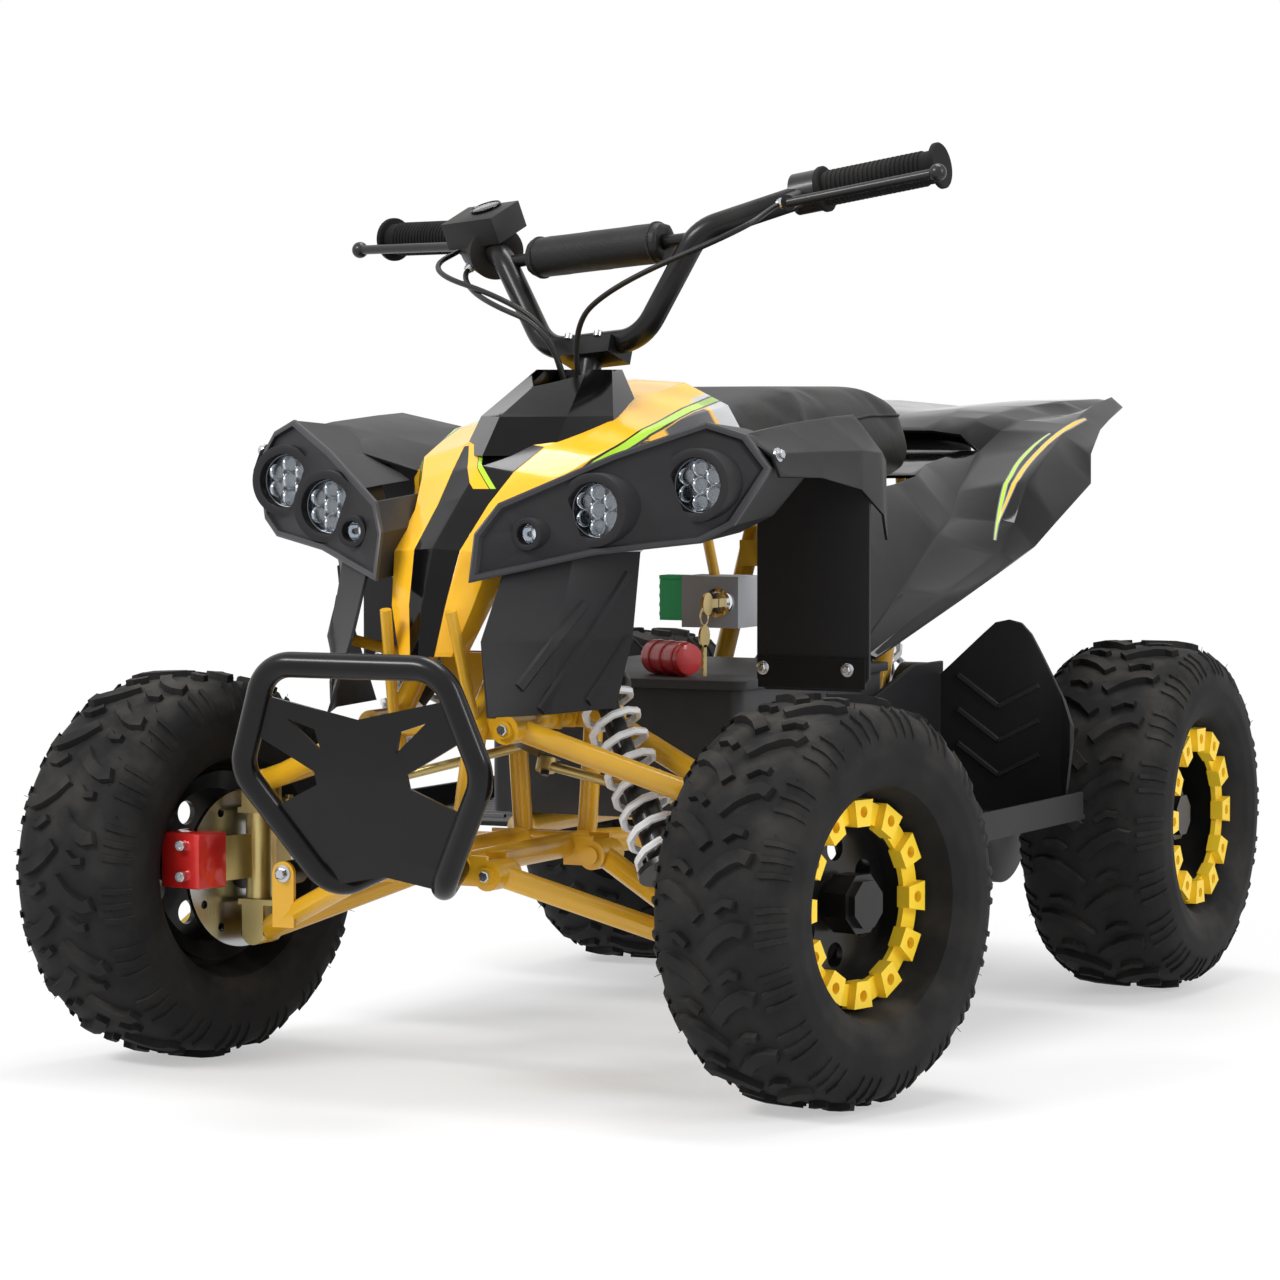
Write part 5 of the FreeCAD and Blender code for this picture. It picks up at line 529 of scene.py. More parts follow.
def smooth_tree():
    """Shades a mesh smooth except where its faces meet at more than an angle."""
    tree, board, given, out = node_group("smooth_by_angle", "GeometryNodeTree",
                                         [("Geometry", SHAPE), ("Angle", NUMBER)], [("Geometry", SHAPE)])
    angles = {0: board.add("GeometryNodeInputMeshEdgeAngle").outputs[0], 1: given["Angle"]}
    sharp = board.add("FunctionNodeCompare", angles, operation="GREATER_THAN").outputs[0]
    normals = board.add("GeometryNodeSetMeshNormal",
                        {"Remove Custom": True, "Face Sharpness": False, "Edge Sharpness": sharp,
                         "Mesh": given["Geometry"]}, mode="SHARPNESS").outputs[0]
    board.feed(normals, out["Geometry"])
    return tree


SMOOTH = smooth_tree()
SMOOTH_ANGLE, EDGE_ANGLE, EDGE_STEPS, WELD_REACH = 32, 30, 2, 0.00002
SMOOTH_ANGLES = {"steering_shroud": 14, "nose_beak": 12, "headlamp_masks": 24, "mud_panels": 20,
                 "side_shrouds": 12, "front_bumper": 24, "footrests": 18}
# The radius in millimetres of each moulded or cast node's edges
EDGE_RADII = {"hood": 1.6, "nose_beak": 1.2, "steering_shroud": 1.6, "headlamp_masks": 1.0,
              "front_fenders": 1.4, "mud_panels": 1.0, "side_shrouds": 1.2, "rear_body": 1.4, "footrests": 1.2,
              "battery_box": 1.5, "battery_lid": 1.2, "switch_box": 1.2, "tail_lamp": 1.0, "caliper_left": 2.5,
              "caliper_right": 2.5, "rear_caliper": 2.0, "throttle_display": 1.8, "drive_motor": 1.5,
              "chain_case": 1.5}
OWN_FINISH = {"rear_body": rear_gloss, "nose_beak": beak_gloss}


def round_edges(obj, radius):
    """A small radius on the edges where an object's faces meet at an angle."""
    bevel = obj.modifiers.new("radius", "BEVEL")
    bevel.width, bevel.segments = radius, EDGE_STEPS
    bevel.limit_method, bevel.angle_limit = "ANGLE", math.radians(EDGE_ANGLE)


def dress_frame():
    """Gives every CAD node the finish of its record slot, its small moulded radii and its shading."""
    slots = {part["node"]: part["material_slot"] for part in frame["record"]["subparts"]}
    angle_input = next(item.identifier for item in SMOOTH.interface.items_tree if item.name == "Angle")
    for name, node in nodes.items():
        # A node that a scene piece replaces can have a slot without a paint: charcoal then stands in
        material = OWN_FINISH.get(name) or paints.get(slots[name], paints["charcoal"])
        if not node.material_slots:
            node.data.materials.append(material)
        for held in node.material_slots:
            held.material = material
        node.modifiers.new("weld", "WELD").merge_threshold = WELD_REACH
        if name in EDGE_RADII:
            round_edges(node, EDGE_RADII[name] * MM)
        smooth = node.modifiers.new("smooth", "NODES")
        smooth.node_group = SMOOTH
        smooth[angle_input] = math.radians(SMOOTH_ANGLES.get(name, SMOOTH_ANGLE))


dress_frame()


# Mesh building

MERGE_REACH, NODE_MERGE_REACH, NEARLY_UPRIGHT, LEAST_RADIUS = 0.000002, 0.00001, 0.9, 0.00005


def finished(name, mesh, material, body, replaced=(), smooth=None):
    """A piece of the bike from a mesh: its finish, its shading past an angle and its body."""
    obj = in_scene(name, mesh)
    mesh.materials.append(material)
    if smooth is not None:
        mesh.shade_smooth()
        mesh.set_sharp_from_angle(angle=math.radians(smooth))
    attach(obj, body)
    if replaced:
        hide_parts(*replaced)
    return obj


def mesh_of(shape):
    """A plain mesh from a bmesh, its doubles merged and its faces turned outwards."""
    bmesh.ops.remove_doubles(shape, verts=shape.verts, dist=MERGE_REACH)
    bmesh.ops.recalc_face_normals(shape, faces=shape.faces)
    mesh = bpy.data.meshes.new("shape")
    shape.to_mesh(mesh)
    shape.free()
    return mesh


def skin_rings(shape, rings, closed_path=False):
    """Faces between rings of points, the last joined to the first or both ends filled."""
    rows = [[shape.verts.new(point) for point in ring] for ring in rings]
    pairs = list(zip(rows, rows[1:])) + ([(rows[-1], rows[0])] if closed_path else [])
    for first, second in pairs:
        for k in range(len(first)):
            n = (k + 1) % len(first)
            shape.faces.new((first[k], first[n], second[n], second[k]))
    if not closed_path:
        shape.faces.new(rows[0][::-1])
        shape.faces.new(rows[-1])


def ring_round(middle, across, over, radius, sides):
    """A circle's points, from the two directions that it lies in."""
    turns = [FULL_TURN * k / sides for k in range(sides)]
    return [middle + (across * math.cos(a) + over * math.sin(a)) * radius for a in turns]


def turned(shape, start, way, profile, sides=32):
    """A turned form: profile is (along, radius) from start in the direction way; ends are filled."""
    way = Vector(way).normalized()
    across = way.orthogonal().normalized()
    over = way.cross(across)
    skin_rings(shape, [ring_round(Vector(start) + way * along, across, over, max(radius, LEAST_RADIUS), sides)
                       for along, radius in profile])


def tube_along(shape, points, radius, sides=8):
    """A thin tube through points that lie close together."""
    rings = []
    for k, point in enumerate(points):
        ahead = (points[min(k + 1, len(points) - 1)] - points[max(k - 1, 0)]).normalized()
        across = ahead.cross(Z_AXIS if abs(ahead.z) < NEARLY_UPRIGHT else X_AXIS).normalized()
        rings.append(ring_round(point, across, ahead.cross(across), radius, sides))
    skin_rings(shape, rings)


def boxed(shape, low, high, place=Matrix()):
    """A rectangular block between two corners, moved by place."""
    low, high = Vector(low), Vector(high)
    for vert in bmesh.ops.create_cube(shape, size=1.0)["verts"]:
        vert.co = place @ ((low + high) / 2 + Vector(c * s for c, s in zip(vert.co, high - low)))


def repeat_tree():
    """Copies of a shape turned evenly about the X axis, made real and given their finish."""
    tree, board, given, out = node_group(
        "turned_copies", "GeometryNodeTree",
        [("Shape", SHAPE), ("Count", "NodeSocketInt"), ("Finish", "NodeSocketMaterial")], [("Geometry", SHAPE)])
    points = board.add("GeometryNodeMeshLine", {"Count": given["Count"], "Offset": (0, 0, 0)}).outputs[0]
    share = board.sum("DIVIDE", board.add("GeometryNodeInputIndex").outputs[0], given["Count"])
    turn = board.add("ShaderNodeCombineXYZ", {"X": board.sum("MULTIPLY", share, FULL_TURN)}).outputs[0]
    copies = board.add("GeometryNodeInstanceOnPoints",
                       {"Points": points, "Instance": given["Shape"], "Rotation": turn}).outputs[0]
    real = board.add("GeometryNodeRealizeInstances", {0: copies}).outputs[0]
    coated = board.add("GeometryNodeSetMaterial", {"Geometry": real, "Material": given["Finish"]}).outputs[0]
    board.feed(coated, out["Geometry"])
    return tree


REPEAT = repeat_tree()


def around_axle(mesh, count, material):
    """The mesh repeated evenly about X, as one plain mesh."""
    holder = in_scene("repeat", mesh)
    modifier = holder.modifiers.new("repeat", "NODES")
    modifier.node_group = REPEAT
    values = {"Count": count, "Finish": material}
    for item in REPEAT.interface.items_tree:
        if item.in_out == "INPUT" and item.name in values:
            modifier[item.identifier] = values[item.name]
    graph = bpy.context.evaluated_depsgraph_get()
    made = bpy.data.meshes.new_from_object(holder.evaluated_get(graph))
    bpy.data.objects.remove(holder)
    return made


def joined(name, placed):
    """Several meshes as one, each given with its place and all without a finish."""
    shape = bmesh.new()
    for mesh, place in placed:
        copy = mesh.copy()
        copy.transform(place)
        shape.from_mesh(copy)
        bpy.data.meshes.remove(copy)
    made = bpy.data.meshes.new(name)
    shape.to_mesh(made)
    shape.free()
    return made


def axle_place(centre, axle):
    """Puts a wheel made about X at its centre, with X along the axle, outwards."""
    axle = Vector(axle).normalized()
    back = Z_AXIS.cross(axle).normalized()
    turn = Matrix((axle, back, axle.cross(back))).transposed().to_4x4()
    return Matrix.Translation(Vector(centre)) @ turn


# Tyres

TYRE_RADIUS, BEAD_RADIUS, BORE_RADIUS = 0.178, 0.092, 0.0772
CASING_STEPS, CASING_SIDES, SMOOTH_TYRE = 26, 96, 32
# The casing from bead to crown: shares of the wall's height and of half the width, None for the bead's own
CASING = ((0.0, None), (0.10, 0.84), (0.24, 0.945), (0.42, 0.985), (0.60, 0.955), (0.74, 0.875), (0.84, 0.76),
          (0.90, 0.60), (0.925, 0.40), (0.935, 0.20), (0.938, 0.0))
# The first of these points that the tread lies on
TREAD_FROM = 4
PITCHES, FRONT_HALF, FRONT_BEAD, REAR_HALF, REAR_BEAD = 18, 0.0725, 0.027, 0.080, 0.051
LUG_RISE, RIB_RISE_SHARE, BAR_RISE, LUG_FOOT, LUG_MARGIN = 0.0062, 0.8, 0.0036, -0.004, 0.0003
ARM_WIDTH, RIB_WIDTH, BAR_WIDTH, OUTMOST_SHARE = 0.013, 0.007, 0.0058, 0.98
# A lug's section: shares of half its width, and whether that point is on its top
LUG_SECTION = ((1.18, False), (0.86, True), (-0.86, True), (-1.18, False))
# Lines of the tread: shares of half the width, and of one pitch round the tyre
ARM_LINE = ((0.02, 0.0), (0.18, 0.20), (0.36, 0.34), (0.50, 0.40), (0.62, 0.36))
RIB_LINE = ((0.20, 0.62), (0.34, 0.74), (0.48, 0.72))
BAR_LINE = ((0.72, 0.0), (0.86, 0.03), (0.955, 0.04))
BAR_STARTS = (0.16, 0.40, 0.64)
FRONT_AXLE = Vector((0.974761, -0.22325, 0.0))
FRONT_CENTRES = {"left": Vector((0.32928, -0.41965, TYRE_RADIUS)),
                 "right": Vector((-0.32928, -0.38035, TYRE_RADIUS))}
REAR_CENTRE = Vector((0.284, 0.480, TYRE_RADIUS))


def wall_radius(share):
    """The radius at a share of the wall's height."""
    return BEAD_RADIUS + (TYRE_RADIUS - BEAD_RADIUS) * share


def casing_point(share, half, bead, side):
    """A point of the casing, (across, radius); share runs from the bead, 0, to the crown, 1."""
    steps = [(up, bead / half if out is None else out) for up, out in CASING]
    up = share * steps[-1][0]
    for (low, out_low), (high, out_high) in zip(steps, steps[1:]):
        if up <= high:
            out = out_low + (out_high - out_low) * (up - low) / (high - low)
            break
    return side * out * half, wall_radius(up)


def crown_radius(out_share):
    """The casing's radius at a share of the half width, on the tread and shoulder."""
    steps = [(out, up) for up, out in CASING[TREAD_FROM:]]
    out_share = min(out_share, steps[0][0])
    for (out_high, low), (out_low, high) in zip(steps, steps[1:]):
        if out_high >= out_share >= out_low:
            return wall_radius(high + (low - high) * (out_share - out_low) / (out_high - out_low))
    return wall_radius(steps[-1][1])


def lug_strip(shape, half, line, width, rise):
    """A raised rubber bar laid on the casing along a line of (share of half width, turn)."""
    rings = []
    spots = [Vector((out * half, turn * TYRE_RADIUS)) for out, turn in line]
    for k, spot in enumerate(spots):
        ahead = (spots[min(k + 1, len(spots) - 1)] - spots[max(k - 1, 0)]).normalized()
        side = Vector((-ahead.y, ahead.x)) * width / 2
        ring = []
        for step, on_top in LUG_SECTION:
            across = spot.x + side.x * step
            angle = (spot.y + side.y * step) / TYRE_RADIUS
            radius = crown_radius(min(abs(across) / half, OUTMOST_SHARE)) + (rise if on_top else LUG_FOOT)
            radius = min(radius, TYRE_RADIUS - LUG_MARGIN)
            ring.append(Vector((across, radius * math.sin(angle), radius * math.cos(angle))))
        rings.append(ring)
    skin_rings(shape, rings)


def tread_pitch(half, pitch):
    """One pitch's lugs: a broad arrow of two arms, inner ribs, and three bars on each shoulder."""
    shape = bmesh.new()
    for side, offset in ((1, 0.0), (-1, pitch * 0.5)):
        lugs = [(ARM_LINE, 0.0, ARM_WIDTH, LUG_RISE), (RIB_LINE, 0.0, RIB_WIDTH, LUG_RISE * RIB_RISE_SHARE)]
        lugs += [(BAR_LINE, start, BAR_WIDTH, BAR_RISE) for start in BAR_STARTS]
        for line, start, width, rise in lugs:
            laid = [(side * out, offset + pitch * (start + turn)) for out, turn in line]
            lug_strip(shape, half, laid, width, rise)
    return mesh_of(shape)


HAIRS_PER_PITCH, HAIR_ROOT, HAIR_RADII, HAIR_REACHES = 4, 0.001, (0.0004, 0.00022), (0.004, 0.0085)
HAIR_PLACES, HAIR_SCATTER, HAIR_AIM, GROUND_SIDE = (0.60, 0.80, 0.92), 0.4, 0.45, -0.90


def moulding_hairs(half, pitches):
    """The fine rubber hairs on a new tyre's shoulders, none of them where the tyre stands on the ground."""
    hairs = bmesh.new()
    count = pitches * HAIRS_PER_PITCH
    for k in range(count):
        side = 1 if k % 2 else -1
        angle = FULL_TURN * (k + chance.uniform(-HAIR_SCATTER, HAIR_SCATTER)) / count
        if math.cos(angle) < GROUND_SIDE:
            continue
        out = chance.choice(HAIR_PLACES)
        radius = crown_radius(out)
        root = Vector((side * out * half, radius * math.sin(angle), radius * math.cos(angle)))
        way = Vector((side * (out - HAIR_AIM), math.sin(angle), math.cos(angle))).normalized()
        reach = chance.uniform(*HAIR_REACHES)
        turned(hairs, root - way * HAIR_ROOT, way, ((0, HAIR_RADII[0]), (reach, HAIR_RADII[1])), 4)
    return mesh_of(hairs)


def tyre_mesh(half, bead, pitches):
    """One knobby tyre about X: its casing, its tread and the moulding hairs on its shoulders."""
    line = []
    for side in SIDES:
        run = [casing_point(k / CASING_STEPS, half, bead, side) for k in range(CASING_STEPS + 1)]
        line += run if side == 1 else run[::-1][1:]
    line += [(-bead, BORE_RADIUS), (bead, BORE_RADIUS)]
    rings = [[Vector((across, radius * math.sin(a), radius * math.cos(a))) for across, radius in line]
             for a in (FULL_TURN * k / CASING_SIDES for k in range(CASING_SIDES))]
    casing = bmesh.new()
    skin_rings(casing, rings, closed_path=True)
    tread = around_axle(tread_pitch(half, FULL_TURN / pitches), pitches, paints["tyre_rubber"])
    hairs = moulding_hairs(half, pitches)
    return joined("tyre", [(mesh, Matrix()) for mesh in (mesh_of(casing), tread, hairs)])


def make_tyres():
    """The four tyres: each front one on its own wheel, both rear ones on the axle."""
    front = tyre_mesh(FRONT_HALF, FRONT_BEAD, PITCHES)
    for name, axle in (("left", FRONT_AXLE), ("right", -FRONT_AXLE)):
        mesh = joined("front_tyre", [(front, axle_place(FRONT_CENTRES[name], axle))])
        finished("knobby_front_tyre_" + name, mesh, paints["tyre_rubber"], "front_wheel_" + name,
                 ("front_tyre_" + name,), smooth=SMOOTH_TYRE)
    rear = tyre_mesh(REAR_HALF, REAR_BEAD, PITCHES)
    places = [axle_place(mirrored(REAR_CENTRE, side), X_AXIS * side) for side in SIDES]
    mesh = joined("rear_tyres", [(rear, place) for place in places])
    finished("knobby_rear_tyres", mesh, paints["tyre_rubber"], "rear_axle", ("rear_tyres",),
             smooth=SMOOTH_TYRE)


# Lamps

LAMP_RADIUS, SMALL_LAMP_RADIUS = 0.024, 0.009
LAMPS = ((Vector((0.205094, -0.409708, 0.532008)), LAMP_RADIUS),
         (Vector((0.132088, -0.461654, 0.511064)), LAMP_RADIUS))
SMALL_LAMP = (Vector((0.08609, -0.49615, 0.4908)), SMALL_LAMP_RADIUS)
CUP_COUNT, CUP_RING_SHARE, CUPS_BACK, LEDS_BACK = 6, 0.62, 0.0012, 0.0090
CUP_PROFILE = ((0.0088, 0.0), (0.0088, 0.0040), (0.0004, 0.0074), (0.0, 0.0072), (0.0003, 0.0069),
               (0.0034, 0.0060), (0.0062, 0.0042), (0.0078, 0.0020), (0.0080, 0.0))
LED_PROFILE = ((0, 0.0022), (0.0012, 0.0020), (0.002, 0.0011), (0.0022, 0.0))
# A bowl's rim and floor: metres along, and shares of the lamp's radius
BOWL_RIM = ((0.034, 0.99), (0.0, 0.99), (0.0005, 0.95), (0.0035, 0.92))
BOWL_FLOOR, SMALL_BOWL_FLOOR = ((0.0050, 0.90), (0.0050, 0.0)), ((0.011, 0.45), (0.012, 0.0))
LENS_BULGE, SMALL_LENS_BULGE, LENS_WALL, LENS_OUTER_SHARE, LENS_INNER_SHARE = 0.0036, 0.002, 0.0012, 0.97, 0.93


def lamp_cups(radius):
    """Seven chromed cups, one in the middle and six round it, about X, opening towards -X."""
    outer, middle = bmesh.new(), bmesh.new()
    turned(outer, Vector((0, 0, radius * CUP_RING_SHARE)), X_AXIS, CUP_PROFILE, 20)
    turned(middle, Vector((0, 0, 0)), X_AXIS, CUP_PROFILE, 20)
    ring = around_axle(mesh_of(outer), CUP_COUNT, chrome)
    return joined("cups", [(ring, Matrix()), (mesh_of(middle), Matrix())])


def lamp_bowl(middle, radius):
    """The bowl in a lamp's housing, flat behind the cups of a large lamp and a cone in a small one."""
    floor = BOWL_FLOOR if radius == LAMP_RADIUS else SMALL_BOWL_FLOOR
    shape = bmesh.new()
    turned(shape, middle, Y_AXIS, [(along, radius * share) for along, share in BOWL_RIM + floor], 40)
    return mesh_of(shape)


def add_lens(shape, middle, radius):
    """A domed lens with a wall."""
    bulge = LENS_BULGE if radius == LAMP_RADIUS else SMALL_LENS_BULGE
    domes = [[(-bulge * (1 - (k / 6) ** 2), radius * share * k / 6) for k in range(7)]
             for share in (LENS_OUTER_SHARE, LENS_INNER_SHARE)]
    inner = [(LENS_WALL + along, out) for along, out in reversed(domes[1])]
    turned(shape, middle, Y_AXIS, domes[0] + [(LENS_WALL, radius * LENS_OUTER_SHARE)] + inner, 40)


def add_leds(shape, middle, radius):
    """The light of each cup of a large lamp."""
    for k in range(CUP_COUNT + 1):
        turn = FULL_TURN * k / CUP_COUNT
        reach = radius * CUP_RING_SHARE if k < CUP_COUNT else 0.0
        place = middle + Vector((reach * math.sin(turn), LEDS_BACK, reach * math.cos(turn)))
        turned(shape, place, -Y_AXIS, LED_PROFILE, 12)


def make_lamps():
    """Chromed bowls with seven LED cups behind clear domed lenses, and the small side lamps."""
    bowls, cups, lenses, leds = [], [], bmesh.new(), bmesh.new()
    facing = Matrix.Rotation(math.radians(90), 4, "Z")
    for side in SIDES:
        for spot, radius in LAMPS + (SMALL_LAMP,):
            middle = mirrored(spot, side)
            large = radius == LAMP_RADIUS
            (bowls if large else cups).append((lamp_bowl(middle, radius), Matrix()))
            add_lens(lenses, middle, radius)
            if large:
                cups.append((lamp_cups(radius), Matrix.Translation(middle + Y_AXIS * CUPS_BACK) @ facing))
                add_leds(leds, middle, radius)
    cream = finish("led_cream", tone(236, 226, 178), 0.3, grain=300.0, spread=0.03, dust=0.0)
    for name, mesh, material, replaced, smooth in (
            ("lamp_bowls", joined("lamp_bowls", bowls), bowl_grey, ("headlamps",), 40),
            ("lamp_cups", joined("lamp_cups", cups), chrome, ("headlamps",), 40),
            ("lamp_lenses", mesh_of(lenses), lens_clear, ("headlamps",), 50),
            ("lamp_leds", mesh_of(leds), cream, (), 40)):
        finished(name, mesh, material, "chassis", replaced, smooth=smooth)


# Cables

# Each cable: its name, its length and its route from the lever down
CABLES = (
    ("brake_cable_left", 0.308,
     [(0.1843, -0.1911, 0.7822), (0.1784, -0.1908, 0.7813), (0.1757, -0.2532, 0.7578),
      (0.0495, -0.2640, 0.7089), (-0.0020, -0.2527, 0.6683), (0.0053, -0.2412, 0.6126)]),
    ("brake_cable_right", 0.308,
     [(-0.1814, -0.1136, 0.7503), (-0.1758, -0.1158, 0.7503), (-0.1947, -0.1748, 0.7254),
      (-0.0772, -0.2371, 0.6979), (-0.0196, -0.2490, 0.6668), (-0.0123, -0.2375, 0.6111)]),
    ("throttle_cable", 0.260,
     [(-0.1619, -0.1417, 0.7287), (-0.1696, -0.1467, 0.7209), (-0.0994, -0.2416, 0.6960),
      (-0.0127, -0.2597, 0.6675), (-0.0054, -0.2482, 0.6118)]),
)
CABLE_DIAMETER = 0.0052


def make_cables():
    """The two brake cables and the throttle cable, from their levers down behind the steering shroud."""
    for name, length, route in CABLES:
        curve = bpy.data.curves.new(name, "CURVE")
        curve.dimensions, curve.resolution_u = "3D", 16
        curve.bevel_depth, curve.bevel_resolution, curve.use_fill_caps = CABLE_DIAMETER / 2, 4, True
        line = curve.splines.new("NURBS")
        line.points.add(len(route) - 1)
        for point, spot in zip(line.points, route):
            point.co = (*spot, 1.0)
        line.order_u, line.use_endpoint_u = 3, True
        curve.materials.append(paints["cable_black"])
        cable = in_scene(name, curve)
        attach(cable, "steering")
        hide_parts("control_cables")


# Seat and bar cover

SMOOTH_PASSES, SMOOTH_FACTOR, PUFF_FRAMES, PUFF_QUALITY, PUFF_PRESSURE = 2, 0.5, 20, 4, 4.0
# The seat is held by its lowest edge, the bar cover nowhere
SEAT_HELD, NOWHERE_HELD = 0.012, -1.0


def merged_copy(node, grow):
    """A node's mesh with its doubles merged, scaled a little about its middle."""
    shape = bmesh.new()
    shape.from_mesh(nodes[node].data)
    bmesh.ops.remove_doubles(shape, verts=shape.verts, dist=NODE_MERGE_REACH)
    low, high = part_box(node)
    middle = (low + high) / 2
    for vert in shape.verts:
        vert.co = middle + Vector(c * g for c, g in zip(vert.co - middle, grow))
    bmesh.ops.recalc_face_normals(shape, faces=shape.faces)
    mesh = bpy.data.meshes.new(node + "_cover")
    shape.to_mesh(mesh)
    shape.free()
    return mesh


def baked(obj):
    """An object's mesh as its modifiers leave it; the modifiers are then removed."""
    graph = bpy.context.evaluated_depsgraph_get()
    made = bpy.data.meshes.new_from_object(obj.evaluated_get(graph))
    obj.modifiers.clear()
    obj.data = made
    return made


def puff_up(obj, cap, held_below):
    """Blows a cover up as cloth, held where it is lower than held_below; no point moves past the cap."""
    start = [vert.co.copy() for vert in obj.data.vertices]
    held = obj.vertex_groups.new(name="held")
    held.add([v.index for v in obj.data.vertices if v.co.z < held_below], 1.0, "REPLACE")
    cloth = obj.modifiers.new("puff", "CLOTH")
    settings = cloth.settings
    settings.use_pressure, settings.uniform_pressure_force = True, PUFF_PRESSURE
    settings.effector_weights.gravity = 0
    settings.vertex_group_mass = "held"
    settings.quality = PUFF_QUALITY
    cloth.collision_settings.use_collision = False
    for step in range(1, PUFF_FRAMES + 1):
        bpy.context.scene.frame_set(step)
    puffed = baked(obj)
    obj.vertex_groups.clear()
    bpy.context.scene.frame_set(1)
    for vert, first in zip(puffed.vertices, start):
        moved = vert.co - first
        if moved.length > cap:
            vert.co = first + moved * (cap / moved.length)


def padded_piece(name, node, grow, voxel, cap, held_below, material, body):
    """A padded cover made from the node's form: an even mesh, puffed up, smoothed and divided once."""
    obj = in_scene(name, merged_copy(node, grow))
    remesh = obj.modifiers.new("even", "REMESH")
    remesh.mode, remesh.voxel_size, remesh.use_smooth_shade = "VOXEL", voxel, True
    baked(obj)
    puff_up(obj, cap, held_below)
    shape = bmesh.new()
    shape.from_mesh(obj.data)
    for _ in range(SMOOTH_PASSES):
        bmesh.ops.smooth_vert(shape, verts=shape.verts, factor=SMOOTH_FACTOR, use_axis_x=True, use_axis_y=True,
                              use_axis_z=True)
    shape.to_mesh(obj.data)
    shape.free()
    divide = obj.modifiers.new("smooth", "SUBSURF")
    divide.levels = divide.render_levels = 1
    obj.data.materials.clear()
    obj.data.materials.append(material)
    obj.data.shade_smooth()
    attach(obj, body)
    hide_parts(node)
    return obj


def make_padding():
    """The saddle and the cover of the bar's brace, with what is sewn on them."""
    low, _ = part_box("seat")
    seat = padded_piece("padded_seat", "seat", grow=(0.985, 0.985, 0.975), voxel=0.006, cap=0.006,
                        held_below=low.z + SEAT_HELD, material=seat_vinyl, body="chassis")
    make_seat_piping(seat)
    cover = padded_piece("padded_bar_cover", "handlebar_pad", grow=(0.97, 0.95, 0.95), voxel=0.004, cap=0.004,
                         held_below=NOWHERE_HELD, material=pad_vinyl, body="steering")
    make_cover_seams(cover)


def cover_surface(obj):
    """A padded cover's surface, to lay seams on."""
    return BVHTree.FromObject(obj, bpy.context.evaluated_depsgraph_get())


PIPING_RADIUS, PIPING_LIFT, PIPING_STEPS, PIPING_SPAN = 0.0017, 0.0004, 60, (0.06, 0.90)
PIPING_LOW, PIPING_RISE, PIPING_RISE_RATE, PIPING_CAST = 0.50, 0.26, 1.25, 0.3
SEAM_RADIUS, SEAM_LIFT, SEAM_STEPS, SEAM_SHARES, SEAM_CAST = 0.0013, 0.0003, 40, (0.07, 0.93), 0.06
BRACE_ENDS = Vector((-0.0815, -0.1691, 0.7350)), Vector((0.0745, -0.2021, 0.7487))


def make_seat_piping(seat):
    """Raised piping along both sides of the seat, laid on the cover's own surface."""
    surface_tree = cover_surface(seat)
    low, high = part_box("seat")
    shape = bmesh.new()
    for side in SIDES:
        line = []
        for k in range(PIPING_STEPS + 1):
            share = k / PIPING_STEPS
            back = low.y + (high.y - low.y) * (PIPING_SPAN[0] + PIPING_SPAN[1] * share)
            climb = min(1.0, share * PIPING_RISE_RATE)
            up = low.z + (high.z - low.z) * (PIPING_LOW + PIPING_RISE * climb)
            spot, normal, _, _ = surface_tree.ray_cast(Vector((side * PIPING_CAST, back, up)), X_AXIS * -side)
            if spot is not None:
                line.append(spot + normal * PIPING_LIFT)
        tube_along(shape, line, PIPING_RADIUS, 8)
    finished("seat_piping", mesh_of(shape), pad_vinyl, "chassis", smooth=40)


def make_cover_seams(cover):
    """The sewn seam round each end of the bar cover."""
    surface_tree = cover_surface(cover)
    way = (BRACE_ENDS[1] - BRACE_ENDS[0]).normalized()
    up = way.orthogonal().normalized()
    side = way.cross(up)
    shape = bmesh.new()
    for share in SEAM_SHARES:
        middle = BRACE_ENDS[0].lerp(BRACE_ENDS[1], share)
        loop = []
        for k in range(SEAM_STEPS + 1):
            angle = FULL_TURN * k / SEAM_STEPS
            out = up * math.cos(angle) + side * math.sin(angle)
            spot, _, _, _ = surface_tree.ray_cast(middle + out * SEAM_CAST, -out)
            if spot is not None:
                loop.append(spot + out * SEAM_LIFT)
        tube_along(shape, loop, SEAM_RADIUS, 6)
    finished("bar_cover_seams", mesh_of(shape), seat_vinyl, "steering", smooth=40)


# Brow rims of the lamp masks

# The mask's outline from its inner low corner: shares across and up
MASK_OUTLINE = ((0.00, 0.00), (0.00, 0.30), (0.07, 0.49), (0.45, 0.80), (0.76, 1.00), (0.90, 0.92),
                (1.00, 0.71), (0.89, 0.35), (0.78, 0.24), (0.42, 0.17))
MASK_IN, MASK_OUT, MASK_LOW, MASK_HIGH = 0.046, 0.257, 0.450, 0.586
MASK_BACK, MASK_BACK_ACROSS, MASK_BACK_UP, BROW_FORWARD = -0.515, 0.135, 0.034, 0.017
# The brow's section: steps inwards from the outline, and back
BROW_SECTION = ((-0.0006, 0.0015), (-0.0006, -0.0032), (0.0012, -0.0044), (0.0046, -0.0040), (0.0062, 0.0006),
                (0.0050, 0.0015))
SHARPEST_CORNER, STRAIGHT_CORNER = 0.45, 0.05


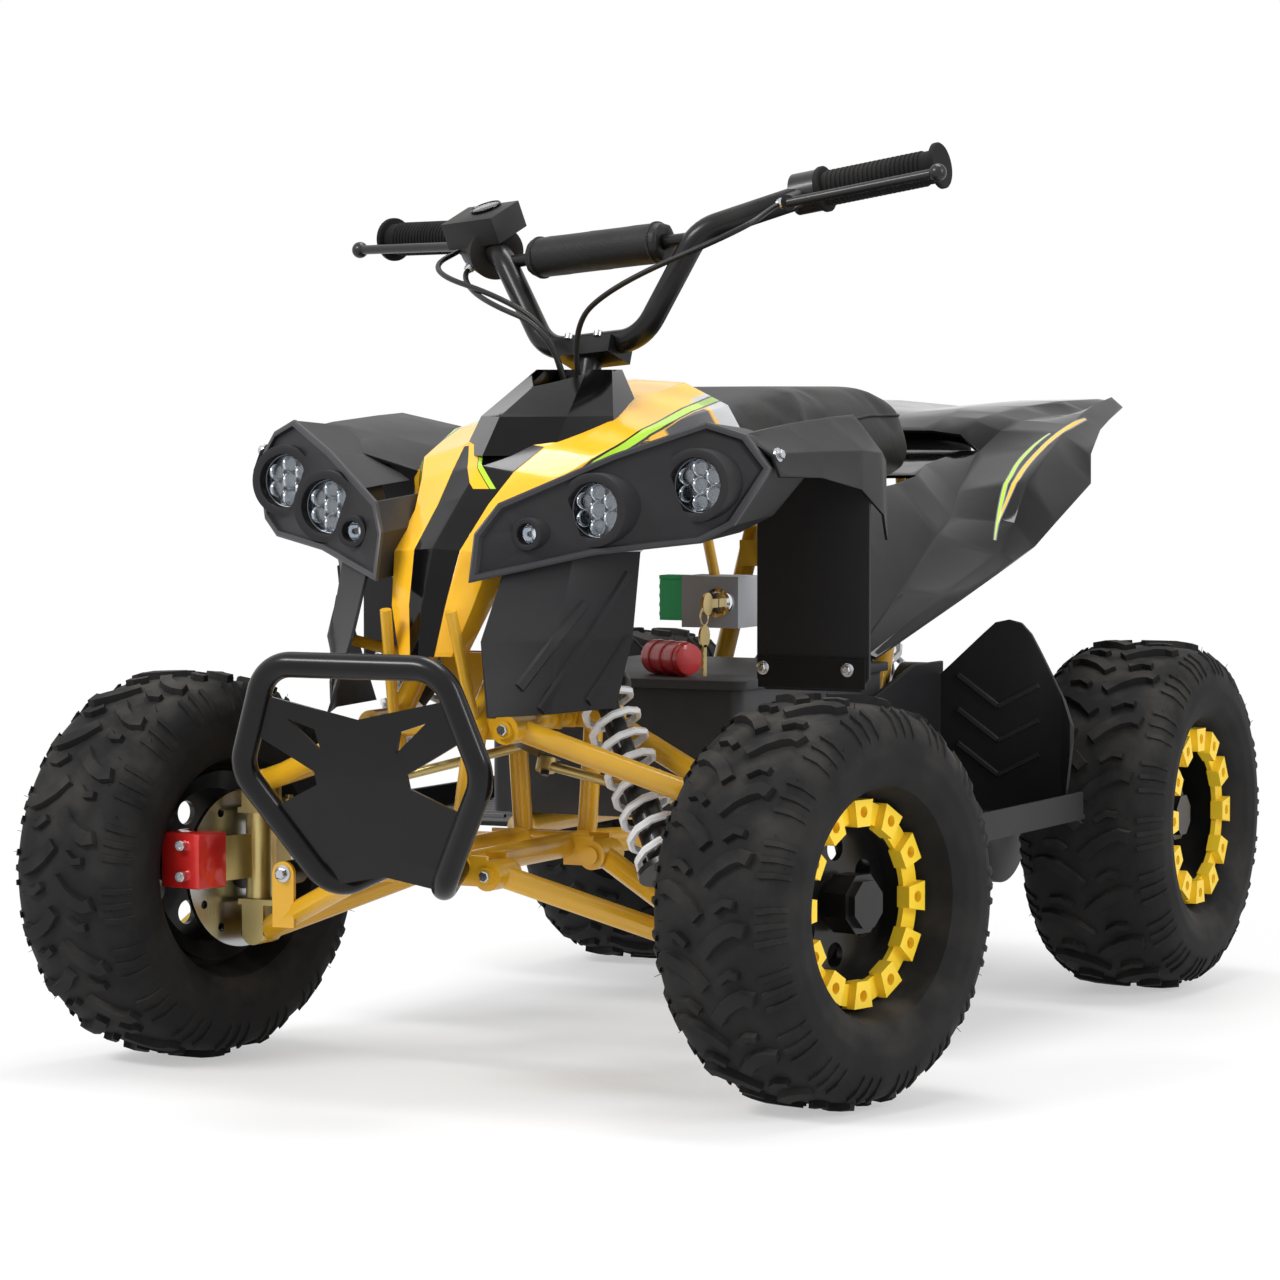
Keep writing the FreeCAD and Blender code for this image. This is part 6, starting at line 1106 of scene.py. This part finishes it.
def mask_face(across, up):
    """A point of the brow's line on the lamp mask's front, from its shares across and up."""
    back = MASK_BACK + across * MASK_BACK_ACROSS + up * MASK_BACK_UP - BROW_FORWARD
    return Vector((MASK_IN + (MASK_OUT - MASK_IN) * across, back, MASK_LOW + (MASK_HIGH - MASK_LOW) * up))


def make_mask_rims():
    """The raised brow frame round each lamp mask."""
    corners = [mask_face(*share) for share in MASK_OUTLINE]
    middle = sum(corners, Vector()) / len(corners)
    sections = []
    for k, corner in enumerate(corners):
        before = (corner - corners[k - 1]).normalized()
        after = (corners[(k + 1) % len(corners)] - corner).normalized()
        inward = after - before
        inward = (inward if inward.length > STRAIGHT_CORNER else middle - corner).normalized()
        if inward.dot(middle - corner) < 0:
            inward = -inward
        corner_grow = 1 / max(SHARPEST_CORNER, math.sqrt((1 + before.dot(after)) / 2))
        sections.append([corner + inward * step * corner_grow + Y_AXIS * back for step, back in BROW_SECTION])
    shape = bmesh.new()
    for side in SIDES:
        skin_rings(shape, [[mirrored(point, side) for point in ring] for ring in sections], closed_path=True)
    finished("mask_brow_rims", mesh_of(shape), brow_charcoal, "chassis", smooth=28)


# Bolts, brackets and screws

# How far a small part starts inside the face that it stands on
SINK = 0.001
# Sections of turned small parts, (along, radius) in metres, or in shares of a bolt's radius
WASHER_THICKNESS, WASHER_SHARES = (0, 0.0022, 0.0024), (1.5, 1.5, 1.4)
HEX_SHARES = ((0, 1.0), (0.95, 1.0), (1.12, 0.8))
CALIPER_SCREW = ((0, 0.0048), (0.0062, 0.0048), (0.0068, 0.0042), (0.0068, 0.0026), (0.004, 0.0026),
                 (0.004, 0.0))
CLAMP_SCREW = ((0, 0.0042), (0.0046, 0.0042), (0.0052, 0.0036), (0.0052, 0.0022), (0.0030, 0.0022),
               (0.0030, 0.0))
ADJUSTER = ((0, 0.0050), (0.0030, 0.0050), (0.0032, 0.0042), (0.0052, 0.0042), (0.0054, 0.0034),
            (0.0066, 0.0032))
BRACKET_TOP, BRACKET_WALL, BRACKET_EDGE = 0.371, 0.0022, 0.0008
BRACKET_INSETS, BRACKET_LIFT, BOLT_FORWARD, CALIPER_SCREW_SINK = (0.002, 0.003), 0.002, 0.002, 0.004
PANEL_BOLT_RADIUS, PIVOT_BOLT_RADIUS = 0.0042, 0.0052
PANEL_BOLT_PLACES, PANEL_BOLT_UP = (0.1575, 0.2420), 0.3600
FENDER_BOLT = ((0.2578, -0.3622, 0.5578), (0.97, -0.05, 0.22))
CALIPER_SCREW_SHARES = (-0.28, 0.28)
# The bolts of the arm and damper pivots on the rider's left, each (spot, way out)
PIVOT_BOLTS = (
    ((0.060, -0.5303, 0.197), (0, -1, 0)), ((0.060, -0.2897, 0.197), (0, 1, 0)),
    ((0.066, -0.5083, 0.322), (0, -1, 0)), ((0.066, -0.2977, 0.322), (0, 1, 0)),
    ((0.192, -0.4453, 0.180), (0, -1, 0)), ((0.076, -0.3713, 0.368), (0, -1, 0)),
    ((0.046, 0.2897, 0.440), (0, -1, 0)), ((0.046, 0.3203, 0.440), (0, 1, 0)),
    ((0.046, 0.4103, 0.246), (0, 1, 0)),
)
CLAMP, PARKED_TURN = Vector((0, -0.205, 0.655)), math.radians(12.9)
STEERING_AXIS = Vector((0, 0.38107, 0.924546))
CLAMP_SCREW_ALONG, CLAMP_SCREW_ACROSS = (-0.017, 0.017), (-0.0165, 0.0165)
CLAMP_CAST, CLAMP_REACH, ADJUSTER_SINK = 0.08, 0.06, 0.0005


def add_bolt(shape, spot, way, radius):
    """A hexagon head on its washer, standing out of a face at the spot."""
    way = way.normalized()
    washer = [(along, radius * share) for along, share in zip(WASHER_THICKNESS, WASHER_SHARES)]
    turned(shape, spot - way * SINK, way, washer, 24)
    turned(shape, spot + way * SINK, way, [(radius * along, radius * share) for along, share in HEX_SHARES], 6)


def make_bolts(name, bolts, radius):
    """One piece of bolts on the chassis, each (spot, way) on both sides of the bike."""
    shape = bmesh.new()
    for spot, way in bolts:
        for side in SIDES:
            add_bolt(shape, mirrored(spot, side), mirrored(way, side), radius)
    finished(name, mesh_of(shape), bolt_zinc, "chassis", smooth=30)


def make_mud_panel_brackets():
    """The plate along the foot of each mud panel, and the bolts of these plates and of the fenders."""
    panel = [v.co for v in nodes["mud_panels"].data.vertices if v.co.x > 0]
    near, far, low = min(p.x for p in panel), max(p.x for p in panel), min(p.z for p in panel)
    front = min(p.y for p in panel)
    shape = bmesh.new()
    for side in SIDES:
        ends = sorted((side * (near + BRACKET_INSETS[0]), side * (far - BRACKET_INSETS[1])))
        boxed(shape, (ends[0], front - BRACKET_WALL, low + BRACKET_LIFT), (ends[1], front + SINK, BRACKET_TOP))
    brackets = finished("mud_panel_brackets", mesh_of(shape), paints["fender_black"], "chassis")
    round_edges(brackets, BRACKET_EDGE)
    bolts = [((place, front - BOLT_FORWARD, PANEL_BOLT_UP), (0, -1, 0)) for place in PANEL_BOLT_PLACES]
    make_bolts("panel_bolts", bolts + [FENDER_BOLT], PANEL_BOLT_RADIUS)


def make_caliper_screws():
    """Two socket screws on the front of each front caliper."""
    for name in ("left", "right"):
        low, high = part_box("caliper_" + name)
        middle = (low + high) / 2
        shape = bmesh.new()
        for share in CALIPER_SCREW_SHARES:
            spot = Vector((middle.x, low.y + CALIPER_SCREW_SINK, middle.z + share * (high.z - low.z)))
            turned(shape, spot, -Y_AXIS, CALIPER_SCREW, 20)
        finished("caliper_screws_" + name, mesh_of(shape), bolt_zinc, "knuckle_" + name,
                 smooth=30)


def node_surface(*names):
    """A surface to lay small parts on, from the plain meshes of CAD nodes."""
    points, faces = [], []
    for name in names:
        mesh = nodes[name].data
        first = len(points)
        points += [v.co.copy() for v in mesh.vertices]
        faces += [[first + i for i in f.vertices] for f in mesh.polygons]
    return BVHTree.FromPolygons(points, faces)


def make_bar_screws():
    """The bar clamp's four screws, and the adjusters where the cables start."""
    along = Vector((math.cos(PARKED_TURN), -math.sin(PARKED_TURN), 0))
    across = STEERING_AXIS.cross(along).normalized()
    clamp_surface = node_surface("steering_column")
    shape = bmesh.new()
    for run in CLAMP_SCREW_ALONG:
        for step in CLAMP_SCREW_ACROSS:
            above = CLAMP + along * run + across * step + STEERING_AXIS * CLAMP_CAST
            spot, _, _, _ = clamp_surface.ray_cast(above, -STEERING_AXIS)
            if spot is not None and (spot - CLAMP).length < CLAMP_REACH:
                turned(shape, spot - STEERING_AXIS * SINK, STEERING_AXIS, CLAMP_SCREW, 20)
    for _, _, route in CABLES:
        start, second = Vector(route[0]), Vector(route[1])
        way = (second - start).normalized()
        turned(shape, start - way * ADJUSTER_SINK, way, ADJUSTER, 12)
    finished("bar_screws_and_adjusters", mesh_of(shape), bolt_zinc, "steering", smooth=30)


# Grips and the display's dial

# Each grip's inner and outer end
GRIPS = (((0.2103, -0.1617, 0.7950), (0.3248, -0.1656, 0.8139)),
         ((-0.1952, -0.0759, 0.7596), (-0.3029, -0.0327, 0.7591)))
GRIP_OVERRUN, RIB_PITCH, RIBS_START, RIBS_REST = 0.005, 0.0046, 0.0085, 0.022
INNER_FLANGE = ((0.0, 0.0120), (0.0, 0.0205), (0.0010, 0.0210), (0.0042, 0.0210), (0.0050, 0.0200),
                (0.0052, 0.0152))
GRIP_RIB = ((0.0, 0.0150), (0.0008, 0.0163), (0.0026, 0.0163), (0.0034, 0.0150))
# The outer flange, along from the grip's end
OUTER_FLANGE = ((-0.0052, 0.0152), (-0.0050, 0.0200), (-0.0042, 0.0210), (-0.0010, 0.0210), (0.0, 0.0200),
                (0.0002, 0.0110))
DIAL_RIM = ((0, 0.0150), (0.0030, 0.0150), (0.0036, 0.0144), (0.0030, 0.0134), (0.0016, 0.0132), (0.0016, 0.0))
DIAL_GLASS, GLASS_LIFT = ((0, 0.0132), (0.0006, 0.0131), (0.0010, 0.0100), (0.0012, 0.0)), 0.0013
MARK_COUNT, FIRST_MARK, MARK_STEP, MARK_RING, MARK_LIFT = 11, -130, 26, 0.0108, 0.0007
MARK, DIAL_CAST = ((-0.0012, -0.0003, 0), (0.0012, 0.0003, 0.0003)), 0.05


def make_grips():
    """Ribbed rubber grips over the bar's ends, each with its two flanges."""
    shape = bmesh.new()
    for start, end in GRIPS:
        start, end = Vector(start), Vector(end)
        span = (end - start).length + GRIP_OVERRUN
        profile = list(INNER_FLANGE)
        for k in range(int((span - RIBS_REST) / RIB_PITCH)):
            profile += [(RIBS_START + k * RIB_PITCH + along, radius) for along, radius in GRIP_RIB]
        profile += [(span + along, radius) for along, radius in OUTER_FLANGE]
        turned(shape, start, end - start, profile, 36)
    finished("ribbed_grips", mesh_of(shape), paints["grip_rubber"], "steering", ("grips",),
             smooth=35)


def make_dial():
    """The round gauge on top of the throttle's display: its rim and floor, its marks and its glass."""
    low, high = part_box("throttle_display")
    middle = (low + high) / 2
    above = Vector((middle.x, middle.y, high.z + DIAL_CAST))
    spot, normal, _, _ = node_surface("throttle_display").ray_cast(above, -Z_AXIS)
    rim, marks, glass = bmesh.new(), bmesh.new(), bmesh.new()
    turned(rim, spot - normal * SINK, normal, DIAL_RIM, 40)
    across = normal.orthogonal().normalized()
    for k in range(MARK_COUNT):
        out = Matrix.Rotation(math.radians(FIRST_MARK + MARK_STEP * k), 4, normal) @ across
        centre = spot + normal * MARK_LIFT + out * MARK_RING
        turn = Matrix((out, normal.cross(out), normal)).transposed().to_4x4()
        boxed(marks, *MARK, Matrix.Translation(centre) @ turn)
    turned(glass, spot + normal * GLASS_LIFT, normal, DIAL_GLASS, 40)
    finished("dial_rim", mesh_of(rim), paints["gloss_black"], "steering", smooth=30)
    finished("dial_marks", mesh_of(marks), bolt_zinc, "steering")
    finished("dial_glass", mesh_of(glass), lens_clear, "steering", smooth=40)


# Key switch, plug and taped bundle

# Blocks are given by two corners, from the part that carries them
SWITCH_FRONT, LEAST_BARREL, COLLAR_SINK = -0.120, 0.003, 0.003
PLUG_BODY, PLUG_EDGE = ((-0.024, 0.002, 0.006), (0.0005, 0.026, -0.004)), 0.0006
PLUG_RIB = ((-0.0255, 0.004, 0), (-0.002, 0.024, 0.004))
PLUG_RIBS, PLUG_RIB_START, PLUG_RIB_PITCH = 5, 0.010, 0.0085
COLLAR = ((0, 0.0135), (0.003, 0.0140), (0.006, 0.0135), (0.0065, 0.0105), (0.0045, 0.0095), (0.0045, 0.0))
KEY_BLADE = ((-0.0011, -0.010, -0.004), (0.0011, 0.004, 0.004))
SPARE_BLADE = ((-0.001, -0.0035, -0.046), (0.001, 0.0035, -0.017))
KEY_HEAD, SPARE_HEAD = ((0, 0.0105), (0.0024, 0.0105)), ((0, 0.0105), (0.0022, 0.0105))
KEY_HEAD_START, SPARE_HEAD_START = Vector((-0.0012, -0.018, 0)), Vector((0.001, 0, -0.009))
RING_FROM_LOCK, SPARE_FROM_RING = Vector((0, -0.024, -0.011)), Vector((0, 0, -0.0095))
KEY_RING_RADIUS, KEY_RING_WIRE, KEY_RING_STEPS = 0.0085, 0.0008, 28
TOOTH, TEETH, FIRST_TOOTH, TOOTH_PITCH = ((-0.001, -0.0047, 0), (0.001, -0.003, 0.003)), 4, -0.044, 0.006
# The tape's ends and one turn: metres along, and shares of the radius there
TAPE_FIRST, TAPE_LAST = ((0.0, 0.72), (0.001, 0.93)), ((-0.001, 0.90), (0.0, 0.70))
TAPE_LAP, TAPE_GAP, TAPE_EDGE_SHARES = 0.0006, 0.0004, (0.985, 0.97)
TAPE_TURNS, TAPE_WAVE, TAPE_WAVE_RATE, TAPE_END, BUNDLE_WAY = 9, 0.05, 2.1, 0.002, Vector((1, -0.6, 0))


def make_plug(low, high):
    """The ribbed green plug beside the key switch."""
    foot, top = Vector((low.x, SWITCH_FRONT, low.z)), Vector((low.x, SWITCH_FRONT, high.z))
    shape = bmesh.new()
    boxed(shape, foot + Vector(PLUG_BODY[0]), top + Vector(PLUG_BODY[1]))
    for k in range(PLUG_RIBS):
        boxed(shape, *PLUG_RIB, Matrix.Translation(foot + Z_AXIS * (PLUG_RIB_START + k * PLUG_RIB_PITCH)))
    round_edges(finished("green_plug", mesh_of(shape), connector_green, "chassis"), PLUG_EDGE)


def make_keys(lock):
    """The key in the lock, the ring through its head, and the spare key that hangs from the ring."""
    shape = bmesh.new()
    boxed(shape, *KEY_BLADE, Matrix.Translation(lock))
    turned(shape, lock + KEY_HEAD_START, X_AXIS, KEY_HEAD, 28)
    hook = lock + RING_FROM_LOCK
    turns = [FULL_TURN * k / KEY_RING_STEPS for k in range(KEY_RING_STEPS + 1)]
    ring = [hook + (Y_AXIS * math.cos(a) + Z_AXIS * math.sin(a)) * KEY_RING_RADIUS for a in turns]
    tube_along(shape, ring, KEY_RING_WIRE, 6)
    spare = hook + SPARE_FROM_RING
    turned(shape, spare + SPARE_HEAD_START, -X_AXIS, SPARE_HEAD, 28)
    boxed(shape, *SPARE_BLADE, Matrix.Translation(spare))
    for k in range(TEETH):
        boxed(shape, *TOOTH, Matrix.Translation(spare + Z_AXIS * (FIRST_TOOTH + k * TOOTH_PITCH)))
    finished("keys_and_ring", mesh_of(shape), brass, "chassis", smooth=30)


def make_switch_parts():
    """The green plug beside the key switch, the lock's chromed collar, and the keys on their ring."""
    low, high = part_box("switch_box")
    make_plug(low, high)
    barrel = [v.co for v in nodes["switch_box"].data.vertices if v.co.y < SWITCH_FRONT - LEAST_BARREL]
    middle = Vector(((min(p.x for p in barrel) + max(p.x for p in barrel)) / 2, low.y,
                     (min(p.z for p in barrel) + max(p.z for p in barrel)) / 2))
    collar = bmesh.new()
    turned(collar, middle + Y_AXIS * COLLAR_SINK, -Y_AXIS, COLLAR, 36)
    finished("key_collar", mesh_of(collar), chrome, "chassis", smooth=30)
    make_keys(middle - Y_AXIS * COLLAR[3][0])


def make_tape_wraps():
    """The turns of red tape wound round the plug bundle."""
    low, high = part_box("wire_bundle")
    middle = (low + high) / 2
    way = BUNDLE_WAY.normalized()
    steps = [v.co - middle for v in nodes["wire_bundle"].data.vertices]
    reach = max(step.dot(way) for step in steps)
    radius = max((step - way * step.dot(way)).length for step in steps)
    wound = (2 * reach - 2 * TAPE_END) / TAPE_TURNS
    profile = [(along, radius * share) for along, share in TAPE_FIRST]
    for k in range(TAPE_TURNS):
        at = TAPE_END + wound * k
        bulge = radius * (1.0 + TAPE_WAVE * math.sin(k * TAPE_WAVE_RATE))
        profile += [(at, bulge * TAPE_EDGE_SHARES[0]), (at + TAPE_LAP, bulge),
                    (at + wound - TAPE_GAP, bulge * TAPE_EDGE_SHARES[1])]
    profile += [(2 * reach + along, radius * share) for along, share in TAPE_LAST]
    shape = bmesh.new()
    turned(shape, middle - way * reach, way, profile, 28)
    finished("taped_plug_bundle", mesh_of(shape), paints["tape_red"], "chassis", ("wire_bundle",),
             smooth=35)


# Ribs and creases

STRIP_STEPS, STRIP_CAST, STRIP_SINK, STRIP_TOP_SHARE = 8, 0.15, 0.0004, 0.6
RIB_WIDE, CREASE_WIDE, LEAST_STEP = 0.006, 0.011, 0.0002
CHEVRON = ((0.175, 0.25, 0.330), (0.218, 0.25, 0.300), (0.262, 0.25, 0.322))
CHEVRON_DROPS, CHEVRON_RISE = (0.0, 0.034, 0.068), 0.0022
TREAD_RIBS, TREAD_RIB_START, TREAD_RIB_PITCH, TREAD_RIB_RISE = 9, -0.02, 0.026, 0.0030
TREAD_RIB_ENDS, TREAD_RIB_UP = (0.190, 0.285), 0.22
FLANK_SLANT = 0.35
# The creases that fan out on the left side shroud, each from its top to its low end
FANS = (((0.150, -0.44, 0.455), (0.088, -0.47, 0.340)), ((0.178, -0.42, 0.455), (0.105, -0.45, 0.325)),
        ((0.120, -0.46, 0.430), (0.074, -0.48, 0.360)))


def laid_strip(shape, surface_tree, line, seen_from, width, rise):
    """A low raised rib laid on a surface: its line's points are thrown onto the surface along seen_from."""
    way = Vector(seen_from).normalized()
    hits = []
    for start, end in zip(line, line[1:]):
        for k in range(STRIP_STEPS):
            point = start + (end - start) * k / (STRIP_STEPS - 1)
            spot, normal, _, _ = surface_tree.ray_cast(point - way * STRIP_CAST, way)
            if spot is not None:
                hits.append((spot, normal if normal.dot(way) < 0 else -normal))
    rings = []
    for k, (spot, normal) in enumerate(hits):
        ahead = hits[min(k + 1, len(hits) - 1)][0] - hits[max(k - 1, 0)][0]
        if ahead.length > LEAST_STEP:
            across = ahead.normalized().cross(normal).normalized() * width / 2
            foot, top = -normal * STRIP_SINK, normal * rise
            rings.append([spot - across + foot, spot - across * STRIP_TOP_SHARE + top,
                          spot + across * STRIP_TOP_SHARE + top, spot + across + foot])
    skin_rings(shape, rings)


def make_creases():
    """Chevrons and tread ribs on the footrests, and creases that fan out on the side shrouds."""
    foot, flank = node_surface("footrests"), node_surface("side_shrouds")
    ribs, fans = bmesh.new(), bmesh.new()
    for side in SIDES:
        for drop in CHEVRON_DROPS:
            line = [mirrored(point, side) - Z_AXIS * drop for point in CHEVRON]
            laid_strip(ribs, foot, line, Y_AXIS, RIB_WIDE, CHEVRON_RISE)
        for k in range(TREAD_RIBS):
            back = TREAD_RIB_START + k * TREAD_RIB_PITCH
            line = [mirrored((end, back, TREAD_RIB_UP), side) for end in TREAD_RIB_ENDS]
            laid_strip(ribs, foot, line, -Z_AXIS, RIB_WIDE, TREAD_RIB_RISE)
        for ends in FANS:
            line = [mirrored(end, side) for end in ends]
            laid_strip(fans, flank, line, (-side * FLANK_SLANT, 1, 0), CREASE_WIDE, CHEVRON_RISE)
    finished("footrest_ribs", mesh_of(ribs), brow_charcoal, "chassis", smooth=30)
    finished("side_shroud_creases", mesh_of(fans), paints["charcoal"], "chassis", smooth=30)


# The bike's pieces

set_camera()
make_cables()
make_tyres()
make_lamps()
make_padding()
make_mask_rims()
make_mud_panel_brackets()
make_caliper_screws()
make_grips()
make_switch_parts()
make_tape_wraps()
make_creases()
make_bolts("pivot_bolts", PIVOT_BOLTS, PIVOT_BOLT_RADIUS)
make_bar_screws()
make_dial()


# Floor and light

FLOOR_HALF, GLOW_NEAR, GLOW_FAR, GLOW_LEAST, ROOM_LIGHT = 14.0, 0.55, 1.5, 0.45, 0.56
# Each softbox: its name, place, size and power
SOFTBOXES = (("key_softbox", (-1.6, -3.2, 3.0), (1.7, 0.7), 110.0),
             ("side_softbox", (3.4, -0.6, 1.9), (0.5, 1.8), 45.0),
             ("top_softbox", (0.2, 0.4, 3.4), (2.2, 0.8), 60.0))


def straight_rays(board):
    """1 for rays that the camera, a shiny face or a clear one sends, 0 for light that a dull face gathers."""
    rays = board.add("ShaderNodeLightPath").outputs
    shiny = board.sum("MAXIMUM", rays["Is Glossy Ray"], rays["Is Transmission Ray"])
    return board.sum("MAXIMUM", rays["Is Camera Ray"], shiny)


def make_floor():
    """A pale floor that keeps the shadow near the bike and glows white away from it."""
    shape = bmesh.new()
    bmesh.ops.create_grid(shape, x_segments=1, y_segments=1, size=FLOOR_HALF)
    floor = in_scene("floor", mesh_of(shape))
    material, board, shader = new_finish("floor_pale")
    out = surface(board, FLOOR_TONE, rough=0.55, spread=0.01, blotch=2.0, rough_spread=0.02, grain=60.0,
                  dust=0.0, scratch=0.0)
    board.feed(out["Colour"], shader.inputs["Base Color"])
    board.feed(out["Roughness"], shader.inputs["Roughness"])
    white = board.add("ShaderNodeEmission", {"Color": WHITE, "Strength": 1.0}).outputs[0]
    far = board.add("ShaderNodeVectorMath", {0: board.place()}, operation="LENGTH").outputs["Value"]
    share = board.sum("MULTIPLY", straight_rays(board), board.ramp(far, GLOW_NEAR, GLOW_FAR, GLOW_LEAST, 1.0))
    mixed = board.add("ShaderNodeMixShader", {0: share, 1: shader.outputs[0], 2: white}).outputs[0]
    board.feed(mixed, board.tree.nodes["Material Output"].inputs["Surface"])
    floor.data.materials.append(material)


def make_room():
    """White all round, softer as a light than as it looks, and the softboxes."""
    world = bpy.data.worlds.new("white_room")
    bpy.context.scene.world = world
    world.use_nodes = True
    board = Board(world.node_tree)
    room = world.node_tree.nodes["Background"]
    room.inputs["Color"].default_value = WHITE
    board.feed(board.ramp(straight_rays(board), 0.0, 1.0, ROOM_LIGHT, 1.0), room.inputs["Strength"])
    for softbox in SOFTBOXES:
        soft_lamp(*softbox)


make_floor()
make_room()
bpy.context.scene.view_settings.view_transform = "Standard"
